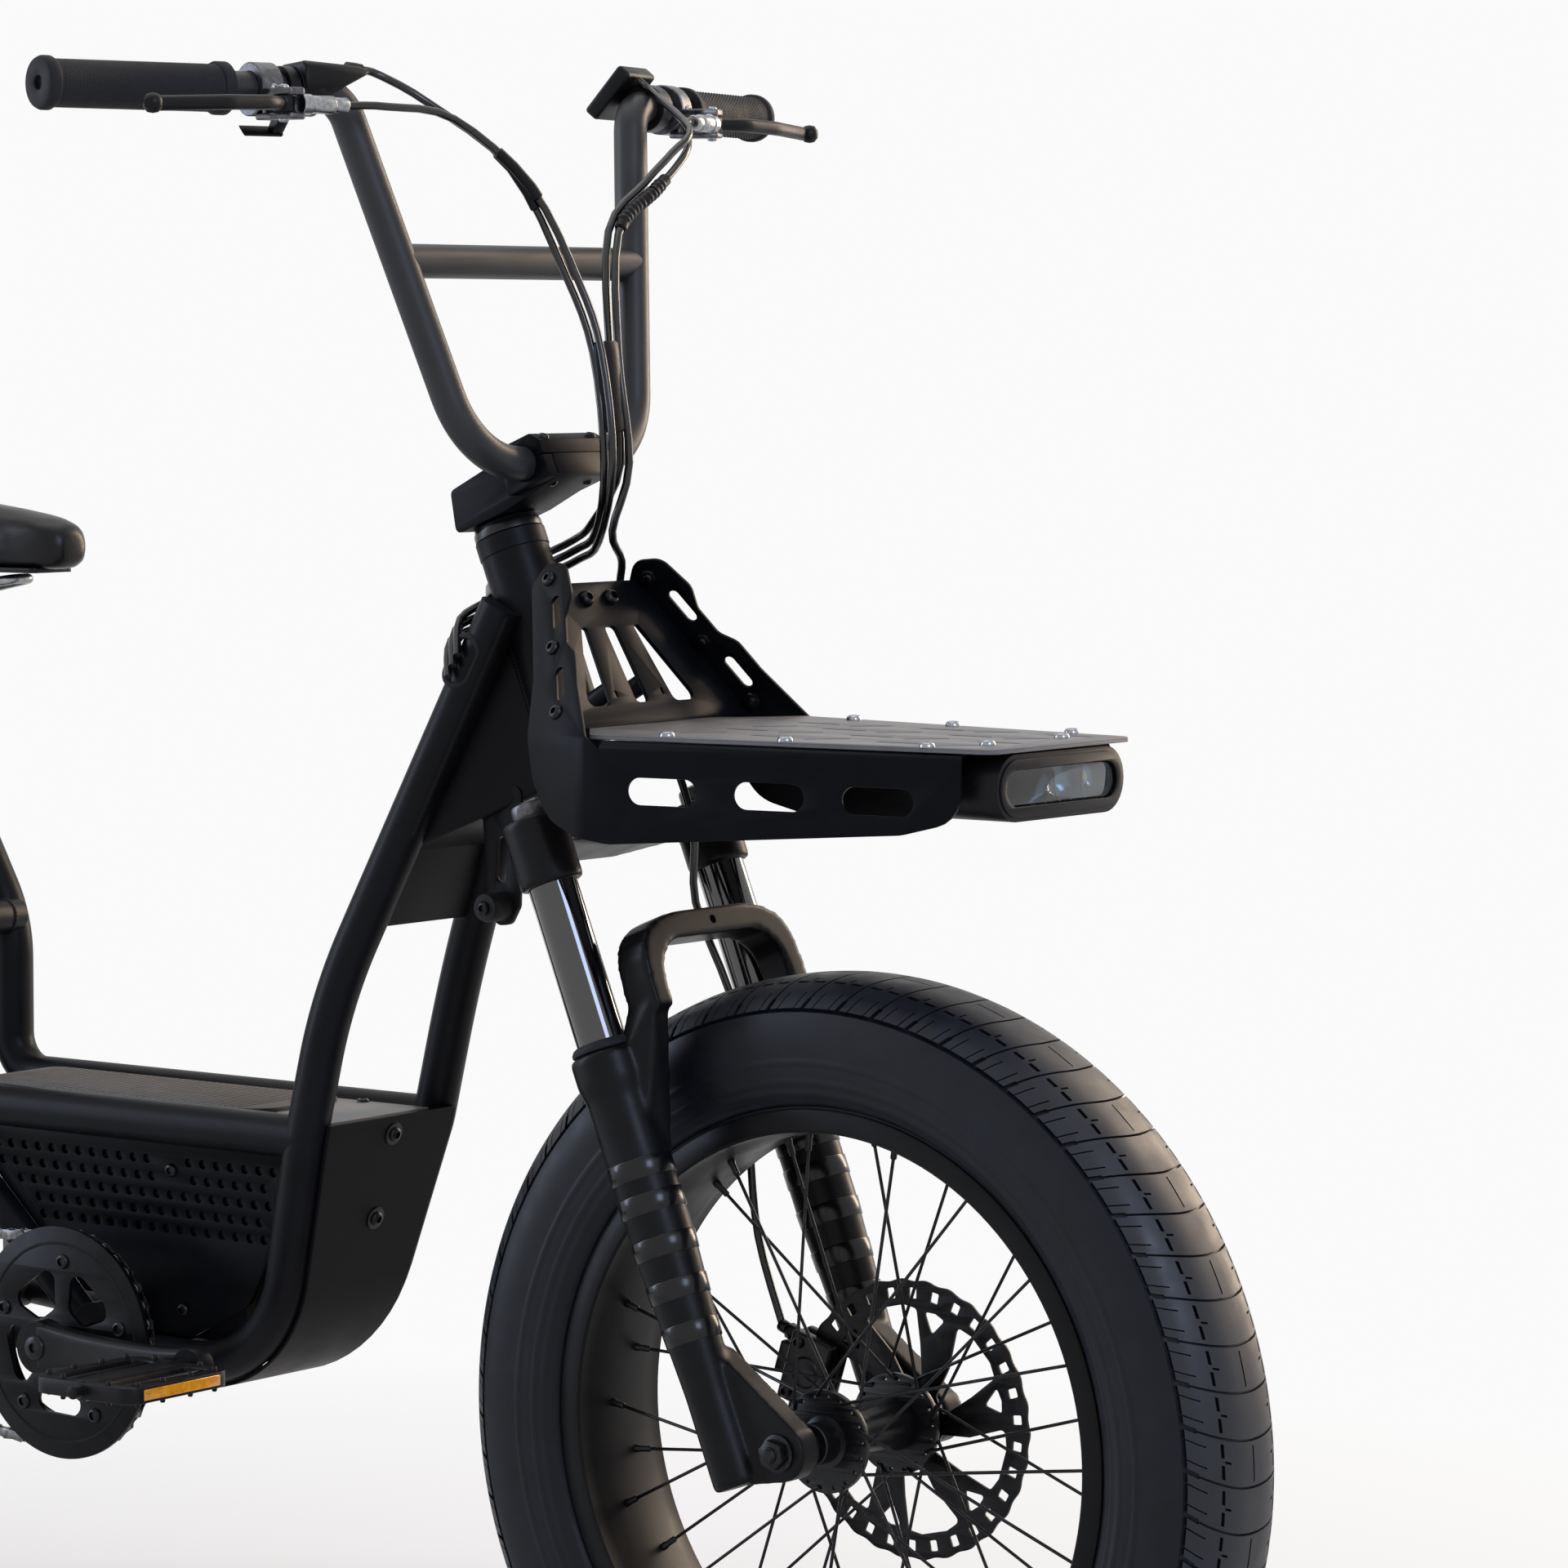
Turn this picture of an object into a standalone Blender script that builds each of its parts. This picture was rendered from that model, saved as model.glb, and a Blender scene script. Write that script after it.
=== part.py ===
import math
import bpy
import bmesh
from mathutils import Matrix, Vector

# Sizes in metres. +X is forward, +Y is the rider's left, +Z is up.
GAP = 0.0003
WHEELBASE = 1.12
AXLE_Z = 0.290
WHEEL_STEPS = 28
TYRE_HALF_W = 0.0496
RIM_R = 0.208
RIM_BED_R = 0.1965
RIM_HALF_W = 0.042
RIM_WALL = 0.0032
BEAD_W = 0.006
SPOKE_R = 0.0013
SPOKE_COUNT = 36
FRONT_AXLE_R = 0.005
REAR_AXLE_R = 0.006
NUT_R = 0.0095
NUT_LENGTH = 0.010
HUB_HALF = 0.0545
HUB_SHELL_R = 0.0165
FLANGE_R = 0.0325
FLANGE_Y = 0.0377
FLANGE_T = 0.004
ROTOR_R = 0.090
ROTOR_T = 0.002
ROTOR_BAND = 0.016
ROTOR_BORE_R = 0.0135
MOTOR_R = 0.088
MOTOR_HALF = 0.052
MOTOR_FLANGE_R = 0.094
MOTOR_END = 0.0755

HEAD_LEAN = math.radians(22)
RAKE = 0.054
LEG_N = 0.017
LEG_HALF = 0.0866
STANCHION_R = 0.016
SLIDE_FIT = 0.0005
FORK_TRAVEL = 0.060
FORK_HOLD = 0.103
LEG_R_TOP = 0.0205
LEG_R_LOW = 0.0160
LEG_LOW = -0.012
COLLAR_R = 0.0230
COLLAR_LO = 0.250
COLLAR_HI = 0.272
CROWN_LO = 0.383
CROWN_HI = 0.427
CROWN_R = 0.0205
KNOB_R = 0.012
KNOB_H = 0.011
ARCH_TOP = 0.346
ARCH_T = 0.017
ARCH_HALF = 0.0800
ARCH_BACK = 0.0390
ARCH_FRONT = 0.0640
DROP_IN = 0.0675
DROP_T = 0.020
DROP_BOSS_R = 0.0185
STEERER_R = 0.0143
HEAD_R = 0.0227
HEAD_BORE_R = 0.0186
HEAD_LO = 0.447
HEAD_HI = 0.622
CUP_H = 0.0095
CUP_INSERT = 0.014

STEM_H = 0.032
STEM_HALF_W = 0.0240
STEM_BACK = 0.0230
BAR_R = 0.0111
BAR_N = 0.053
CLAMP_HALF_W = 0.0335
CLAMP_WALL = 0.0075
HAND_LENGTH = 0.21206
BAR_BACK = 0.233
CLAMP_TO_RISER = 0.083
BAR_TOP_Z = 1.128
CROSSBAR_Z = 1.0228
BAR_HALF = 0.360
BAR_SWEEP = math.radians(14.7)
GRIP_R = 0.0148
GRIP_LENGTH = 0.134
GRIP_FLANGE = 0.0018
GRIP_CAP = 0.004
LEVER_AT = 0.160
LEVER_REACH = 0.033
LEVER_R = 0.0052
LEVER_LENGTH = 0.121
CLAMP_RING_W = 0.016
CLAMP_RING_R = 0.0168
LEVER_TRAVEL = math.radians(14)
CABLE_R = 0.0026

TUBE_R = 0.0143
FLOOR_HALF = 0.065
KNEE_X = WHEELBASE / 2 - 0.3807
KNEE_Z = 0.5438
FLOOR_X = WHEELBASE / 2 - 0.4038
TOE_X = WHEELBASE / 2 - 0.4505
TOE_BEND = 0.094
FLOOR_BEND = 0.080
RAIL_HALF = 0.045
RAIL_Z = 0.286
FLOOR_Z = 0.450
RISE_X = 0.325 - WHEELBASE / 2
RISE_Z = 0.560
RISE_LEAN = math.radians(30)
CARRIER_Z = 0.745
CARRIER_X = -0.220 - WHEELBASE / 2
BB_X = 0.523 - WHEELBASE / 2
BB_Z = 0.298
BB_SHELL_R = 0.023
BB_HALF = RAIL_HALF + TUBE_R + 0.004
SPINDLE_R = 0.0085
STAY_R = 0.011
REAR_DROP_IN = 0.0985
REAR_DROP_T = 0.008
SEAT_LEAN = math.radians(10.7)
SEAT_TUBE_R = 0.0178
SEAT_TUBE_TOP = 0.132
POST_R = 0.0150
POST_LENGTH = 0.215
POST_TOP = 0.236
CLAMP_R = 0.0222
CLAMP_H = 0.016

COVER_T = 0.0025
PANEL_T = 0.002
PANEL_IN = 0.004
FLOOR_T = 0.004
BATTERY_SIDE = 0.009

RACK_LEAN = math.radians(30)
RACK_T = 0.003
RACK_TOP_X = WHEELBASE / 2 - 0.219
RACK_RISE = 0.0868
RACK_TOP_HALF = 0.0505
RACK_REAR_HALF = 0.107
RACK_FRONT_HALF = 0.0800
RACK_FRONT_X = WHEELBASE / 2 + 0.1507
DECK_Z = 0.7297
RACK_TOP_Z = DECK_Z + RACK_RISE
DECK_T = 0.003
DECK_INSET = 0.0045
WALL_T = 0.0025
WALL_LOW = 0.0600
WALL_RISE = 0.0140
EAR_DEPTH = 0.031
SLOT_LENGTH = 0.049
SLOT_W = 0.017
SLOT_STEP = 0.0740
LAMP_HALF_W = 0.069
LAMP_H = 0.041
LAMP_DEPTH = 0.046
LENS_T = 0.005

CHAIN_Y = 0.088
CHAIN_W = 0.008
CHAIN_HALF_H = 0.0043
PITCH = 0.0127
RING_STEPS = 14
COG_STEPS = 16
RING_TEETH = 36
COG_TEETH = 18
RING_T = 0.003
GUARD_R = 0.0790
GUARD_GAP = 0.0015
CRANK_LENGTH = 0.160
CRANK_TILT = math.radians(2.2)
CRANK_T = 0.015
CRANK_IN = 0.1065
CRANK_OFFSET = 0.0265
PEDAL_W = 0.096
PEDAL_L = 0.088
PEDAL_T = 0.011
PEDAL_PIN_R = 0.0045
STAND_X = RISE_X - 0.013
STAND_Z = 0.226
STAND_R = 0.009
STAND_FOOT_X = STAND_X - 0.075
STAND_FOOT_Y = 0.110

SADDLE_NOSE_X = RISE_X + 0.130
SADDLE_LENGTH = 0.275
SADDLE_HALF_W = 0.092
SADDLE_NOSE_HALF = 0.024
SADDLE_LOW_Z = 0.812
SADDLE_RAIL_R = 0.0035
SADDLE_RAIL_HALF = 0.022

SIN, COS = math.sin(HEAD_LEAN), math.cos(HEAD_LEAN)
TYRE_R = AXLE_Z / math.cos(math.pi / WHEEL_STEPS)
FRONT = Vector((WHEELBASE / 2, 0, AXLE_Z))
REAR = Vector((-WHEELBASE / 2, 0, AXLE_Z))
FOOT = FRONT - RAKE * Vector((COS, 0, SIN))
STEER_UP = Vector((-SIN, 0, COS))
STEER_FWD = Vector((COS, 0, SIN))
X, Y, Z = Vector((1, 0, 0)), Vector((0, 1, 0)), Vector((0, 0, 1))


def steer(s, n, y=0.0):
    return FOOT + STEER_UP * s + STEER_FWD * n + Y * y


for old in list(bpy.data.objects):
    bpy.data.objects.remove(old)
parts = bpy.data.collections.new("cargo_bicycle")
cutters = bpy.data.collections.new("cutters")
for group in (parts, cutters):
    bpy.context.scene.collection.children.link(group)


def material(name, color, rough, metal=0.0):
    m = bpy.data.materials.new(name)
    m.use_nodes = True
    shader = m.node_tree.nodes["Principled BSDF"]
    shader.inputs["Base Color"].default_value = (*color, 1)
    shader.inputs["Roughness"].default_value = rough
    shader.inputs["Metallic"].default_value = metal
    m.diffuse_color = (*color, 1)
    return m


COAT = (0.030, 0.031, 0.034)
RUBBER = (0.020, 0.022, 0.028)
ALLOY = (0.55, 0.55, 0.56)


def clean(mesh):
    bm = bmesh.new()
    bm.from_mesh(mesh)
    bmesh.ops.remove_doubles(bm, verts=bm.verts, dist=2e-6)
    bmesh.ops.dissolve_degenerate(bm, edges=bm.edges, dist=2e-6)
    bmesh.ops.recalc_face_normals(bm, faces=bm.faces)
    bm.to_mesh(mesh)
    bm.free()
    return mesh


def evaluated(data, modifiers=(), matrix=None):
    ob = bpy.data.objects.new("draft", data)
    bpy.context.scene.collection.objects.link(ob)
    for kind, values in modifiers:
        mod = ob.modifiers.new(kind.lower(), kind)
        for key, value in values.items():
            setattr(mod, key, value)
    bpy.context.view_layer.update()
    graph = bpy.context.evaluated_depsgraph_get()
    mesh = bpy.data.meshes.new_from_object(ob.evaluated_get(graph))
    bpy.data.objects.remove(ob)
    if matrix is not None:
        mesh.transform(matrix)
    return clean(mesh)


def frame_matrix(origin, ux, uy):
    uz = ux.cross(uy).normalized()
    m = Matrix((ux.normalized(), uy.normalized(), uz)).transposed().to_4x4()
    m.translation = origin
    return m


def lathe(profile, origin, axis, steps, closed=True, phase=0.0):
    mesh = bpy.data.meshes.new("profile")
    count = len(profile)
    edges = [(i, (i + 1) % count) for i in range(count if closed else count - 1)]
    mesh.from_pydata([(r, 0, h) for r, h in profile], edges, [])
    screw = {"axis": "Z", "angle": 2 * math.pi, "steps": steps, "render_steps": steps,
             "use_merge_vertices": True, "merge_threshold": 1e-5, "use_smooth_shade": False}
    turn = Vector((0, 0, 1)).rotation_difference(axis).to_matrix().to_4x4()
    place = Matrix.Translation(origin) @ turn @ Matrix.Rotation(phase, 4, "Z")
    return evaluated(mesh, [("SCREW", screw)], place)


def rod(a, b, radius, steps=10):
    length = (b - a).length
    outline = [(0, length), (radius, length), (radius, 0), (0, 0)]
    return lathe(outline, a, (b - a).normalized(), steps, closed=False, phase=0.11)


def ring(a, b, outer, inner, steps=14):
    length = (b - a).length
    outline = [(inner, length), (outer, length), (outer, 0), (inner, 0)]
    return lathe(outline, a, (b - a).normalized(), steps)


def bend(points, radii, steps=4):
    out = [points[0]]
    for i in range(1, len(points) - 1):
        p, a, b = points[i], points[i - 1], points[i + 1]
        u, v = (a - p).normalized(), (b - p).normalized()
        half = u.angle(v) / 2
        reach = radii[i - 1] / math.tan(half)
        limit = 0.48 * min((a - p).length, (b - p).length)
        reach = min(reach, limit)
        radius = reach * math.tan(half)
        centre = p + (u + v).normalized() * (radius / math.sin(half))
        first, last = p + u * reach - centre, p + v * reach - centre
        for k in range(steps + 1):
            out.append(centre + first.normalized().slerp(last.normalized(), k / steps) * radius)
    out.append(points[-1])
    return out


def tube(points, radius, resolution=2):
    curve = bpy.data.curves.new("path", "CURVE")
    curve.dimensions = "3D"
    curve.bevel_depth = radius
    curve.bevel_resolution = resolution
    curve.use_fill_caps = True
    spline = curve.splines.new("POLY")
    spline.points.add(len(points) - 1)
    for point, co in zip(spline.points, points):
        point.co = (*co, 1)
    return evaluated(curve)


def plate(loops, origin, ux, uy, low, high):
    curve = bpy.data.curves.new("outline", "CURVE")
    curve.dimensions = "2D"
    curve.fill_mode = "BOTH"
    curve.extrude = (high - low) / 2
    for loop in loops:
        spline = curve.splines.new("POLY")
        spline.points.add(len(loop) - 1)
        for point, co in zip(spline.points, loop):
            point.co = (co[0], co[1], 0, 1)
        spline.use_cyclic_u = True
    m = frame_matrix(origin, ux, uy)
    m.translation = origin + m.to_3x3() @ Vector((0, 0, (low + high) / 2))
    return evaluated(curve, (), m)


def hull(points):
    bm = bmesh.new()
    for p in points:
        bm.verts.new(p)
    result = bmesh.ops.convex_hull(bm, input=bm.verts)
    loose = [v for v in result["geom_interior"] if isinstance(v, bmesh.types.BMVert)]
    bmesh.ops.delete(bm, geom=loose, context="VERTS")
    mesh = bpy.data.meshes.new("hull")
    bm.to_mesh(mesh)
    bm.free()
    return clean(mesh)


def block(origin, ux, uy, lo, hi):
    m = frame_matrix(origin, ux, uy)
    corners = [(a, b, c) for a in (lo[0], hi[0]) for b in (lo[1], hi[1]) for c in (lo[2], hi[2])]
    return hull([m @ Vector(c) for c in corners])


def joined(*meshes):
    bm = bmesh.new()
    for mesh in meshes:
        bm.from_mesh(mesh)
    out = bpy.data.meshes.new("joined")
    bm.to_mesh(out)
    bm.free()
    return out


def mirrored(mesh):
    out = mesh.copy()
    out.transform(Matrix.Scale(-1, 4, Y))
    out.flip_normals()
    return out


def both(mesh):
    return joined(mesh, mirrored(mesh))


def circle(x, y, r, n, phase=0.0):
    return [(x + r * math.cos(phase + 2 * math.pi * k / n), y + r * math.sin(phase + 2 * math.pi * k / n))
            for k in range(n)]


def slot(x, y, length, width, angle=0.0, n=4):
    r, half = width / 2, (length - width) / 2
    out = []
    for side, start in ((1, -math.pi / 2), (-1, math.pi / 2)):
        for k in range(n + 1):
            a = start + math.pi * k / n
            px, py = side * half + r * math.cos(a), r * math.sin(a)
            out.append((x + px * math.cos(angle) - py * math.sin(angle),
                        y + px * math.sin(angle) + py * math.cos(angle)))
    return out


cut_count = 0


def put(name, mesh, mat, ops=(), origin=None, smooth=30):
    global cut_count
    mesh.name = name
    mesh.materials.clear()
    mesh.materials.append(mat)
    ob = bpy.data.objects.new(name, mesh)
    parts.objects.link(ob)
    if origin is not None:
        mesh.transform(Matrix.Translation(-origin))
        ob.location = origin
    for operation, cutter in ops:
        cut_count += 1
        other = bpy.data.objects.new("cutter_%02d" % cut_count, cutter)
        other.hide_render = True
        other.display_type = "WIRE"
        cutters.objects.link(other)
        mod = ob.modifiers.new(operation.lower(), "BOOLEAN")
        mod.operation = operation
        mod.solver = "EXACT"
        mod.object = other
    mesh.shade_smooth()
    mesh.set_sharp_from_angle(angle=math.radians(smooth))
    return ob


ADD, CUT = "UNION", "DIFFERENCE"
coat = material("frame_coat", COAT, 0.55)
fork_coat = material("fork_coat", COAT, 0.5)
gloss = material("gloss_tube", (0.02, 0.02, 0.022), 0.12, 0.6)
rubber = material("tyre_rubber", RUBBER, 0.75)
rim_paint = material("rim_coat", COAT, 0.45)
hub_paint = material("hub_coat", (0.025, 0.025, 0.027), 0.35, 0.4)
rotor_steel = material("rotor_steel", (0.035, 0.035, 0.037), 0.4, 0.7)
bolt_steel = material("axle_steel", (0.12, 0.12, 0.13), 0.35, 0.9)
bar_coat = material("bar_coat", (0.04, 0.04, 0.042), 0.5)
grip_rubber = material("grip_rubber", (0.03, 0.03, 0.032), 0.8)
alloy = material("cast_alloy", ALLOY, 0.4, 0.9)
plastic = material("black_plastic", (0.02, 0.02, 0.022), 0.4)
cable_skin = material("cable_skin", (0.012, 0.012, 0.013), 0.25)
rack_coat = material("rack_coat", (0.035, 0.036, 0.04), 0.55)
lens_clear = material("lens_clear", (0.55, 0.62, 0.68), 0.05)
chain_steel = material("chain_steel", (0.4, 0.4, 0.4), 0.4, 0.9)
crank_coat = material("crank_coat", (0.035, 0.035, 0.037), 0.4, 0.3)
vinyl = material("saddle_vinyl", (0.015, 0.015, 0.017), 0.35)
pack_case = material("pack_case", (0.05, 0.05, 0.055), 0.6)

# Wheels.
half_step = math.pi / WHEEL_STEPS
bead_out = RIM_HALF_W - RIM_WALL - GAP
bead_in = bead_out - BEAD_W
wall_h = TYRE_R - RIM_R


def tyre_section():
    outer = [(RIM_BED_R + GAP, bead_in), (RIM_BED_R + GAP, bead_out), (RIM_R + 0.0015, bead_out)]
    for f, w in ((0.40, 1.0), (0.83, 0.82), (1.0, 0.27)):
        outer.append((RIM_R + f * wall_h, w * TYRE_HALF_W))
    inner = [(RIM_R + 0.45 * wall_h, 0.86 * TYRE_HALF_W), (RIM_R + 0.90 * wall_h, 0.25 * TYRE_HALF_W)]
    right = [(r, -y) for r, y in reversed(outer)]
    return outer + right + [(r, -y) for r, y in inner] + list(reversed(inner))


bed_in = RIM_BED_R - RIM_WALL
flange_in = RIM_HALF_W - RIM_WALL
rim_section = [(bed_in, RIM_HALF_W), (RIM_R, RIM_HALF_W), (RIM_R, flange_in), (RIM_BED_R, flange_in),
               (RIM_BED_R, -flange_in), (RIM_R, -flange_in), (RIM_R, -RIM_HALF_W), (bed_in, -RIM_HALF_W)]


def spokes(centre, flange_r, flange_y, twist):
    rods = []
    end_r = bed_in * math.cos(half_step) - 3 * GAP
    for k in range(SPOKE_COUNT):
        side = 1 if k % 2 else -1
        lean = 1 if (k // 2) % 2 else -1
        a = 2 * math.pi * k / SPOKE_COUNT
        b = a + lean * twist
        y0 = side * (flange_y + lean * 0.0005)
        start = centre + Vector((math.cos(b) * flange_r, y0, math.sin(b) * flange_r))
        stop = centre + Vector((math.cos(a) * end_r, side * 0.010, math.sin(a) * end_r))
        back = (start - stop).normalized() * 0.0005
        rods.append(rod(start + back, stop, SPOKE_R, 3))
    return joined(*rods)


def rotor(centre, y0):
    windows = []
    inner, outer = 0.0235, ROTOR_R - ROTOR_BAND
    for k in range(6):
        a = 2 * math.pi * k / 6
        corners = ((inner, 0.22), (inner, 0.80), (outer, 1.16), (outer, 0.88), (outer, 0.60), (outer, 0.34))
        windows.append([(r * math.cos(a + t), r * math.sin(a + t)) for r, t in corners])
    loops = [circle(0, 0, ROTOR_R, 22), circle(0, 0, ROTOR_BORE_R, 10)] + windows
    return plate(loops, centre, X, Z, -y0 - ROTOR_T, -y0)


for prefix, centre in (("front", FRONT), ("rear", REAR)):
    tyre = lathe(tyre_section(), centre, Y, WHEEL_STEPS, phase=half_step)
    put(prefix + "_tyre", tyre, rubber, origin=centre)
    rim = lathe(rim_section, centre, Y, WHEEL_STEPS, phase=half_step)
    put(prefix + "_rim", rim, rim_paint, origin=centre)

bore = FRONT_AXLE_R + GAP
end_r = HUB_SHELL_R - 0.001
seat_r = ROTOR_BORE_R + 0.009
half_f = FLANGE_T / 2
hub_section = [(bore, HUB_HALF), (seat_r, HUB_HALF), (seat_r, FLANGE_Y + half_f),
               (FLANGE_R, FLANGE_Y + half_f), (FLANGE_R, FLANGE_Y - half_f), (HUB_SHELL_R, FLANGE_Y - half_f),
               (HUB_SHELL_R, half_f - FLANGE_Y), (FLANGE_R, half_f - FLANGE_Y), (FLANGE_R, -half_f - FLANGE_Y),
               (end_r, -half_f - FLANGE_Y), (end_r, -HUB_HALF), (bore, -HUB_HALF)]
put("front_hub", lathe(hub_section, FRONT, Y, 14), hub_paint,
    [(ADD, spokes(FRONT, FLANGE_R - 0.0035, FLANGE_Y, 0.72))], FRONT)
put("front_rotor", rotor(FRONT, HUB_HALF + GAP), rotor_steel, origin=FRONT)

rear_bore = REAR_AXLE_R + GAP
cog_in = CHAIN_Y - CHAIN_W / 2 - 0.0015
right_end = cog_in - GAP
motor_section = [(rear_bore, MOTOR_END), (seat_r, MOTOR_END), (seat_r, MOTOR_HALF + 0.006),
                 (MOTOR_R * 0.55, MOTOR_HALF), (MOTOR_FLANGE_R, FLANGE_Y + half_f),
                 (MOTOR_FLANGE_R, FLANGE_Y - half_f), (MOTOR_R, FLANGE_Y - half_f),
                 (MOTOR_R, half_f - FLANGE_Y), (MOTOR_FLANGE_R, half_f - FLANGE_Y),
                 (MOTOR_FLANGE_R, -half_f - FLANGE_Y), (MOTOR_R * 0.55, -MOTOR_HALF),
                 (0.022, -MOTOR_HALF - 0.006), (0.022, -right_end), (rear_bore, -right_end)]
put("rear_hub_motor", lathe(motor_section, REAR, Y, 18), hub_paint,
    [(ADD, spokes(REAR, MOTOR_FLANGE_R - 0.0035, FLANGE_Y, 0.30))], REAR)
put("rear_rotor", rotor(REAR, MOTOR_END + GAP), rotor_steel, origin=REAR)

cog_pitch = PITCH / (2 * math.sin(math.pi / COG_TEETH))
ring_pitch = PITCH / (2 * math.sin(math.pi / RING_TEETH))
cog_root = (cog_pitch - CHAIN_HALF_H) * math.cos(math.pi / COG_STEPS) - 0.0008
cog_bore = REAR_AXLE_R + 0.0065
cog_section = [(cog_bore, -cog_in), (cog_root * 0.72, -cog_in), (cog_root * 0.72, -CHAIN_Y + RING_T / 2),
               (cog_root, -CHAIN_Y + RING_T / 2), (cog_root, -CHAIN_Y - RING_T / 2),
               (cog_root * 0.72, -CHAIN_Y - RING_T / 2), (cog_root * 0.72, -CHAIN_Y - 0.003),
               (cog_bore, -CHAIN_Y - 0.003)]
put("rear_sprocket", lathe(cog_section, REAR, Y, 14), chain_steel, origin=REAR)


def axle_half(radius, hub_end, drop_in, drop_t):
    wide = radius + 0.004
    return [(radius, hub_end + GAP), (wide, hub_end + GAP), (wide, drop_in - GAP), (radius, drop_in - GAP),
            (radius, drop_in + drop_t + GAP), (NUT_R, drop_in + drop_t + GAP),
            (NUT_R, drop_in + drop_t + GAP + NUT_LENGTH), (0, drop_in + drop_t + GAP + NUT_LENGTH)]


left = axle_half(FRONT_AXLE_R, HUB_HALF, DROP_IN, DROP_T)
axle_line = [(r, y) for r, y in reversed(left)] + [(r, -y) for r, y in left]
put("front_axle", lathe(axle_line, FRONT, Y, 8, closed=False), bolt_steel, origin=FRONT)
left = axle_half(REAR_AXLE_R, MOTOR_END, REAR_DROP_IN, REAR_DROP_T)
right = axle_half(REAR_AXLE_R, right_end, REAR_DROP_IN, REAR_DROP_T)
axle_line = [(r, y) for r, y in reversed(left)] + [(r, -y) for r, y in right]
put("rear_axle", lathe(axle_line, REAR, Y, 8, closed=False), bolt_steel)

# Frame tubes. The right side is drawn and mirrored.
tube_slope = (FLOOR_X - TOE_X) / (FLOOR_Z - RAIL_Z)


def down_x(z):
    return TOE_X + tube_slope * (z - RAIL_Z)


head_end = steer(HEAD_HI - 0.047, -0.002, -HEAD_R - 0.0043)
knee = Vector((KNEE_X, -FLOOR_HALF, KNEE_Z))
floor_end = Vector((FLOOR_X, -FLOOR_HALF, FLOOR_Z))
toe = Vector((TOE_X, -RAIL_HALF, RAIL_Z))
rail_end = Vector((BB_X, -RAIL_HALF, RAIL_Z))
down_path = bend([head_end, knee, floor_end, toe, rail_end], [0.40, FLOOR_BEND, TOE_BEND], 3)
down_tubes = both(tube(down_path, TUBE_R))


def on_down(z):
    t = (z - KNEE_Z) / (head_end.z - KNEE_Z)
    return knee.lerp(head_end, t)


lean_run = (CARRIER_Z - RISE_Z) * math.tan(RISE_LEAN)
floor_corners = [Vector((down_x(FLOOR_Z), -FLOOR_HALF, FLOOR_Z)), Vector((RISE_X, -FLOOR_HALF, FLOOR_Z)),
                 Vector((RISE_X, -FLOOR_HALF, RISE_Z)), Vector((RISE_X - lean_run, -FLOOR_HALF, CARRIER_Z)),
                 Vector((CARRIER_X, -FLOOR_HALF, CARRIER_Z))]
floor_corners += [Vector((c.x, -c.y, c.z)) for c in reversed(floor_corners)]
floor_path = bend(floor_corners, [0.030, 0.10, 0.07, 0.045, 0.045, 0.07, 0.10, 0.030], 2)
main_loop = tube(floor_path, TUBE_R)

head_tube = rod(steer(HEAD_LO, 0), steer(HEAD_HI, 0), HEAD_R, 14)
brace = on_down(0.640)
gusset = hull([steer(HEAD_LO + 0.008, -0.010, 0.018 * k) for k in (1, -1)]
              + [steer(HEAD_HI - 0.045, -0.010, 0.018 * k) for k in (1, -1)]
              + [Vector((brace.x + 0.004, k * (brace.y + 0.002), brace.z)) for k in (1, -1)])
low_a, low_b = on_down(0.590), on_down(0.668)
tie_plate = hull([Vector((p.x + d, k * p.y, p.z)) for p in (low_a, low_b) for k in (1, -1)
                  for d in (-0.0025, 0.0025)])
stop_x, stop_z = FRONT.x - 0.2685, 0.608
ear = plate([[(stop_x - 0.012, stop_z - 0.004), (stop_x - 0.004, stop_z - 0.013),
              (stop_x + 0.006, stop_z - 0.012), (stop_x + 0.013, stop_z),
              (stop_x + 0.016, stop_z + 0.078), (stop_x - 0.018, stop_z + 0.078)]],
            Vector((0, -0.024, 0)), X, Z, -0.002, 0.002)
bumper = rod(Vector((stop_x, -0.0455, stop_z)), Vector((stop_x, -0.0235, stop_z)), 0.0095, 10)
bb_shell = rod(Vector((BB_X, -BB_HALF, BB_Z)), Vector((BB_X, BB_HALF, BB_Z)), BB_SHELL_R, 16)
stay_y = REAR_DROP_IN + REAR_DROP_T / 2 + 0.0035
chain_stay = tube(bend([Vector((BB_X - 0.004, -RAIL_HALF + 0.004, BB_Z - 0.002)),
                        Vector((REAR.x + 0.395, -0.074, AXLE_Z)), Vector((REAR.x + 0.260, -stay_y, AXLE_Z)),
                        Vector((REAR.x + 0.026, -stay_y, AXLE_Z))],
                       [0.10, 0.10], 2), STAY_R, 2)
stay_top_x = REAR.x + 0.085
seat_stay = tube([Vector((REAR.x + 0.013, -stay_y, AXLE_Z + 0.028)),
                  Vector((stay_top_x, -FLOOR_HALF - 0.003, CARRIER_Z))], STAY_R * 0.9, 2)
drop_outline = [(0.034, -0.013), (0.036, 0.011), (0.022, 0.040), (0.002, 0.040), (-0.020, 0.012),
                (-0.018, -0.014), (0.0, -0.021)]
dropout = plate([[(REAR.x + a, REAR.z + b) for a, b in drop_outline]], Vector((0, 0, 0)), X, Z,
                REAR_DROP_IN, REAR_DROP_IN + REAR_DROP_T)
strut = tube([Vector((BB_X - 0.012, -RAIL_HALF, RAIL_Z + 0.006)),
              Vector((RISE_X + 0.032, -FLOOR_HALF, FLOOR_Z + 0.004))], TUBE_R * 0.8, 2)
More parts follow.
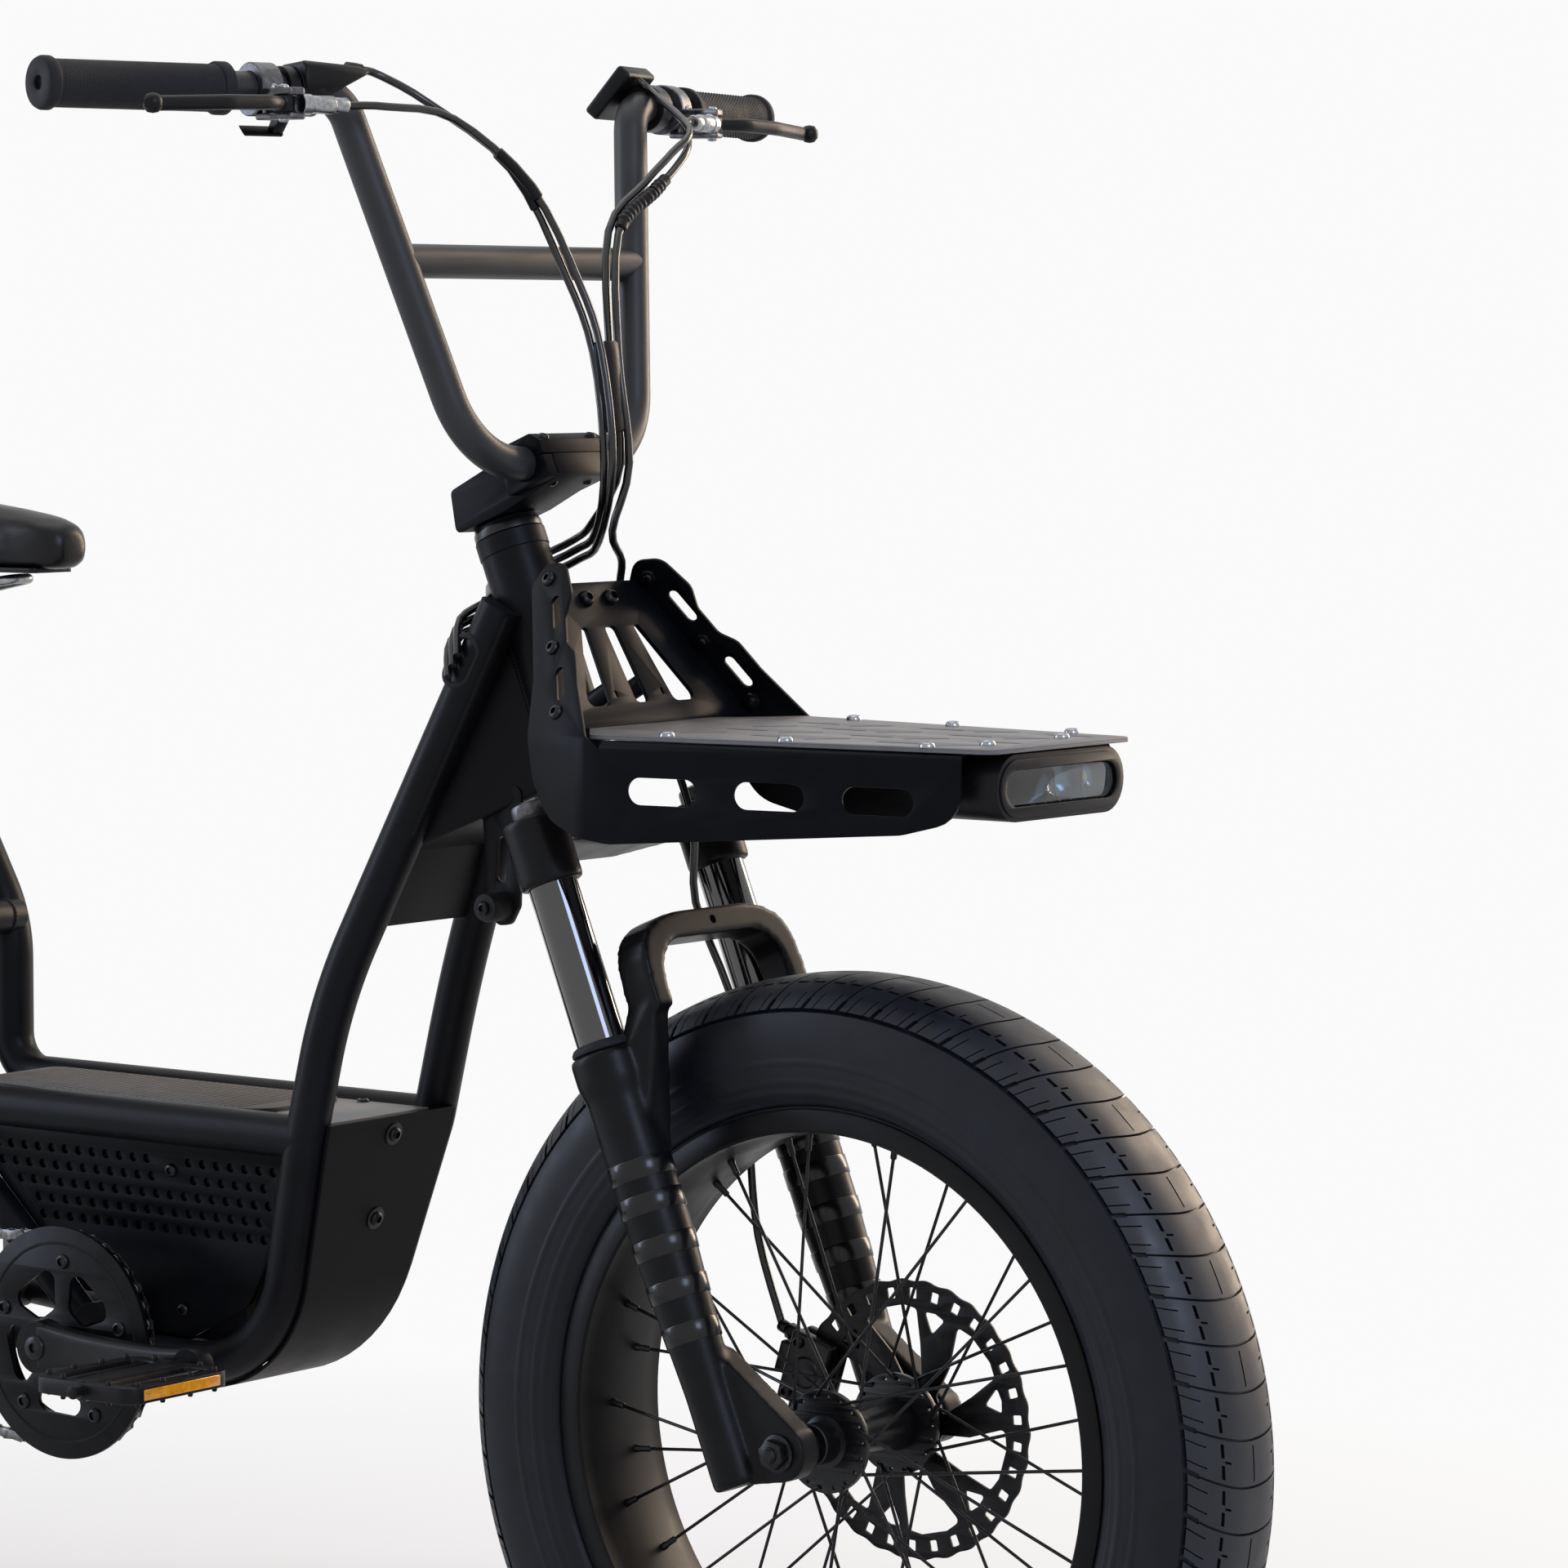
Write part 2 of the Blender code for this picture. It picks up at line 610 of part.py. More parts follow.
SEAT_UP = Vector((-math.sin(SEAT_LEAN), 0, math.cos(SEAT_LEAN)))
seat_base = Vector((RISE_X + 0.003, 0, RISE_Z + 0.008))


def seat(t, n=0.0, y=0.0):
    return seat_base + SEAT_UP * t + Vector((math.cos(SEAT_LEAN), 0, math.sin(SEAT_LEAN))) * n + Y * y


seat_tube = rod(seat(-0.012), seat(SEAT_TUBE_TOP), SEAT_TUBE_R, 16)
brace_z = RISE_Z + 0.098
brace_x = RISE_X - (brace_z - RISE_Z) * math.tan(RISE_LEAN)


def crosswise(x, z, half, radius):
    return rod(Vector((x, -half, z)), Vector((x, half, z)), radius, 8)


floor_top = FLOOR_Z + 0.0095
member_z = floor_top - FLOOR_T - GAP - 0.009
cross_members = joined(crosswise(RISE_X + 0.003, RISE_Z + 0.004, FLOOR_HALF, 0.0125),
                       crosswise(brace_x, brace_z, FLOOR_HALF, 0.010),
                       crosswise(down_x(FLOOR_Z) - 0.052, member_z, FLOOR_HALF, 0.009),
                       crosswise(RISE_X + 0.085, member_z, FLOOR_HALF, 0.009),
                       crosswise(STAND_X, AXLE_Z - 0.002, 0.087, 0.010))
seat_strut = rod(Vector((seat(0.09).x, 0, brace_z)), Vector((brace_x, 0, brace_z)), 0.0115, 10)
tray_top = RAIL_Z + TUBE_R - 0.002
tray = block(Vector((0, 0, 0)), X, Y, (BB_X - 0.005, -RAIL_HALF, tray_top - 0.003),
             (TOE_X - TOE_BEND, RAIL_HALF, tray_top))
stand_ear = plate([[(STAND_X - 0.014, AXLE_Z), (STAND_X - 0.015, STAND_Z),
                    (STAND_X - 0.008, STAND_Z - 0.015), (STAND_X + 0.008, STAND_Z - 0.015),
                    (STAND_X + 0.015, STAND_Z), (STAND_X + 0.014, AXLE_Z)]],
                  Vector((0, -0.032, 0)), X, Z, -0.003, 0.003)

RACK_UP = Vector((-math.sin(RACK_LEAN), 0, math.cos(RACK_LEAN)))
RACK_FWD = Vector((math.cos(RACK_LEAN), 0, math.sin(RACK_LEAN)))
rack_top = Vector((RACK_TOP_X, 0, RACK_TOP_Z))


def rack_boss(v, y):
    face = rack_top + RACK_UP * v + Y * y
    ahead = (face - FOOT).dot(STEER_FWD) - 0.65 * HEAD_R
    reach = ahead / math.cos(RACK_LEAN - HEAD_LEAN)
    return rod(face - RACK_FWD * reach, face - RACK_FWD * GAP, 0.0065, 6)


bosses = joined(*[rack_boss(v, y) for v in (-0.012, -0.072) for y in (-0.0125, 0.0125)])
head_bore = rod(steer(HEAD_LO - 0.01, 0), steer(HEAD_HI + 0.01, 0), HEAD_BORE_R, 16)
seat_bore = rod(seat(POST_TOP - POST_LENGTH - 0.003), seat(SEAT_TUBE_TOP + 0.02), POST_R + GAP, 16)
bb_bore = rod(Vector((BB_X, -BB_HALF - 0.02, BB_Z)), Vector((BB_X, BB_HALF + 0.02, BB_Z)), SPINDLE_R + GAP, 14)
axle_bore = rod(REAR - Y * 0.13, REAR + Y * 0.13, REAR_AXLE_R + GAP, 12)
stand_bore = rod(Vector((STAND_X, -0.05, STAND_Z)), Vector((STAND_X, 0.05, STAND_Z)), STAND_R + 2 * GAP, 12)
put("frame", main_loop, coat,
    [(ADD, down_tubes), (ADD, head_tube), (ADD, gusset), (ADD, tie_plate), (ADD, both(ear)),
     (ADD, both(bumper)), (ADD, bb_shell), (ADD, both(chain_stay)), (ADD, both(dropout)),
     (ADD, both(seat_stay)), (ADD, both(strut)), (ADD, cross_members), (ADD, seat_tube), (ADD, seat_strut),
     (ADD, tray), (ADD, both(stand_ear)), (ADD, bosses),
     (CUT, joined(head_bore, seat_bore, bb_bore, axle_bore, stand_bore))])

# Box between the tubes.


def sheet(loops, thickness):
    bm = bmesh.new()
    seen = {}
    for loop in loops:
        verts = []
        for p in loop:
            key = tuple(round(c, 6) for c in p)
            if key not in seen:
                seen[key] = bm.verts.new(p)
            verts.append(seen[key])
        bm.faces.new(verts)
    bmesh.ops.recalc_face_normals(bm, faces=bm.faces)
    mesh = bpy.data.meshes.new("sheet")
    bm.to_mesh(mesh)
    bm.free()
    solid = {"thickness": thickness, "offset": 0.0, "use_even_offset": True}
    return evaluated(mesh, [("SOLIDIFY", solid)])


cover_off = TUBE_R * 1.03 + GAP + COVER_T / 2
cover_top = floor_end.lerp(knee, 0.013 / (KNEE_Z - FLOOR_Z))
cover_end = down_path[12] - X * 0.012
cover_path = [cover_top] + down_path[5:13] + [cover_end]
cover_rows = []
for i, p in enumerate(cover_path):
    before, after = cover_path[max(i - 1, 0)], cover_path[min(i + 1, len(cover_path) - 1)]
    run = after - before
    run.y = 0
    run.normalize()
    out = Vector((-run.z, 0, run.x)) * cover_off
    cover_rows.append((Vector((p.x, p.y, p.z)) + out, Vector((p.x, -p.y, p.z)) + out))
cover_faces = [[a[0], a[1], b[1], b[0]] for a, b in zip(cover_rows, cover_rows[1:])]
put("front_cover", sheet(cover_faces, COVER_T), coat)
inner_half = FLOOR_HALF - TUBE_R - 0.0008
cover_front = down_x(FLOOR_Z) + TUBE_R * 0.6
put("floor_cover", block(Vector((0, 0, floor_top)), X, Y, (RISE_X + 0.055, -inner_half, -FLOOR_T),
                         (cover_front, inner_half, 0)), plastic)
lean = Vector((0, RAIL_HALF - FLOOR_HALF, FLOOR_Z - RAIL_Z)).normalized()
panel_low = RAIL_Z + TUBE_R + 0.001
panel_high = FLOOR_Z - TUBE_R - 0.001
edge = TUBE_R * 1.04 + 0.001
strut_slope = (FLOOR_Z + 0.004 - RAIL_Z - 0.006) / (RISE_X + 0.032 - BB_X + 0.012)


def strut_x(z):
    return BB_X - 0.012 + (z - RAIL_Z - 0.006) / strut_slope


strut_edge = TUBE_R * 0.8 * math.hypot(1, 1 / strut_slope) + 0.0015
corner = TOE_BEND * 0.8
shell_x, shell_z = BB_X + BB_SHELL_R + 0.003, BB_Z + BB_SHELL_R + 0.003
panel = [(shell_x, shell_z), (shell_x, panel_low), (TOE_X - corner, panel_low),
         (down_x(panel_low + corner * 0.35) - edge - corner * 0.24, panel_low + corner * 0.35),
         (down_x(panel_low + corner) - edge - 0.001, panel_low + corner),
         (down_x(panel_high) - edge, panel_high),
         (strut_x(panel_high) + strut_edge, panel_high), (strut_x(shell_z) + strut_edge, shell_z)]
panel = [(x, (z - RAIL_Z) / lean.z) for x, z in panel]
right_panel = plate([panel], Vector((0, -RAIL_HALF, RAIL_Z)), X, lean, -PANEL_IN - PANEL_T, -PANEL_IN)
put("side_panel_right", right_panel, coat)
put("side_panel_left", mirrored(right_panel), coat)
pack_half = RAIL_HALF - PANEL_IN - PANEL_T - BATTERY_SIDE
pack_front = down_x(panel_low) - TUBE_R - 0.028
pack_back = BB_X + BB_SHELL_R + 0.006
pack_top = member_z - 0.009 - 0.003
put("battery_pack", block(Vector((0, 0, 0)), X, Y, (pack_back, -pack_half, tray_top + GAP),
                          (pack_front, pack_half, pack_top)), pack_case)
put("motor_controller", block(Vector((0, 0, 0)), X, Y, (RISE_X + 0.080, -pack_half, BB_Z + BB_SHELL_R + 0.012),
                              (pack_back - 0.004, pack_half, member_z - 0.009 - GAP)), alloy)
collar = ring(seat(SEAT_TUBE_TOP - CLAMP_H), seat(SEAT_TUBE_TOP - 0.001), CLAMP_R, SEAT_TUBE_R + GAP, 16)
lug = block(seat(SEAT_TUBE_TOP - CLAMP_H / 2 - 0.0005), SEAT_UP.cross(Y) * -1, Y,
            (SEAT_TUBE_R + 0.002, -0.009, -CLAMP_H / 2 + 0.001), (CLAMP_R + 0.011, 0.009, CLAMP_H / 2 - 0.001))
put("seat_clamp", collar, hub_paint, [(ADD, lug)])

# Headset, fork and steering.
for name, base, sign in (("headset_upper", HEAD_HI, 1), ("headset_lower", HEAD_LO, -1)):
    cup = [(STEERER_R + 2 * GAP, CUP_H), (HEAD_R - 0.0015, CUP_H), (HEAD_R, CUP_H * 0.5), (HEAD_R, GAP),
           (HEAD_BORE_R - GAP, GAP), (HEAD_BORE_R - GAP, -CUP_INSERT), (STEERER_R + 2 * GAP, -CUP_INSERT)]
    put(name, lathe(cup, steer(base, 0), STEER_UP * sign, 16), hub_paint)

stem_low = HEAD_HI + CUP_H + GAP
bar_s = stem_low + STEM_H * 0.64
steerer_top = stem_low + STEM_H - 0.002
race_top = HEAD_LO - CUP_H - GAP
FORK_O = steer(CROWN_LO, LEG_N)
STEER_O = steer(HEAD_HI, 0)


def leg_axis(s, y=-LEG_HALF):
    return steer(s, LEG_N, y)


crown_bar = hull([steer(s, n, k * y) for k in (1, -1) for s, n, y in
                  ((CROWN_LO + 0.025, LEG_N - 0.015, LEG_HALF), (CROWN_LO + 0.025, LEG_N + 0.013, LEG_HALF),
                   (CROWN_HI - 0.008, LEG_N - 0.015, LEG_HALF), (CROWN_HI - 0.008, LEG_N + 0.013, LEG_HALF),
                   (CROWN_HI - 0.001, -0.019, 0.022), (CROWN_HI - 0.001, 0.022, 0.022))])
sockets = both(rod(leg_axis(CROWN_LO), leg_axis(CROWN_HI), CROWN_R, 12))
knobs = both(rod(leg_axis(CROWN_HI - 0.002), leg_axis(CROWN_HI + KNOB_H), KNOB_R, 8))
steerer = lathe([(0, steerer_top), (STEERER_R, steerer_top), (STEERER_R, race_top), (0.0195, race_top),
                 (0.0195, CROWN_HI - 0.010), (0, CROWN_HI - 0.010)], steer(0, 0), STEER_UP, 16, closed=False)
crown_bore = both(rod(leg_axis(CROWN_LO - 0.01), leg_axis(CROWN_HI - 0.006), STANCHION_R + GAP, 12))
put("fork_crown", crown_bar, fork_coat,
    [(ADD, sockets), (ADD, knobs), (ADD, steerer), (CUT, crown_bore)], STEER_O)
stanchion_low = COLLAR_HI - FORK_HOLD
stanchion = rod(leg_axis(stanchion_low), leg_axis(CROWN_HI - 0.006 - GAP), STANCHION_R, 12)
put("stanchion_left", mirrored(stanchion), gloss, origin=STEER_O)
put("stanchion_right", stanchion, gloss, origin=STEER_O)

leg_line = [(0, COLLAR_HI), (COLLAR_R, COLLAR_HI), (COLLAR_R, COLLAR_LO), (LEG_R_TOP, COLLAR_LO - 0.010),
            (LEG_R_TOP, 0.150), (LEG_R_LOW, 0.050), (LEG_R_LOW, LEG_LOW), (0, LEG_LOW)]
right_leg = lathe(leg_line, steer(0, LEG_N, -LEG_HALF), STEER_UP, 12, closed=False)
arch_leg = ARCH_HALF - ARCH_T
arch_outer = [(ARCH_HALF, 0.288), (ARCH_HALF, ARCH_TOP - 0.040), (ARCH_HALF - 0.006, ARCH_TOP - 0.0172),
              (ARCH_HALF - 0.020, ARCH_TOP - 0.006), (ARCH_HALF - 0.040, ARCH_TOP)]
arch_in_top = ARCH_TOP - ARCH_T
arch_inner = [(arch_leg, 0.288), (arch_leg, arch_in_top - 0.026), (arch_leg - 0.006, arch_in_top - 0.010),
              (arch_leg - 0.018, arch_in_top - 0.001)]
arch_loop = arch_outer + [(-a, b) for a, b in reversed(arch_outer)]
arch_loop += [(-a, b) for a, b in arch_inner] + list(reversed(arch_inner))
arch = plate([arch_loop], steer(0, 0), Y, STEER_UP, ARCH_BACK, ARCH_FRONT)
web = hull([steer(s, n, -y) for s, n, y in
            ((0.296, ARCH_BACK + 0.001, ARCH_HALF - 0.001), (0.296, ARCH_FRONT - 0.001, ARCH_HALF - 0.001),
             (0.296, ARCH_BACK + 0.001, arch_leg + 0.001), (0.296, ARCH_FRONT - 0.001, arch_leg + 0.001),
             (0.165, LEG_N - 0.002, LEG_HALF + 0.012), (0.165, LEG_N + 0.006, LEG_HALF - 0.012),
             (0.205, LEG_N - 0.012, LEG_HALF + 0.010), (0.245, LEG_N + 0.004, LEG_HALF + 0.012),
             (0.245, LEG_N + 0.012, LEG_HALF - 0.012))])
boss = circle(RAKE, 0, DROP_BOSS_R, 10)
drop_points = [(LEG_N, 0.080), (LEG_N + 0.014, 0.072), (LEG_N, LEG_LOW + 0.001)] + boss
drop_block = hull([steer(s, n, -y) for n, s in drop_points for y in (DROP_IN, DROP_IN + DROP_T)])
leg_bore = both(rod(leg_axis(stanchion_low - FORK_TRAVEL - 0.003), leg_axis(COLLAR_HI + 0.06),
                    STANCHION_R + SLIDE_FIT, 12))
drop_bore = rod(FRONT - Y * 0.12, FRONT + Y * 0.12, FRONT_AXLE_R + GAP, 12)
put("fork_lowers", right_leg, fork_coat,
    [(ADD, mirrored(right_leg)), (ADD, both(web)), (ADD, arch), (ADD, both(drop_block)),
     (CUT, joined(leg_bore, drop_bore))], FORK_O)


def caliper(centre, radius, angle, y_mid):
    out = Vector((math.cos(angle), 0, math.sin(angle)))
    along = Vector((-math.sin(angle), 0, math.cos(angle)))
    mid = centre + out * radius + Y * y_mid
    body = block(mid, out, along, (-0.016, -0.024, -0.0100), (0.018, 0.024, 0.0125))
    disc = block(mid, out, along, (-0.03, -0.03, -ROTOR_T / 2 - 0.0014), (ROTOR_R - radius + 0.003, 0.03,
                                                                       ROTOR_T / 2 + 0.0014))
    arm = block(mid, out, along, (0.012, -0.010, -0.0085), (0.030, 0.012, 0.004))
    return body, [(ADD, arm), (CUT, disc)]


rotor_mid = HUB_HALF + GAP + ROTOR_T / 2
body, ops = caliper(FRONT, ROTOR_R - 0.010, math.radians(163), rotor_mid)
put("front_caliper", body, hub_paint, ops, FORK_O)
body, ops = caliper(REAR, ROTOR_R - 0.010, math.radians(42), MOTOR_END + GAP + ROTOR_T / 2)
put("rear_caliper", body, hub_paint, ops)

# Stem and bar.
bar_low = steer(bar_s, BAR_N)
clamp_reach = BAR_R + CLAMP_WALL
stem_side = [(-STEM_BACK, stem_low), (0.020, stem_low),
             (BAR_N + clamp_reach, bar_s - BAR_R - CLAMP_WALL * 0.6), (BAR_N + clamp_reach, bar_s - GAP),
             (BAR_N - clamp_reach, bar_s - GAP), (BAR_N - clamp_reach - 0.006, stem_low + STEM_H),
             (-STEM_BACK + 0.006, stem_low + STEM_H - 0.004)]
stem_block = plate([stem_side], steer(0, 0), STEER_FWD, STEER_UP, -STEM_HALF_W, STEM_HALF_W)
clamp_low = block(bar_low, STEER_FWD, STEER_UP, (-clamp_reach, -BAR_R - CLAMP_WALL * 0.6, -CLAMP_HALF_W),
                  (clamp_reach - 0.0004, -GAP, CLAMP_HALF_W))
bar_groove = rod(bar_low - Y * 0.06, bar_low + Y * 0.06, BAR_R + GAP, 16)
steerer_hole = rod(steer(stem_low - 0.01, 0), steer(steerer_top + GAP, 0), STEERER_R + GAP, 16)
put("stem", stem_block, coat, [(ADD, clamp_low), (CUT, joined(bar_groove, steerer_hole))], STEER_O)
cap_side = [(-clamp_reach, GAP), (clamp_reach, GAP), (clamp_reach, BAR_R - 0.002),
            (BAR_R + 0.001, BAR_R + CLAMP_WALL * 0.6), (-BAR_R - 0.001, BAR_R + CLAMP_WALL * 0.6),
            (-clamp_reach, BAR_R - 0.002)]
put("stem_cap", plate([cap_side], bar_low, STEER_FWD, STEER_UP, -CLAMP_HALF_W, CLAMP_HALF_W), coat,
    [(CUT, rod(bar_low - Y * 0.06, bar_low + Y * 0.06, BAR_R + GAP, 16))], STEER_O)

bar_out = (BAR_HALF - HAND_LENGTH - CLAMP_TO_RISER) / (BAR_TOP_Z - bar_low.z)


def riser(z, side=-1):
    rise = z - bar_low.z
    return Vector((bar_low.x - BAR_BACK * rise, side * (CLAMP_TO_RISER + bar_out * rise), z))


shoulder = riser(BAR_TOP_Z)
out_r = Vector((-math.sin(BAR_SWEEP), -math.cos(BAR_SWEEP), 0))
bar_end = shoulder + out_r * ((BAR_HALF + shoulder.y) / math.cos(BAR_SWEEP))
metal_end = bar_end - out_r * (GRIP_CAP + GAP)
low_corner = Vector((bar_low.x, -CLAMP_TO_RISER, bar_low.z))
half_bar = [metal_end, shoulder, low_corner]
bar_line = half_bar + [Vector((p.x, -p.y, p.z)) for p in reversed(half_bar)]
bar_path = bend(bar_line, [0.026, 0.060, 0.060, 0.026], 4)
bar_tube = tube(bar_path, BAR_R)
cross = rod(riser(CROSSBAR_Z), riser(CROSSBAR_Z, 1), BAR_R * 0.98, 10)
put("handlebar", bar_tube, bar_coat, [(ADD, cross)], STEER_O)

grip_in = bar_end - out_r * GRIP_LENGTH
grip_bore = (BAR_R + GAP) / math.cos(math.pi / 12)
grip_line = [(grip_bore, 0), (grip_bore, GRIP_LENGTH - GRIP_CAP), (0, GRIP_LENGTH - GRIP_CAP),
             (0, GRIP_LENGTH), (GRIP_R - 0.001, GRIP_LENGTH), (GRIP_R + GRIP_FLANGE, GRIP_LENGTH - 0.003),
             (GRIP_R + GRIP_FLANGE, GRIP_LENGTH - 0.008), (GRIP_R, GRIP_LENGTH - 0.010), (GRIP_R, 0.010),
             (GRIP_R + GRIP_FLANGE, 0.008), (GRIP_R + GRIP_FLANGE, 0)]
tip = [p for p in grip_line if p[0] == 0]
grip_turn = [tip[0]] + list(reversed(grip_line[:2])) + list(reversed(grip_line[4:])) + [tip[1]]
right_grip = lathe(grip_turn, grip_in, out_r, 12, closed=False)
put("grip_left", mirrored(right_grip), grip_rubber, origin=STEER_O)
put("grip_right", right_grip, grip_rubber, origin=STEER_O)

# Brake levers. a runs outward along the bar, f forward, u up.
fwd_r = Vector((math.cos(BAR_SWEEP), -math.sin(BAR_SWEEP), 0))
perch = bar_end - out_r * LEVER_AT


def hand(a, f, u=0.0):
    return perch + out_r * a + fwd_r * f + Z * u


ring_bore = rod(hand(-0.02, 0), hand(0.02, 0), BAR_R * 1.003 + GAP, 14)
lever_u = -0.010
boss_h = 0.0100
pivot = hand(0.004, LEVER_REACH, lever_u)
bracket_ring = rod(hand(-CLAMP_RING_W / 2, 0), hand(CLAMP_RING_W / 2, 0), CLAMP_RING_R, 14)
fork_top = hull([hand(a, f, lever_u + boss_h / 2 + GAP + u) for u in (0, 0.005) for a, f in
                 ((-0.0075, 0.010), (0.0073, 0.010), (-0.012, LEVER_REACH), (0.011, LEVER_REACH - 0.006),
                  (0.004, LEVER_REACH + 0.008), (-0.006, LEVER_REACH + 0.008))])
fork_low = hull([hand(a, f, lever_u - boss_h / 2 - GAP - u) for u in (0, 0.004) for a, f in
                 ((-0.0075, 0.006), (0.0073, 0.006), (-0.012, LEVER_REACH), (0.011, LEVER_REACH - 0.006),
                  (0.004, LEVER_REACH + 0.008), (-0.006, LEVER_REACH + 0.008))])
spine = hull([hand(a, f, u) for a in (-0.0066, 0.0066) for f in (0.004, 0.0165)
              for u in (lever_u - boss_h / 2 - 0.0034, lever_u + boss_h / 2 + 0.0044)])
barrel_f = LEVER_REACH + 0.004
barrel = rod(hand(-0.0055, barrel_f, lever_u), hand(-0.040, barrel_f, lever_u), 0.0066, 10)


def bracket(parts_of):
    return [(ADD, parts_of(spine)), (ADD, parts_of(fork_top)), (ADD, parts_of(fork_low)),
            (ADD, parts_of(barrel)), (CUT, parts_of(ring_bore))]


blade = tube(bend([hand(0.004, LEVER_REACH, lever_u), hand(0.022, LEVER_REACH + 0.016, lever_u),
                   hand(0.060, LEVER_REACH + 0.024, lever_u - 0.001),
                   hand(LEVER_LENGTH - 0.008, LEVER_REACH + 0.023, lever_u - 0.003),
                   hand(LEVER_LENGTH, LEVER_REACH + 0.029, lever_u - 0.003)], [0.03, 0.05, 0.01], 2),
             LEVER_R * 0.93, 2)
pivot_boss = rod(pivot - Z * (boss_h / 2), pivot + Z * (boss_h / 2), 0.0068, 12)
for side, parts_of in (("right", lambda m: m.copy()), ("left", mirrored)):
    put("lever_bracket_" + side, parts_of(bracket_ring), alloy, bracket(parts_of), STEER_O)
    at = pivot if side == "right" else Vector((pivot.x, -pivot.y, pivot.z))
    put("brake_lever_" + side, parts_of(blade), plastic, [(ADD, parts_of(pivot_boss))], at)

# Thumb throttle on the right, display on the left.
pod_at = -0.031
pod_ring = rod(hand(pod_at - 0.008, 0), hand(pod_at + 0.008, 0), CLAMP_RING_R - 0.0008, 10)
pod_box = hull([hand(pod_at + a, f, u) for a, f, u in
                ((-0.044, -0.012, 0.0120), (-0.044, 0.013, 0.0125), (-0.040, 0.0145, 0.0100),
                 (-0.006, 0.014, -0.0065), (-0.038, -0.010, 0.0160), (-0.038, 0.010, 0.0160),
                 (0.0075, -0.012, 0.0165), (0.0075, 0.013, 0.0185), (0.0075, 0.0175, 0.0150),
                 (0.0075, 0.0175, 0.0020), (0.0075, 0.014, -0.0070), (0.0075, -0.012, 0.0040))])
pod_bore = tube(bar_path, BAR_R + GAP)
put("throttle_pod", pod_ring, plastic, [(ADD, pod_box), (CUT, pod_bore)], STEER_O)
thumb_at = pod_at + 0.0128
thumb_ring = rod(hand(thumb_at - 0.0040, 0), hand(thumb_at + 0.0040, 0), 0.0150, 14)
stalk = hull([hand(thumb_at + a, f, u) for a in (-0.004, 0.004) for f, u in
              ((-0.006, -0.010), (0.006, -0.011), (-0.012, -0.0222), (-0.007, -0.0270))])
paddle = hull([hand(thumb_at + a, f, u) for a, f, u in
               ((-0.0045, -0.0125, -0.0215), (-0.0045, -0.0065, -0.0275), (0.026, -0.0125, -0.0215),
                (0.026, -0.0065, -0.0275), (0.024, -0.0135, -0.0235), (0.024, -0.0075, -0.0290),
                (-0.0035, -0.0135, -0.0235), (-0.0035, -0.0075, -0.0290))])
thumb_bore = rod(hand(thumb_at - 0.02, 0), hand(thumb_at + 0.02, 0), BAR_R * 1.003 + GAP, 14)
throttle_origin = hand(thumb_at, 0)
put("throttle_lever", thumb_ring, plastic, [(ADD, stalk), (ADD, paddle), (CUT, thumb_bore)], throttle_origin)

SCREEN_TILT = math.radians(50)
left_out = Vector((out_r.x, -out_r.y, 0))
left_fwd = Vector((fwd_r.x, -fwd_r.y, 0))
left_perch = Vector((perch.x, -perch.y, perch.z))
screen_up = left_fwd * math.cos(SCREEN_TILT) + Z * math.sin(SCREEN_TILT)
screen_face = Z * math.cos(SCREEN_TILT) - left_fwd * math.sin(SCREEN_TILT)
left_pod = left_perch + left_out * pod_at
pod_r = CLAMP_RING_R - 0.0008
SLAB_T = 0.011
slab_mid = left_pod - left_out * 0.004 + screen_face * (pod_r - 0.002 + SLAB_T / 2) - screen_up * 0.0033
display_slab = block(slab_mid, left_out, screen_up, (-0.024, -0.020, -SLAB_T / 2), (0.022, 0.020, SLAB_T / 2))
display_ring = rod(left_pod - left_out * 0.008, left_pod + left_out * 0.008, pod_r, 12)
display_bore = rod(left_pod - left_out * 0.05, left_pod + left_out * 0.05, BAR_R * 1.003 + GAP, 14)
BUTTON_R = 0.0045
BUTTON_TRAVEL = 0.0010
button_foot = slab_mid - screen_up * 0.0145 + screen_face * 0.0020
well = rod(button_foot, button_foot + screen_face * 0.02, BUTTON_R + GAP, 12)
put("display", display_slab, plastic,
    [(ADD, display_ring), (CUT, joined(display_bore, well))], STEER_O)
button_low = button_foot + screen_face * (BUTTON_TRAVEL + GAP)
button = rod(button_low, button_low + screen_face * 0.0036, BUTTON_R, 12)
put("power_button", button, grip_rubber, origin=button_low)

# Cables.


def smooth_path(points, steps=2):
    out = []
    for i in range(len(points) - 1):
        p0, p1 = points[max(i - 1, 0)], points[i]
        p2, p3 = points[i + 1], points[min(i + 2, len(points) - 1)]
        for k in range(steps):
            t = k / steps
            out.append(0.5 * (2 * p1 + (p2 - p0) * t + (2 * p0 - 5 * p1 + 4 * p2 - p3) * t * t
                              + (3 * p1 - p0 - 3 * p2 + p3) * t ** 3))
    out.append(points[-1])
    return out


def at(x, y, z):
    return Vector((FRONT.x - x, y, z))


barrel_end = hand(-0.0412, barrel_f, lever_u)
left_barrel = Vector((barrel_end.x, -barrel_end.y, barrel_end.z))
pod_exit = hand(pod_at - 0.0458, 0.000, 0.0143)
wrap_r = TUBE_R + CABLE_R + 0.0014
over_tube = (head_end - knee).cross(Y).normalized()
bundle = [(0.203, 0.965), (0.194, 0.895)]


def bundled(y, n_shift=0.0):
    return [at(x - n_shift, y, z) for x, z in bundle]


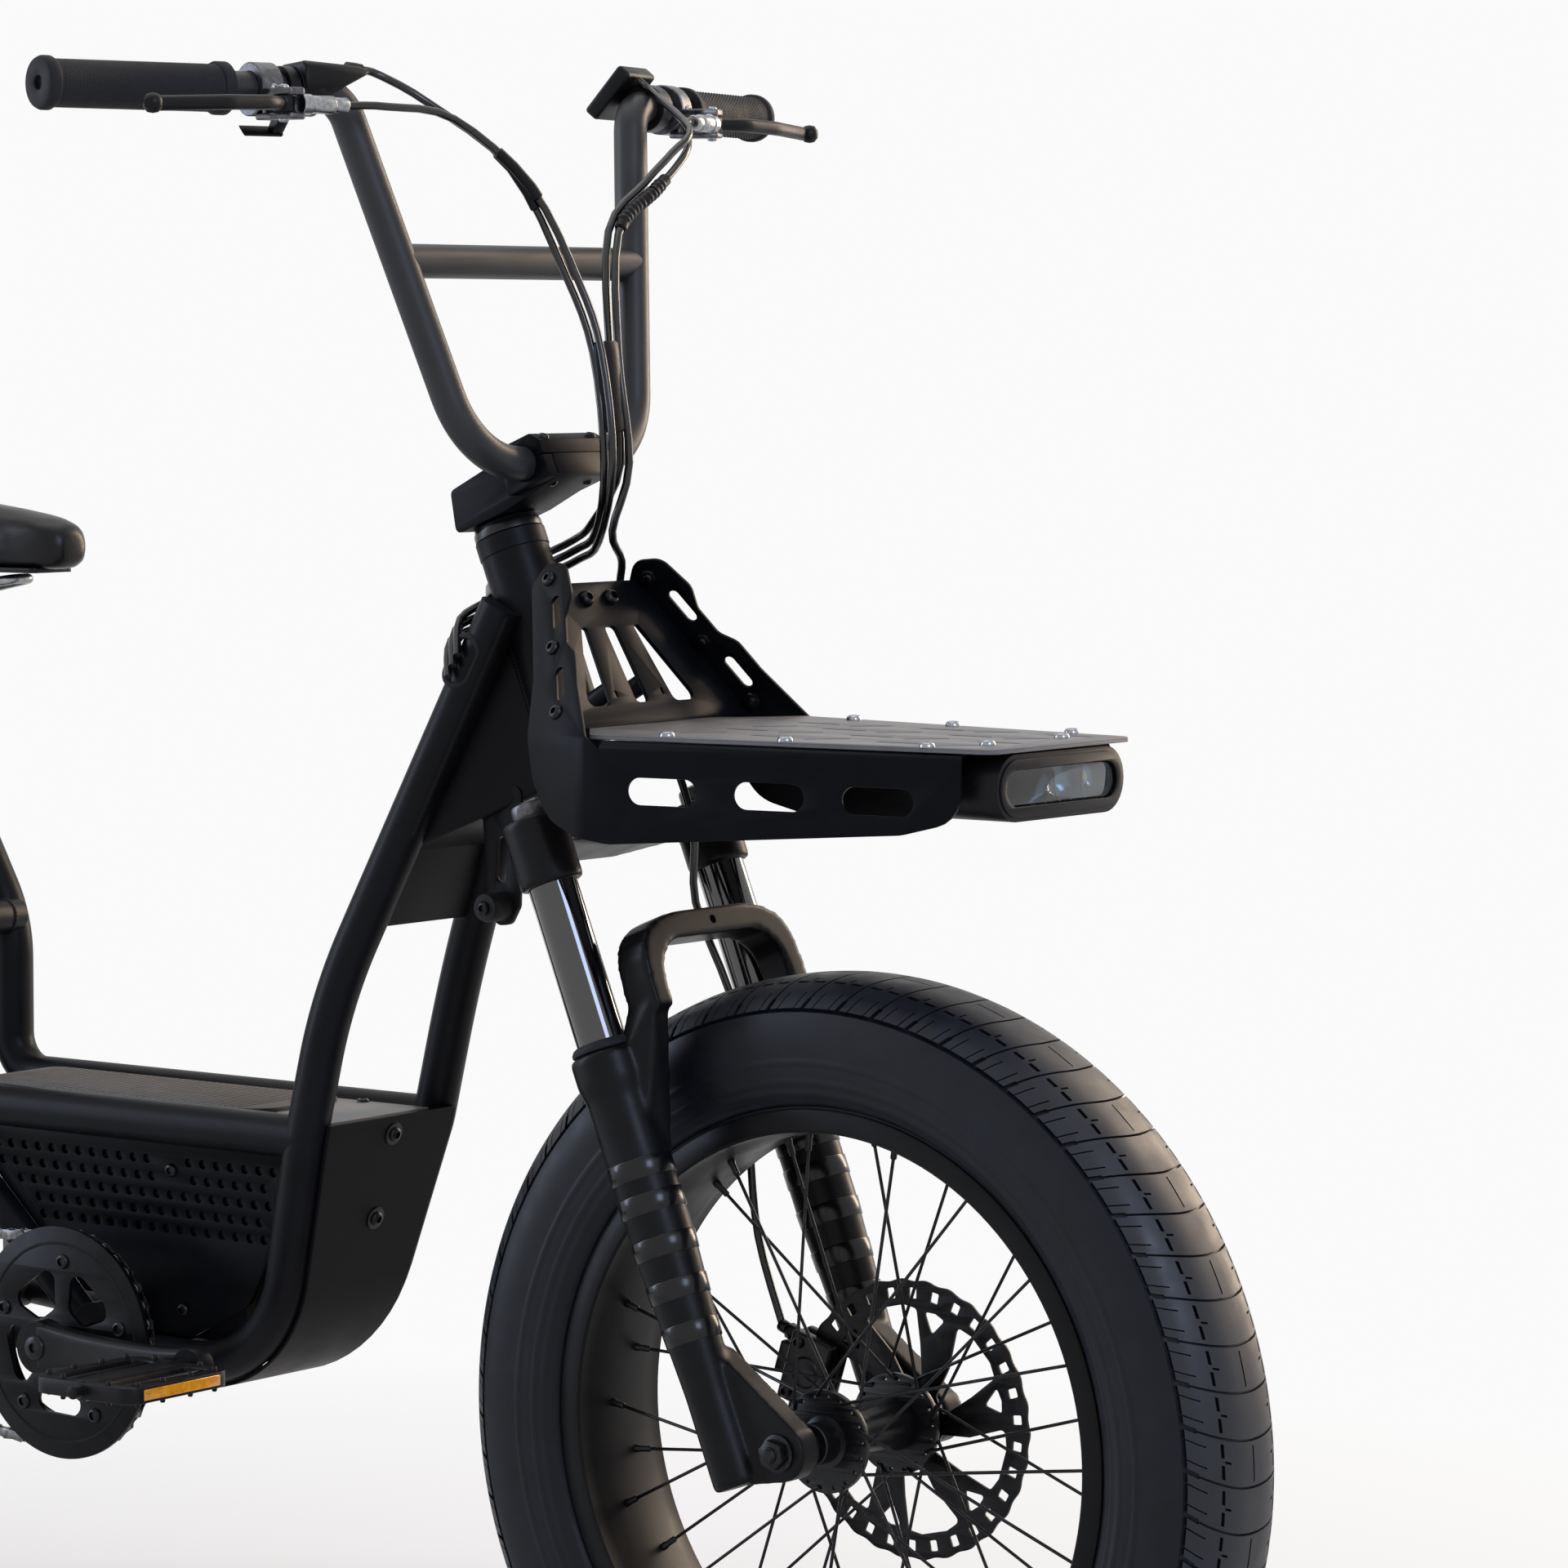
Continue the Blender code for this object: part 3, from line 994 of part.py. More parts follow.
def neck(k):
    lift = 0.0066 * k
    around = [steer(0.598 + lift, 0.052, 0.021), steer(0.596 + lift, 0.022, 0.0335),
              steer(0.596 + lift, -0.014, 0.0335), steer(0.589 + lift, -0.036, 0.014)]
    inner, wrap, end = (on_down(z + 0.007 * k) for z in (0.782, 0.770, 0.757))
    return around + [inner + over_tube * (0.0185 + 0.002 * k) + Y * 0.0145,
                     wrap + over_tube * (wrap_r + 0.0045) - Y * 0.005, end + Vector((-0.004, -wrap_r - 0.0012, 0))]


display_exit = slab_mid - left_out * 0.0105 + screen_up * 0.0175 - screen_face * (SLAB_T / 2 + 0.0020)
routes = {
    "cable_brake_rear": [barrel_end, barrel_end - out_r * 0.030, at(0.254, -0.090, 1.112),
                         at(0.232, -0.040, 1.070), at(0.214, -0.014, 1.010)]
                        + bundled(-0.0085, 0.003) + neck(0),
    "cable_throttle": [pod_exit, pod_exit - out_r * 0.014 - Z * 0.003, at(0.268, -0.098, 1.122),
                       at(0.243, -0.046, 1.082), at(0.222, -0.018, 1.015)]
                      + bundled(-0.0085, -0.004) + neck(1),
    "cable_display": [display_exit, display_exit - screen_face * 0.014, at(0.243, 0.139, 1.112),
                      at(0.2374, 0.113, 1.0955), at(0.2372, 0.084, 1.0755), at(0.2352, 0.043, 1.043)]
                     + bundled(0.0085, -0.004) + neck(2),
    "cable_brake_front": [left_barrel, left_barrel - left_out * 0.010 - Z * 0.002, at(0.241, 0.135, 1.100),
                          at(0.2344, 0.112, 1.085), at(0.2312, 0.085, 1.069), at(0.2287, 0.045, 1.041)]
                         + bundled(0.0085, 0.003)
                         + [at(0.205, 0.0085, 0.851)]
                         + [steer(s, n, y) for s, n, y in
                            ((0.582, 0.058, 0.030), (0.566, 0.040, 0.042), (0.530, 0.0355, 0.043),
                             (0.460, 0.040, 0.043), (0.405, 0.038, 0.044), (0.360, 0.020, 0.046),
                             (0.300, 0.0170, 0.0555), (0.253, 0.0100, 0.0590), (0.203, -0.0075, 0.0600),
                             (0.145, -0.0235, 0.0600), (0.085, -0.0262, 0.0600))],
}
for name, points in routes.items():
    put(name, tube(smooth_path(points), CABLE_R, 1), cable_skin, origin=STEER_O)

# Front rack.
deck_low = DECK_Z - DECK_T
rack_height = (RACK_TOP_Z - deck_low) / math.cos(RACK_LEAN)
plate_low = rack_top - RACK_UP * rack_height
half_gap = WALL_T / 2 + GAP + 0.0006
back_top, back_low = RACK_TOP_HALF - half_gap * 1.3, RACK_REAR_HALF - half_gap * 1.3
v_top, v_low = 0.0, -rack_height + 0.002
back_outline = [(-back_low, v_low), (back_low, v_low), (back_top, v_top), (-back_top, v_top)]
back_slots = [[(-0.0058, -0.0316), (-0.0070, -0.0870), (0.0070, -0.0870), (0.0058, -0.0316)]]
for side in (1, -1):
    window = ((0.0238, -0.0320), (0.0292, -0.0320), (0.0575, -0.0877), (0.0324, -0.0877))
    back_slots.append([(side * y, v) for y, v in window])
put("rack_back", plate([back_outline] + back_slots, rack_top, Y, RACK_UP, 0, RACK_T), rack_coat)

edge_low = plate_low - Y * RACK_REAR_HALF
edge_top = rack_top - Y * RACK_TOP_HALF
edge_dir = (edge_top - edge_low).normalized()
flat_dir = RACK_FWD - edge_dir * (RACK_FWD.z / edge_dir.z)


def ear_point(v, f):
    return edge_low + edge_dir * v + RACK_FWD * f


wall_top = deck_low - 0.0045
wall_low = wall_top - WALL_LOW
fold = edge_low + edge_dir * ((wall_top - edge_low.z) / edge_dir.z)
ear_rear = fold - flat_dir * 0.015
ear_front = fold + flat_dir * 0.030
wall_front = Vector((RACK_FRONT_X - 0.020, -RACK_FRONT_HALF, wall_top))
taper = (ear_front.y - wall_front.y) / (wall_front.x - ear_front.x)


def wall_point(x, z):
    return Vector((x, ear_front.y - taper * (x - ear_front.x), z))


def heel_point(t, z):
    p = ear_rear.lerp(ear_front, t)
    return Vector((p.x, p.y, z))


ear_len = (edge_top - edge_low).length
ear_loop = [ear_rear, ear_point(ear_len * 0.40, -0.007), ear_point(ear_len + 0.002, -0.004),
            ear_point(ear_len + 0.012, 0.010), ear_point(ear_len + 0.003, 0.027),
            ear_point(ear_len * 0.80, EAR_DEPTH), ear_point(ear_len * 0.68, EAR_DEPTH - 0.007),
            ear_point(ear_len * 0.50, EAR_DEPTH - 0.007),
            ear_point(ear_len * 0.40, EAR_DEPTH), ear_point(ear_len * 0.20, EAR_DEPTH), ear_front]
heel_low = heel_point(1.0, wall_low + 0.003)
heel_loop = [ear_front, ear_rear, heel_point(0.10, wall_low + 0.036), heel_point(0.42, wall_low + 0.012),
             heel_low]
flange_start = wall_point(ear_front.x + 0.014, wall_top)
wall_loop = [ear_front, heel_low, wall_point(ear_front.x + 0.020, wall_low),
             wall_point(wall_front.x - 0.045, wall_low + WALL_RISE),
             wall_point(wall_front.x - 0.016, wall_low + WALL_RISE + 0.006),
             wall_point(wall_front.x, wall_low + WALL_RISE + 0.022), wall_front, flange_start]
flange_in_y = 0.012
flange = [wall_front, flange_start, flange_start + Vector((0.004, flange_in_y, 0)),
          wall_front + Vector((-0.004, flange_in_y, 0))]
rack_side = sheet([ear_loop, heel_loop, wall_loop, flange], WALL_T)
wall_dir = (wall_front - ear_front).normalized()
slot_z = wall_top - 0.0262
slot_first = RACK_FRONT_X - 0.2237
wall_slots = []
for k in range(3):
    mid = wall_point(slot_first + SLOT_STEP * k, slot_z)
    wall_slots.append(plate([slot(0, 0, SLOT_LENGTH, SLOT_W)], mid, wall_dir, Z, -0.02, 0.02))
for v in (0.26, 0.74):
    mid = ear_point(ear_len * v, 0.0165)
    wall_slots.append(plate([slot(0, 0, 0.025, 0.0075, math.pi / 2)], mid, RACK_FWD, edge_dir, -0.01, 0.01))
put("rack_side_right", rack_side, rack_coat, [(CUT, joined(*wall_slots))])
left_side = mirrored(sheet([ear_loop, heel_loop, wall_loop, flange], WALL_T))
put("rack_side_left", left_side, rack_coat, [(CUT, mirrored(joined(*wall_slots)))])

deck_back = plate_low.x + RACK_T / math.cos(RACK_LEAN) + 2 * GAP
deck_wide = ear_front.x + 0.004
deck_half_rear = -wall_point(deck_wide, 0).y - DECK_INSET
deck_half_back = deck_half_rear - 1.25 * (deck_wide - deck_back)
deck_half_front = RACK_FRONT_HALF - DECK_INSET + 0.001
deck_right = [(deck_back, -deck_half_back), (deck_wide, -deck_half_rear),
              (RACK_FRONT_X - 0.006, -deck_half_front), (RACK_FRONT_X, -deck_half_front + 0.006)]
deck_loop = deck_right + [(x, -y) for x, y in reversed(deck_right)]
put("rack_deck", plate([deck_loop], Vector((0, 0, 0)), X, Y, deck_low, DECK_Z), rack_coat)

lamp_mid = Vector((RACK_FRONT_X, 0, deck_low - 0.0011 - LAMP_H / 2))
lamp_outline = slot(0, 0, 2 * LAMP_HALF_W, LAMP_H, 0, 5)
lamp_back = lamp_mid - X * (LAMP_DEPTH + 0.002)
lamp_body = plate([lamp_outline], lamp_back, Y, Z, 0, LAMP_DEPTH)
recess = plate([slot(0, 0, 2 * LAMP_HALF_W - 0.014, LAMP_H - 0.014, 0, 5)], lamp_back, Y, Z,
               LAMP_DEPTH - LENS_T - GAP, LAMP_DEPTH + 0.01)
put("headlight", lamp_body, plastic, [(CUT, recess)])
inset = 0.014 + 2 * GAP
put("headlight_lens", plate([slot(0, 0, 2 * LAMP_HALF_W - inset, LAMP_H - inset, 0, 5)], lamp_back, Y, Z,
                            LAMP_DEPTH - LENS_T, LAMP_DEPTH), lens_clear)

# Drive.
BB = Vector((BB_X, 0, BB_Z))


def belt(r_ring, r_cog):
    d = BB - REAR
    tilt = math.atan2(d.z, d.x)
    lift = math.acos((r_ring - r_cog) / d.length)
    out = []
    for k in range(RING_STEPS + 1):
        a = tilt - lift + 2 * lift * k / RING_STEPS
        out.append((BB.x + r_ring * math.cos(a), BB.z + r_ring * math.sin(a)))
    for k in range(COG_STEPS // 2 + 1):
        a = tilt + lift + (2 * math.pi - 2 * lift) * k / (COG_STEPS // 2)
        out.append((REAR.x + r_cog * math.cos(a), REAR.z + r_cog * math.sin(a)))
    return out


chain_loops = [belt(ring_pitch + CHAIN_HALF_H, cog_pitch + CHAIN_HALF_H),
               belt(ring_pitch - CHAIN_HALF_H, cog_pitch - CHAIN_HALF_H)]
chain_band = plate(chain_loops, Vector((0, 0, 0)), X, Z, CHAIN_Y - CHAIN_W / 2, CHAIN_Y + CHAIN_W / 2)
put("chain", chain_band, chain_steel)

ring_root = (ring_pitch - CHAIN_HALF_H) * math.cos(math.pi / RING_STEPS) - 0.0008
guard_in = CHAIN_Y + CHAIN_W / 2 + GUARD_GAP
guard_out = guard_in + RING_T
spider_bore = SPINDLE_R + 0.0035
ring_section = [(spider_bore, -guard_in), (0.052, -guard_in), (0.052, -CHAIN_Y + RING_T / 2),
                (ring_root, -CHAIN_Y + RING_T / 2), (ring_root, -CHAIN_Y - RING_T / 2),
                (0.062, -CHAIN_Y - RING_T / 2), (0.062, -guard_in), (GUARD_R, -guard_in),
                (GUARD_R, -guard_out), (spider_bore, -guard_out)]
ring_windows = []
for k in range(5):
    a = 2 * math.pi * k / 5 + 0.9
    corners = [(0.025, -0.30), (0.025, 0.30), (0.046, 0.44), (0.050, 0.30), (0.050, -0.30), (0.046, -0.44)]
    loop = [(BB.x + r * math.cos(a + t), BB.z + r * math.sin(a + t)) for r, t in corners]
    ring_windows.append(plate([loop], Vector((0, 0, 0)), X, Z, CHAIN_Y - 0.02, guard_out + 0.02))
put("chainring", lathe(ring_section, BB, Y, 18), crank_coat, [(CUT, joined(*ring_windows))], BB)


def crank(sign, inner_y):
    tip_at = BB + Vector((math.cos(CRANK_TILT), 0, math.sin(CRANK_TILT))) * (CRANK_LENGTH * sign)
    far = inner_y + CRANK_OFFSET
    pts = []
    for k in range(10):
        a = 2 * math.pi * k / 10
        for y in (inner_y, inner_y + CRANK_T):
            pts.append(BB + Vector((0.018 * math.cos(a), -y, 0.018 * math.sin(a))))
        for y in (far, far + CRANK_T - 0.002):
            pts.append(tip_at + Vector((0.0135 * math.cos(a), -y, 0.0135 * math.sin(a))))
    return hull(pts), tip_at, far + CRANK_T - 0.002


arm, pin_at, pin_face = crank(1, CRANK_IN)
pin_length = PEDAL_W + 0.012
pin = rod(pin_at - Y * (pin_face - 0.003), pin_at - Y * (pin_face + pin_length), PEDAL_PIN_R, 10)
spindle_end = CRANK_IN + CRANK_T - 0.004
spindle = rod(BB - Y * (CRANK_IN + 0.006), BB + Y * spindle_end, SPINDLE_R, 14)
put("crank_right", arm, crank_coat, [(ADD, pin), (ADD, spindle)], BB)
arm, left_at, left_face = crank(-1, CRANK_IN)
pin_l = rod(left_at - Y * (left_face - 0.003), left_at - Y * (left_face + pin_length), PEDAL_PIN_R, 10)
left_hole = rod(BB + Y * (CRANK_IN - 0.01), BB + Y * (spindle_end + GAP), SPINDLE_R + GAP, 14)
put("crank_left", mirrored(arm), crank_coat, [(ADD, mirrored(pin_l)), (CUT, left_hole)], BB)


def pedal(at_point, face, mirror):
    near = face + 0.004
    mid_y = near + PEDAL_W / 2
    hx, hy, r = PEDAL_L / 2, PEDAL_W / 2, 0.012
    outer = [(-hx + r, -hy), (hx - r, -hy), (hx, -hy + r), (hx, hy - r), (hx - r, hy), (-hx + r, hy),
             (-hx, hy - r), (-hx, -hy + r)]
    w = 0.011
    holes = [[(0.013, -hy + w), (hx - w, -hy + w), (hx - w, hy - w), (0.013, hy - w)],
             [(-0.013, -hy + w), (-hx + w, -hy + w), (-hx + w, hy - w), (-0.013, hy - w)]]
    base = Vector((at_point.x, -mid_y, at_point.z))
    body = plate([outer] + holes, base, X, Y, -PEDAL_T / 2, PEDAL_T / 2)
    core = rod(at_point - Y * (near + 0.0004), at_point - Y * (near + PEDAL_W - 0.0004),
               PEDAL_PIN_R + 0.0027, 10)
    hole = rod(at_point - Y * (near - 0.02), at_point - Y * (near + PEDAL_W + 0.02), PEDAL_PIN_R + GAP, 12)
    if mirror:
        body, core, hole = mirrored(body), mirrored(core), mirrored(hole)
    return body, [(ADD, core), (CUT, hole)]


body, ops = pedal(pin_at, pin_face, False)
put("pedal_right", body, plastic, ops, pin_at - Y * pin_face)
body, ops = pedal(left_at, left_face, True)
put("pedal_left", body, plastic, ops, left_at + Y * left_face)

# Stand: one bent tube through both ears, feet on the floor.
foot_drop = STAND_R * 0.9
stand_half = 0.047
right_foot = Vector((STAND_FOOT_X, -STAND_FOOT_Y, foot_drop))
stand_line = [right_foot, Vector((STAND_X, -stand_half, STAND_Z)), Vector((STAND_X, stand_half, STAND_Z)),
              Vector((right_foot.x, -right_foot.y, right_foot.z))]
stand_tube = tube(bend(stand_line, [0.016, 0.016], 3), STAND_R, 2)
shoe = block(right_foot, X, Y, (-0.016, -0.018, -foot_drop), (0.016, 0.013, STAND_R))
put("kickstand", stand_tube, coat, [(ADD, both(shoe))], Vector((STAND_X, 0, STAND_Z)))

# Seat.
SEAT_O = seat(SEAT_TUBE_TOP)
post_top = seat(POST_TOP)
rail_z = SADDLE_LOW_Z - 0.0155
head_x = post_top.x
post = rod(seat(POST_TOP - POST_LENGTH), post_top, POST_R, 16)
head_half = SADDLE_RAIL_HALF + 0.009
post_head = block(Vector((head_x, 0, rail_z)), X, Y, (-0.019, -head_half, -0.013),
                  (0.019, head_half, 0.0085))
rail_back = SADDLE_NOSE_X - SADDLE_LENGTH + 0.035
rail_nose = SADDLE_NOSE_X - 0.055
right_rail = [Vector((rail_back, -0.046, rail_z + 0.010)), Vector((head_x - 0.040, -SADDLE_RAIL_HALF, rail_z)),
              Vector((head_x + 0.052, -SADDLE_RAIL_HALF, rail_z)), Vector((rail_nose, -0.010, rail_z + 0.011))]
rail_line = right_rail + [Vector((p.x, -p.y, p.z)) for p in reversed(right_rail)]
rail_path = bend(rail_line, [0.05, 0.05, 0.009, 0.009, 0.05, 0.05], 2)
groove_mid = Vector((head_x, -SADDLE_RAIL_HALF, rail_z))
groove = both(rod(groove_mid - X * 0.05, groove_mid + X * 0.05, SADDLE_RAIL_R + GAP, 10))
put("seatpost", post, hub_paint, [(ADD, post_head), (CUT, groove)], SEAT_O)
put("saddle_rails", tube(rail_path, SADDLE_RAIL_R, 1), bolt_steel, origin=SEAT_O)


def saddle():
    stations = ((0.0, 0.45, 0.020, 0.014), (0.03, 0.86, 0.029, 0.005), (0.10, 1.05, 0.033, 0.001),
                (0.25, 1.20, 0.038, 0.0), (0.42, 1.70, 0.043, 0.0), (0.58, 2.62, 0.047, 0.0),
                (0.72, 3.42, 0.052, 0.0), (0.86, 3.83, 0.056, 0.0), (0.96, 3.40, 0.052, 0.004),
                (1.0, 2.60, 0.040, 0.014))
    scale = SADDLE_HALF_W / (3.83 * SADDLE_NOSE_HALF)
    bm = bmesh.new()
    rings = []
    for f, w, h, lift in stations:
        grow = 1 + (scale - 1) * max(0.0, (w - 1.2) / 2.63)
        half = SADDLE_NOSE_HALF * w * grow
        x = SADDLE_NOSE_X - f * SADDLE_LENGTH
        low = SADDLE_LOW_Z + lift
        top = SADDLE_LOW_Z + h
        pts = []
        for a, b in ((0.62, 0.0), (0.86, 0.10), (0.97, 0.34), (1.0, 0.58), (0.90, 0.82), (0.58, 0.96),
                     (0.0, 1.0)):
            pts.append((a * half, low + b * (top - low)))
        loop = pts + [(-y, z) for y, z in reversed(pts[:-1])]
        rings.append([bm.verts.new((x, y, z)) for y, z in loop])
    n = len(rings[0])
    for a, b in zip(rings, rings[1:]):
        for k in range(n):
            bm.faces.new((a[k], a[(k + 1) % n], b[(k + 1) % n], b[k]))
    bm.faces.new(rings[0])
    bm.faces.new(list(reversed(rings[-1])))
    bmesh.ops.recalc_face_normals(bm, faces=bm.faces)
    mesh = bpy.data.meshes.new("saddle")
    bm.to_mesh(mesh)
    bm.free()
    return mesh


put("saddle", saddle(), vinyl, origin=SEAT_O, smooth=50)
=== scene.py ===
import math
import bpy
import bmesh
from mathutils import Matrix, Vector


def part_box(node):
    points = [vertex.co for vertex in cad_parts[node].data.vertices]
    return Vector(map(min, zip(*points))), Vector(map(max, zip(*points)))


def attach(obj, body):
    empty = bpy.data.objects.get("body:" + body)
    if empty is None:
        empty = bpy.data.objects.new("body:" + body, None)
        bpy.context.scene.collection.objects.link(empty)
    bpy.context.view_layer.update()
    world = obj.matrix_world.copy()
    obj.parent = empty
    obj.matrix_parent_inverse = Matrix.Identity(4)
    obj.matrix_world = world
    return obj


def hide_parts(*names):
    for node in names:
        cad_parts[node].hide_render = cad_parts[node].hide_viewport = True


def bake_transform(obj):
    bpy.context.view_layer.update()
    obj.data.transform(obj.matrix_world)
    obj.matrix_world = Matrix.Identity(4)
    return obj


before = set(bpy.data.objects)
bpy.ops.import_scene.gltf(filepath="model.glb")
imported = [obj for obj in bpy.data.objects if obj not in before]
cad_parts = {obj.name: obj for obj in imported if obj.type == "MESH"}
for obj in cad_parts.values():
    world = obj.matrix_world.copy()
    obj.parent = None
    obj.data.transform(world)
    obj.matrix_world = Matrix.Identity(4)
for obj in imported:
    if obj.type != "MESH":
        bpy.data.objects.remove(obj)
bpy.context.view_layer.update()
scene = bpy.context.scene
scene.view_settings.view_transform = "Standard"
print("frame loaded:", len(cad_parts), "nodes")

xAxis, yAxis, zAxis = Vector((1, 0, 0)), Vector((0, 1, 0)), Vector((0, 0, 1))


def linear(hexCode):
    parts = [int(hexCode[k:k + 2], 16) / 255 for k in (1, 3, 5)]
    return (*[c / 12.92 if c <= 0.04045 else ((c + 0.055) / 1.055) ** 2.4 for c in parts], 1.0)


def addNode(tree, kind, inputs=None, **settings):
    made = tree.nodes.new(kind)
    for key, value in settings.items():
        setattr(made, key, value)
    for key, value in (inputs or {}).items():
        if isinstance(value, bpy.types.NodeSocket):
            tree.links.new(value, made.inputs[key])
        else:
            made.inputs[key].default_value = value
    return made


def makeFinish(name, look):
    finish = bpy.data.materials.new(name)
    finish.use_nodes = True
    tree = finish.node_tree
    shader = tree.nodes["Principled BSDF"]
    for key, value in look.get("shader", {}).items():
        shader.inputs[key].default_value = value
    spot = addNode(tree, "ShaderNodeTexCoord").outputs["Object"]
    spot = addNode(tree, "ShaderNodeMapping", {"Vector": spot, "Location": look.get("shift", (0, 0, 0))}).outputs[0]
    cloud = addNode(tree, "ShaderNodeTexNoise",
                    {"Vector": spot, "Scale": 1000 / look["cloudMm"], "Detail": 5.0, "Roughness": 0.62}).outputs["Fac"]
    tone = addNode(tree, "ShaderNodeValToRGB", {"Fac": cloud})
    ends = tone.color_ramp.elements
    ends[0].position, ends[1].position = 0.34, 0.68
    ends[0].color, ends[1].color = linear(look["dark"]), linear(look["light"])
    tree.links.new(tone.outputs["Color"], shader.inputs["Base Color"])
    low, high = look["rough"]
    gloss = addNode(tree, "ShaderNodeMapRange", {"Value": cloud, "From Min": 0.3, "From Max": 0.7,
                                                 "To Min": low, "To Max": high})
    tree.links.new(gloss.outputs["Result"], shader.inputs["Roughness"])
    scale = 1000 / look["grainMm"]
    if look.get("grain") == "cells":
        grain = addNode(tree, "ShaderNodeTexVoronoi", {"Vector": spot, "Scale": scale},
                        feature="DISTANCE_TO_EDGE").outputs["Distance"]
        grain = addNode(tree, "ShaderNodeMapRange", {"Value": grain, "From Max": 0.22}).outputs["Result"]
    elif look.get("grain") == "rings":
        grain = addNode(tree, "ShaderNodeTexWave", {"Vector": spot, "Scale": scale / math.tau, "Distortion": 2.0,
                                                    "Detail": 2.0}, wave_type="RINGS", rings_direction="Y").outputs["Fac"]
    elif look.get("grain") == "prisms":
        grain = addNode(tree, "ShaderNodeTexChecker", {"Vector": spot, "Scale": scale}).outputs["Fac"]
    else:
        grain = addNode(tree, "ShaderNodeTexNoise", {"Vector": spot, "Scale": scale, "Detail": 2.0}).outputs["Fac"]
    relief = addNode(tree, "ShaderNodeBump", {"Height": grain, "Strength": look["relief"],
                                              "Distance": look.get("deepMm", 0.3) / 1000})
    tree.links.new(relief.outputs["Normal"], shader.inputs["Normal"])
    return finish


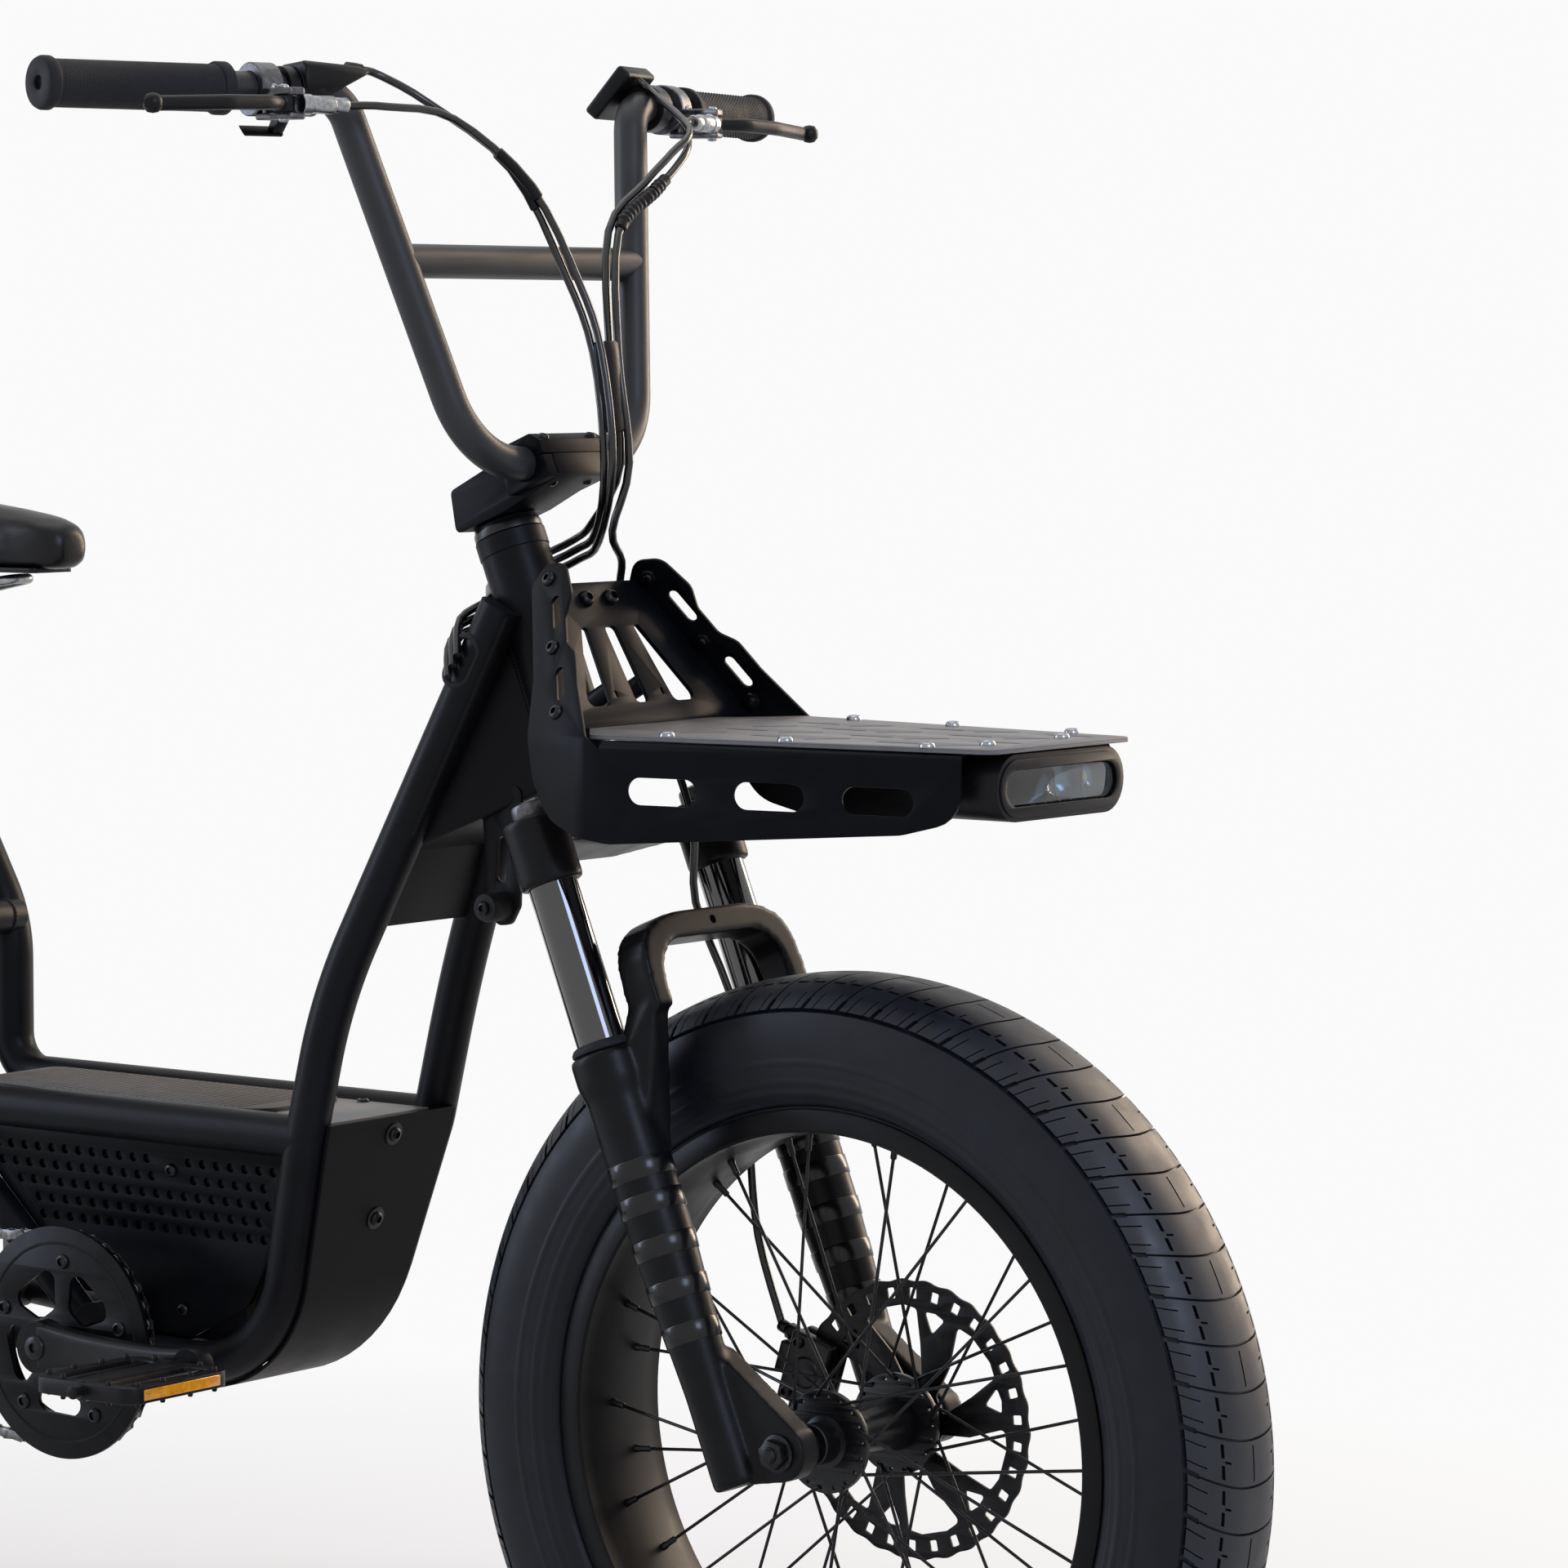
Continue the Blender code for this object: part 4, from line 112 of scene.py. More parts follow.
finishes = {
    # Polyester powder coat, sprayed and baked: satin, with an orange-peel ripple about 1.6 mm across.
    "powderCoat": {"dark": "#0f0f11", "light": "#161619", "cloudMm": 60, "grainMm": 1.6, "relief": 0.10,
                   "rough": (0.36, 0.46), "shader": {"Specular IOR Level": 0.09}},
    # The same coat on laser-cut and folded sheet, a shade cooler and darker; the darker tone is painted shade on the
    # flat sheet faces.
    "powderCoatSheetPaintedShade": {"dark": "#07080b", "light": "#0d0e12", "cloudMm": 45, "grainMm": 1.3, "relief": 0.10,
                        "rough": (0.36, 0.46), "shader": {"Specular IOR Level": 0.06}},
    # Deck skin: coarser textured powder, painted grey: the grey is a painted sheen of the light grazing its top.
    "texturedCoatPaintedSheen": {"dark": "#5e5b5a", "light": "#73706e", "cloudMm": 30, "grainMm": 0.9, "relief": 0.30,
                     "rough": (0.42, 0.54), "shader": {"Specular IOR Level": 0.50}},
    # Cast magnesium under satin paint: smooth, with soft sheen and faint flow marks.
    "castPaint": {"dark": "#0e0e0f", "light": "#151517", "cloudMm": 25, "grainMm": 1.2, "relief": 0.07,
                  "rough": (0.32, 0.42), "shader": {"Specular IOR Level": 0.12}},
    # Hard-anodised and polished fork tube: black, mirror-like, with hairline drawing marks.
    "polishedTube": {"dark": "#0b0b0c", "light": "#101012", "cloudMm": 20, "grainMm": 0.8, "relief": 0.02,
                     "rough": (0.07, 0.12), "shader": {"Coat Weight": 1.0, "Coat Roughness": 0.04}},
    # Gloss bands lacquered round the fork legs: black, shining, slightly rippled.
    "glossBand": {"dark": "#0b0b0c", "light": "#111113", "cloudMm": 15, "grainMm": 1.0, "relief": 0.04,
                  "rough": (0.20, 0.28), "shader": {"Specular IOR Level": 0.30}},
    # Tyre compound: carbon-black rubber with mould dust; its slightly blue cast is a painted tint of the cool light on
    # the tread.
    "tyreRubberCoolTint": {"dark": "#101218", "light": "#191d26", "cloudMm": 18, "grainMm": 0.7, "relief": 0.22,
                   "rough": (0.40, 0.56), "shader": {"Specular IOR Level": 0.38}},
    # Sidewall rubber: the same compound, smoother from the mould; its darker tone is painted shade and its blue cast a
    # painted tint of the cool light.
    "sidewallRubberPaintedShade": {"dark": "#0b0d13", "light": "#12151d", "cloudMm": 22, "grainMm": 0.8, "relief": 0.12,
                       "rough": (0.36, 0.50), "shader": {"Specular IOR Level": 0.20}},
    # Extruded rim under satin black paint.
    "rimPaint": {"dark": "#0d0d0e", "light": "#141415", "cloudMm": 30, "grainMm": 1.1, "relief": 0.08,
                 "rough": (0.36, 0.48), "shader": {"Specular IOR Level": 0.12}},
    # Black-anodised turned alloy: tight lathe rings under a dull sheen.
    "anodisedAlloy": {"dark": "#131314", "light": "#1d1d1f", "cloudMm": 12, "grainMm": 0.7, "relief": 0.08,
                      "rough": (0.28, 0.40), "shader": {"Metallic": 0.5}},
    # Laser-cut rotor steel with a black phosphate coat.
    "rotorSteel": {"dark": "#161617", "light": "#202022", "cloudMm": 9, "grainMm": 0.8, "relief": 0.10,
                   "rough": (0.34, 0.48), "shader": {"Metallic": 0.65}},
    # Zinc-plated and stainless fasteners: bright, lightly brushed.
    "boltSteel": {"dark": "#7c7e82", "light": "#a2a4a8", "cloudMm": 3, "grainMm": 0.5, "relief": 0.04,
                  "rough": (0.22, 0.36), "shader": {"Metallic": 1.0}},
    # Black oxide on steel screws and nuts.
    "blackOxide": {"dark": "#1a1a1b", "light": "#2a2a2c", "cloudMm": 4, "grainMm": 0.5, "relief": 0.10,
                   "rough": (0.26, 0.40), "shader": {"Metallic": 0.8}},
    # Powder-coated bar, a shade warmer than the frame.
    "barCoat": {"dark": "#212122", "light": "#2a2a2b", "cloudMm": 40, "grainMm": 1.2, "relief": 0.08,
                "rough": (0.40, 0.48), "shader": {"Specular IOR Level": 0.34}},
    # Moulded grip rubber with a dry, fine surface.
    "gripRubber": {"dark": "#1b1b1d", "light": "#242426", "cloudMm": 10, "grainMm": 0.5, "relief": 0.20,
                   "rough": (0.60, 0.75), "shader": {"Specular IOR Level": 0.20}},
    # Tumbled die-cast aluminium: grey, speckled, softly shining.
    "castAlloy": {"dark": "#4a4a4d", "light": "#68686b", "cloudMm": 4, "grainMm": 0.6, "relief": 0.06,
                  "rough": (0.30, 0.46), "shader": {"Metallic": 0.9}},
    # Spark-eroded glass-filled nylon: near-black with a fine even grain.
    "mouldedNylon": {"dark": "#09090b", "light": "#0f0f12", "cloudMm": 14, "grainMm": 0.45, "relief": 0.16,
                     "rough": (0.34, 0.46), "shader": {"Specular IOR Level": 0.16}},
    # PVC cable jacket: black, extruded smooth, with a wet highlight.
    "cableJacket": {"dark": "#0c0c0d", "light": "#131314", "cloudMm": 12, "grainMm": 0.6, "relief": 0.04,
                    "rough": (0.18, 0.28)},
    # Nickel-plated chain plate with a film of oil.
    "chainPlate": {"dark": "#4a4a4a", "light": "#7a7a78", "cloudMm": 5, "grainMm": 0.5, "relief": 0.08,
                   "rough": (0.26, 0.44), "shader": {"Metallic": 1.0}},
    # Forged crank alloy, shot-peened and anodised black.
    "forgedAlloy": {"dark": "#0b0b0c", "light": "#121213", "cloudMm": 14, "grainMm": 0.6, "relief": 0.10,
                    "rough": (0.32, 0.44), "shader": {"Specular IOR Level": 0.14, "Metallic": 0.3}},
    # Stretched leatherette: embossed cells about 1 mm across under a glossy topcoat.
    "saddleVinyl": {"dark": "#08080a", "light": "#0e0e10", "cloudMm": 30, "grainMm": 1.1, "grain": "cells",
                    "relief": 0.16, "deepMm": 0.12, "rough": (0.26, 0.38), "shader": {"Specular IOR Level": 0.22}},
    # Ribbed foot mat: grey-black EVA with a dusty surface.
    "matFoam": {"dark": "#585654", "light": "#6e6c69", "cloudMm": 22, "grainMm": 0.8, "relief": 0.35,
                "rough": (0.60, 0.78), "shader": {"Specular IOR Level": 0.20}},
    # Pressed acrylic reflector: amber with cube-corner cells about 2 mm across.
    "amberAcrylic": {"dark": "#e08a10", "light": "#ffb01e", "cloudMm": 7, "grainMm": 2.0, "grain": "prisms",
                     "relief": 0.5, "rough": (0.12, 0.22), "shader": {"Coat Weight": 0.6}},
    # Vacuum-metallised reflector bowls behind the lens.
    "mirrorCoat": {"dark": "#3f474e", "light": "#6a737b", "cloudMm": 4, "grainMm": 1.2, "relief": 0.05,
                   "rough": (0.18, 0.26), "shader": {"Metallic": 1.0}},
    # Phosphor caps of the light chips.
    "phosphor": {"dark": "#d8c98a", "light": "#efe3b4", "cloudMm": 1, "grainMm": 0.4, "relief": 0.15,
                 "rough": (0.40, 0.55)},
    # Tinted cover glass of the display, polished.
    "coverGlass": {"dark": "#08090b", "light": "#0d0f12", "cloudMm": 12, "grainMm": 3.0, "relief": 0.01,
                   "rough": (0.04, 0.08), "shader": {"Coat Weight": 1.0}},
    # Clear polycarbonate lens, injection moulded, with faint moulding ripples and a cool tint.
    "clearLens": {"dark": "#cfdfec", "light": "#e6eff6", "cloudMm": 20, "grainMm": 6.0, "relief": 0.04,
                  "rough": (0.02, 0.05), "shader": {"Transmission Weight": 1.0, "IOR": 1.585}},
    # Battery case: textured fire-resistant ABS.
    "packCase": {"dark": "#26272a", "light": "#303135", "cloudMm": 25, "grainMm": 0.9, "relief": 0.25,
                 "rough": (0.50, 0.62), "shader": {"Specular IOR Level": 0.20}},
}
looks = {name: makeFinish(name, look) for name, look in finishes.items()}
print("finishes made:", len(looks))


def shaped(data, *modifiers):
    holder = bpy.data.objects.new("draft", data)
    scene.collection.objects.link(holder)
    for kind, values in modifiers:
        step = holder.modifiers.new(kind.lower(), kind)
        for key, value in values.items():
            setattr(step, key, value)
    bpy.context.view_layer.update()
    mesh = bpy.data.meshes.new_from_object(holder.evaluated_get(bpy.context.evaluated_depsgraph_get()))
    bpy.data.objects.remove(holder)
    return mesh


def merged(mesh, reach=1e-6):
    bm = bmesh.new()
    bm.from_mesh(mesh)
    bmesh.ops.remove_doubles(bm, verts=bm.verts, dist=reach)
    bmesh.ops.dissolve_degenerate(bm, edges=bm.edges, dist=reach)
    bmesh.ops.recalc_face_normals(bm, faces=bm.faces)
    bm.to_mesh(mesh)
    bm.free()
    return mesh


def rounded(mesh, width, segments=2, angle=28):
    return shaped(mesh, ("BEVEL", {"width": width, "segments": segments, "limit_method": "ANGLE",
                                   "angle_limit": math.radians(angle), "use_clamp_overlap": True}))


def castBlend(mesh, voxel, passes):
    return shaped(mesh, ("REMESH", {"mode": "VOXEL", "voxel_size": voxel}),
                  ("SMOOTH", {"factor": 0.5, "iterations": passes}))


def joined(*meshes):
    bm = bmesh.new()
    for mesh in meshes:
        bm.from_mesh(mesh)
    out = bpy.data.meshes.new("joined")
    bm.to_mesh(out)
    bm.free()
    return out


def mirrored(mesh):
    out = mesh.copy()
    out.transform(Matrix.Scale(-1, 4, yAxis))
    out.flip_normals()
    return out


def bothSides(mesh):
    return joined(mesh, mirrored(mesh))


def axesAt(origin, ux, uy):
    uz = ux.cross(uy).normalized()
    out = Matrix((ux.normalized(), uy.normalized(), uz)).transposed().to_4x4()
    out.translation = origin
    return out


def turned(profile, origin, axis, sides=48, closed=False):
    turn = zAxis.rotation_difference(axis).to_matrix()
    verts, faces, rows = [], [], []
    for r, h in profile:
        if r < 1e-7:
            rows.append([len(verts)] * sides)
            verts.append(origin + turn @ Vector((0, 0, h)))
            continue
        rows.append([len(verts) + k for k in range(sides)])
        for k in range(sides):
            a = math.tau * k / sides
            verts.append(origin + turn @ Vector((r * math.cos(a), r * math.sin(a), h)))
    pairs = list(zip(rows, rows[1:])) + ([(rows[-1], rows[0])] if closed else [])
    for low, high in pairs:
        for k in range(sides):
            ring = [low[k], low[(k + 1) % sides], high[(k + 1) % sides], high[k]]
            faces.append(list(dict.fromkeys(ring)))
    mesh = bpy.data.meshes.new("turned")
    mesh.from_pydata(verts, [], [f for f in faces if len(f) > 2])
    return merged(mesh)


def bendPath(points, radii, steps=8):
    out = [points[0]]
    for i in range(1, len(points) - 1):
        p, a, b = points[i], points[i - 1], points[i + 1]
        u, v = (a - p).normalized(), (b - p).normalized()
        half = u.angle(v) / 2
        reach = min(radii[i - 1] / math.tan(half), 0.48 * min((a - p).length, (b - p).length))
        radius = reach * math.tan(half)
        centre = p + (u + v).normalized() * (radius / math.sin(half))
        first, last = (p + u * reach - centre).normalized(), (p + v * reach - centre).normalized()
        out += [centre + first.slerp(last, k / steps) * radius for k in range(steps + 1)]
    out.append(points[-1])
    return out


def smoothPath(points, steps=4):
    out = []
    for i in range(len(points) - 1):
        p0, p1 = points[max(i - 1, 0)], points[i]
        p2, p3 = points[i + 1], points[min(i + 2, len(points) - 1)]
        for k in range(steps):
            t = k / steps
            out.append(0.5 * (2 * p1 + (p2 - p0) * t + (2 * p0 - 5 * p1 + 4 * p2 - p3) * t * t
                              + (3 * p1 - p0 - 3 * p2 + p3) * t ** 3))
    return out + [points[-1]]


def tubeAlong(points, radius, sides=24, flat=1.0, wide=None):
    radii = radius if isinstance(radius, (list, tuple)) else [radius] * len(points)
    runs = [(points[min(i + 1, len(points) - 1)] - points[max(i - 1, 0)]).normalized() for i in range(len(points))]
    side = wide or runs[0].orthogonal()
    verts, faces = [], []
    for p, run, r in zip(points, runs, radii):
        side = (side - run * side.dot(run)).normalized()
        up = run.cross(side)
        for k in range(sides):
            a = math.tau * k / sides
            verts.append(p + side * (r * math.cos(a)) + up * (r * flat * math.sin(a)))
    for i in range(len(points) - 1):
        for k in range(sides):
            n = (k + 1) % sides
            faces.append((i * sides + k, i * sides + n, (i + 1) * sides + n, (i + 1) * sides + k))
    faces.append(tuple(reversed(range(sides))))
    faces.append(tuple(range((len(points) - 1) * sides, len(points) * sides)))
    mesh = bpy.data.meshes.new("tube")
    mesh.from_pydata(verts, [], faces)
    return merged(mesh)


def rod(a, b, radius, sides=32, edge=0.0006):
    length = (b - a).length
    edge = min(edge, radius * 0.5, length * 0.3)
    outline = [(0, length), (radius - edge, length), (radius - edge * 0.3, length - edge * 0.3), (radius, length - edge),
               (radius, edge), (radius - edge * 0.3, edge * 0.3), (radius - edge, 0), (0, 0)]
    return turned(outline, a, (b - a).normalized(), sides)


def plateMesh(loops, origin, ux, uy, low, high, edge=0.0005):
    curve = bpy.data.curves.new("outline", "CURVE")
    curve.dimensions = "2D"
    curve.fill_mode = "BOTH"
    curve.extrude = (high - low) / 2
    for loop in loops:
        spline = curve.splines.new("POLY")
        spline.points.add(len(loop) - 1)
        for point, co in zip(spline.points, loop):
            point.co = (co[0], co[1], 0, 1)
        spline.use_cyclic_u = True
    mesh = merged(shaped(curve))
    place = axesAt(origin, ux, uy)
    place.translation = origin + place.to_3x3() @ Vector((0, 0, (low + high) / 2))
    mesh.transform(place)
    if place.determinant() < 0:
        mesh.flip_normals()
    return rounded(mesh, edge, 2) if edge else mesh


def hullMesh(points, edge=0.0, segments=3):
    bm = bmesh.new()
    for p in points:
        bm.verts.new(p)
    result = bmesh.ops.convex_hull(bm, input=bm.verts)
    loose = [v for v in result["geom_interior"] if isinstance(v, bmesh.types.BMVert)]
    bmesh.ops.delete(bm, geom=loose, context="VERTS")
    bmesh.ops.dissolve_limit(bm, angle_limit=math.radians(1), verts=bm.verts, edges=bm.edges)
    bmesh.ops.recalc_face_normals(bm, faces=bm.faces)
    mesh = bpy.data.meshes.new("hull")
    bm.to_mesh(mesh)
    bm.free()
    return rounded(mesh, edge, segments) if edge else mesh


def blockMesh(origin, ux, uy, lo, hi, edge=0.001, segments=3):
    m = axesAt(origin, ux, uy)
    return hullMesh([m @ Vector((a, b, c)) for a in (lo[0], hi[0]) for b in (lo[1], hi[1])
                     for c in (lo[2], hi[2])], edge, segments)


def carved(mesh, *cutters):
    held = []
    steps = []
    for cutter in cutters:
        ob = bpy.data.objects.new("cutter", cutter)
        scene.collection.objects.link(ob)
        held.append(ob)
        steps.append(("BOOLEAN", {"operation": "DIFFERENCE", "solver": "EXACT", "object": ob}))
    out = shaped(mesh, *steps)
    for ob in held:
        bpy.data.objects.remove(ob)
    return out


def ringLoop(x, y, r, n, phase=0.0):
    return [(x + r * math.cos(phase + math.tau * k / n), y + r * math.sin(phase + math.tau * k / n)) for k in range(n)]


def slotLoop(x, y, length, width, angle=0.0, n=10):
    r, half = width / 2, (length - width) / 2
    out = []
    for side, start in ((1, -math.pi / 2), (-1, math.pi / 2)):
        for k in range(n + 1):
            a = start + math.pi * k / n
            px, py = side * half + r * math.cos(a), r * math.sin(a)
            out.append((x + px * math.cos(angle) - py * math.sin(angle),
                        y + px * math.sin(angle) + py * math.cos(angle)))
    return out


def filletLoop(loop, radius, steps=5):
    points = [Vector((p[0], p[1], 0)) if len(p) == 2 else Vector(p) for p in loop]
    radii = radius if isinstance(radius, (list, tuple)) else [radius] * len(points)
    out = []
    for i, p in enumerate(points):
        a, b = points[i - 1], points[(i + 1) % len(points)]
        if radii[i] <= 0:
            out.append(p)
            continue
        out += bendPath([a, p, b], [radii[i]], steps)[1:-1]
    return [(p.x, p.y) for p in out] if len(loop[0]) == 2 else out


def makeTree(name, sockets):
    tree = bpy.data.node_groups.new(name, "GeometryNodeTree")
    for label, kind in sockets:
        tree.interface.new_socket(label, in_out="INPUT", socket_type="NodeSocket" + kind)
    tree.interface.new_socket("Geometry", in_out="OUTPUT", socket_type="NodeSocketGeometry")
    return tree, addNode(tree, "NodeGroupInput").outputs


def endTree(tree, instances, finish):
    real = addNode(tree, "GeometryNodeRealizeInstances", {"Geometry": instances})
    done = addNode(tree, "GeometryNodeSetMaterial", {"Geometry": real.outputs[0], "Material": finish})
    addNode(tree, "NodeGroupOutput", {"Geometry": done.outputs[0]})
    return tree


# Repeats its own mesh round a Y axle.
roundTree, given = makeTree("repeatRound", (("Geometry", "Geometry"), ("Count", "Int"), ("Centre", "Vector"),
                                            ("Finish", "Material")))
spots = addNode(roundTree, "GeometryNodePoints", {"Count": given["Count"], "Position": given["Centre"]})
away = addNode(roundTree, "ShaderNodeVectorMath", {0: given["Centre"], 1: (-1, -1, -1)}, operation="MULTIPLY")
home = addNode(roundTree, "GeometryNodeTransform", {"Geometry": given["Geometry"], "Translation": away.outputs[0]})
stepAngle = addNode(roundTree, "ShaderNodeMath", {0: math.tau, 1: given["Count"]}, operation="DIVIDE")
order = addNode(roundTree, "GeometryNodeInputIndex")
angle = addNode(roundTree, "ShaderNodeMath", {0: order.outputs[0], 1: stepAngle.outputs[0]}, operation="MULTIPLY")
spin = addNode(roundTree, "ShaderNodeCombineXYZ", {"Y": angle.outputs[0]})
copies = addNode(roundTree, "GeometryNodeInstanceOnPoints",
                 {"Points": spots.outputs[0], "Instance": home.outputs[0], "Rotation": spin.outputs[0]})
endTree(roundTree, copies.outputs[0], given["Finish"])

# Seats one item on each point, its Z along facing and its X along the run.
seatTree, given = makeTree("seatOnPoints", (("Geometry", "Geometry"), ("Item", "Object"), ("Finish", "Material")))
facing = addNode(seatTree, "GeometryNodeInputNamedAttribute", {"Name": "facing"}, data_type="FLOAT_VECTOR")
along = addNode(seatTree, "GeometryNodeInputNamedAttribute", {"Name": "along"}, data_type="FLOAT_VECTOR")
toFace = addNode(seatTree, "FunctionNodeAlignRotationToVector", {"Vector": facing.outputs["Attribute"]}, axis="Z")
toRun = addNode(seatTree, "FunctionNodeAlignRotationToVector",
                {"Rotation": toFace.outputs[0], "Vector": along.outputs["Attribute"]}, axis="X", pivot_axis="Z")
item = addNode(seatTree, "GeometryNodeObjectInfo", {"Object": given["Item"]})
copies = addNode(seatTree, "GeometryNodeInstanceOnPoints",
                 {"Points": given["Geometry"], "Instance": item.outputs["Geometry"], "Rotation": toRun.outputs[0]})
endTree(seatTree, copies.outputs[0], given["Finish"])


def runTree(tree, mesh, values):
    holder = bpy.data.objects.new("draft", mesh)
    scene.collection.objects.link(holder)
    step = holder.modifiers.new("nodes", "NODES")
    step.node_group = tree
    for socket in tree.interface.items_tree:
        if socket.in_out == "INPUT" and socket.name in values:
            step[socket.identifier] = values[socket.name]
    bpy.context.view_layer.update()
    out = bpy.data.meshes.new_from_object(holder.evaluated_get(bpy.context.evaluated_depsgraph_get()))
    bpy.data.objects.remove(holder)
    return out


def repeatRound(mesh, count, centre, finish):
    return runTree(roundTree, mesh, {"Count": count, "Centre": tuple(centre), "Finish": looks[finish]})


def seatItems(itemMesh, spots, finish):
    points = bpy.data.meshes.new("spots")
    points.from_pydata([s[0] for s in spots], [], [])
    for k, label in ((1, "facing"), (2, "along")):
        made = points.attributes.new(label, "FLOAT_VECTOR", "POINT")
        for value, s in zip(made.data, spots):
            value.vector = s[k] if len(s) > k else s[1].orthogonal()
    thing = bpy.data.objects.new("item", itemMesh)
    scene.collection.objects.link(thing)
    out = runTree(seatTree, points, {"Item": thing, "Finish": looks[finish]})
    bpy.data.objects.remove(thing)
    return out


def place(name, mesh, finish, body, nodes=(), slot=None, smooth=35):
    mesh.name = name
    mesh.materials.clear()
    mesh.materials.append(looks[finish])
    mesh.polygons.foreach_set("material_index", [0] * len(mesh.polygons))
    mesh.shade_smooth()
    mesh.set_sharp_from_angle(angle=math.radians(smooth))
    piece = bpy.data.objects.new(name, mesh)
    scene.collection.objects.link(piece)
    if body:
        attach(piece, body)
    if nodes:
        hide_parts(*nodes)
    return piece


def boltHead(radius, height, socket=0.5):
    r, h, s = radius, height, socket * radius
    dome = [(0, h * 0.35), (s * 0.96, h * 0.35), (s, h * 0.98), (r * 0.72, h * 0.92), (r * 0.92, h * 0.62), (r, h * 0.18),
            (r, 0), (0, 0)]
    return turned(dome, Vector((0, 0, 0)), zAxis, 18)


def hexNut(radius, height):
    corner = ringLoop(0, 0, radius, 6)
    body = plateMesh([corner], Vector((0, 0, 0)), xAxis, yAxis, 0, height, radius * 0.08)
    dome = turned([(0, height * 1.5), (radius * 0.4, height * 1.38), (radius * 0.55, height), (radius * 0.55, 0), (0, 0)],
                  Vector((0, 0, 0)), zAxis, 16)
    return joined(body, dome)


# Camera at the photo's view.
viewpoint = {"eye": (2.6899, -2.9455, 0.9755), "turn": 36.6426, "drop": 4.3673, "roll": 0.0624, "lens": 134.52}
turnA, dropA, rollA = (math.radians(viewpoint[k]) for k in ("turn", "drop", "roll"))
back = Vector((math.sin(turnA) * math.cos(dropA), -math.cos(turnA) * math.cos(dropA), math.sin(dropA)))
right = Vector((math.cos(turnA), math.sin(turnA), 0))
upward = back.cross(right)
right = right * math.cos(rollA) + upward * math.sin(rollA)
upward = back.cross(right)
lensData = bpy.data.cameras.new("photoView")
lensData.lens, lensData.sensor_width = viewpoint["lens"], 36.0
lensData.clip_start, lensData.clip_end = 0.05, 60.0
camera = bpy.data.objects.new("photoView", lensData)
pose = Matrix((right, upward, back)).transposed().to_4x4()
pose.translation = viewpoint["eye"]
camera.matrix_world = pose
scene.collection.objects.link(camera)
scene.camera = camera

# The steering line: s runs up the steerer, n forward of it, y to the left.
headLean = math.radians(22)
frontAxle, rearAxle = Vector((0.56, 0, 0.29)), Vector((-0.56, 0, 0.29))
steerUp = Vector((-math.sin(headLean), 0, math.cos(headLean)))
steerFwd = Vector((math.cos(headLean), 0, math.sin(headLean)))
steerFoot = frontAxle - steerFwd * 0.054


def steer(s, n, y=0.0):
    return steerFoot + steerUp * s + steerFwd * n + yAxis * y


def flipY(p):
    return Vector((p.x, -p.y, p.z))


# The bar: a runs outward along the right grip, f forward, u up.
bar = {"radius": 0.0111, "half": 0.360, "topZ": 1.128, "crossZ": 1.0228, "sweep": math.radians(14.7), "out": 0.278,
       "backward": 0.233, "clampToRiser": 0.083}
stemLow = 0.622 + 0.0095 + 0.0003
barS, barN = stemLow + 0.032 * 0.64, 0.053
barLow = steer(barS, barN)


def riser(z, side=-1):
    rise = z - barLow.z
    return Vector((barLow.x - bar["backward"] * rise, side * (bar["clampToRiser"] + bar["out"] * rise), z))


shoulder = riser(bar["topZ"])
outR = Vector((-math.sin(bar["sweep"]), -math.cos(bar["sweep"]), 0))
fwdR = Vector((math.cos(bar["sweep"]), -math.sin(bar["sweep"]), 0))
barEnd = shoulder + outR * ((bar["half"] + shoulder.y) / math.cos(bar["sweep"]))
perch = barEnd - outR * 0.160


def hand(a, f, u=0.0):
    return perch + outR * a + fwdR * f + zAxis * u


leftOut, leftFwd, leftPerch = flipY(outR), flipY(fwdR), flipY(perch)
leverReach, leverU, bossH, podAt = 0.033, -0.010, 0.010, -0.031
screenTilt = math.radians(50)
screenUp = leftFwd * math.cos(screenTilt) + zAxis * math.sin(screenTilt)
screenFace = zAxis * math.cos(screenTilt) - leftFwd * math.sin(screenTilt)
leftPod = leftPerch + leftOut * podAt
slabMid = leftPod - leftOut * 0.004 + screenFace * (0.016 - 0.002 + 0.0055) - screenUp * 0.0033

# Frame tubes that the cords reach.
tube = {"radius": 0.0143, "floorHalf": 0.065, "railHalf": 0.045, "railZ": 0.286, "floorZ": 0.450, "floorX": 0.1562,
        "toeX": 0.1095, "toeBend": 0.094, "floorBend": 0.080, "riseX": -0.235, "riseZ": 0.560, "carrierZ": 0.745,
        "carrierX": -0.780, "stay": 0.011}
headEnd = steer(0.622 - 0.047, -0.002, -0.0227 - 0.0043)
knee = Vector((0.1793, -tube["floorHalf"], 0.5438))


def onDown(z):
    return knee.lerp(headEnd, (z - knee.z) / (headEnd.z - knee.z))


cable = {"radius": 0.0026, "steps": 4, "sides": 12}
wrapR = tube["radius"] + cable["radius"] + 0.0014
overTube = (headEnd - knee).cross(yAxis).normalized()
barrelEnd = hand(-0.0412, leverReach + 0.004, leverU)
leftBarrel = flipY(barrelEnd)
podExit = hand(podAt - 0.0458, 0, 0.0143)
displayExit = slabMid - leftOut * 0.0105 + screenUp * 0.0175 - screenFace * 0.0075


def bundled(y, shift):
    return [Vector((0.357 + shift, y, 0.965)), Vector((0.366 + shift, y, 0.895))]


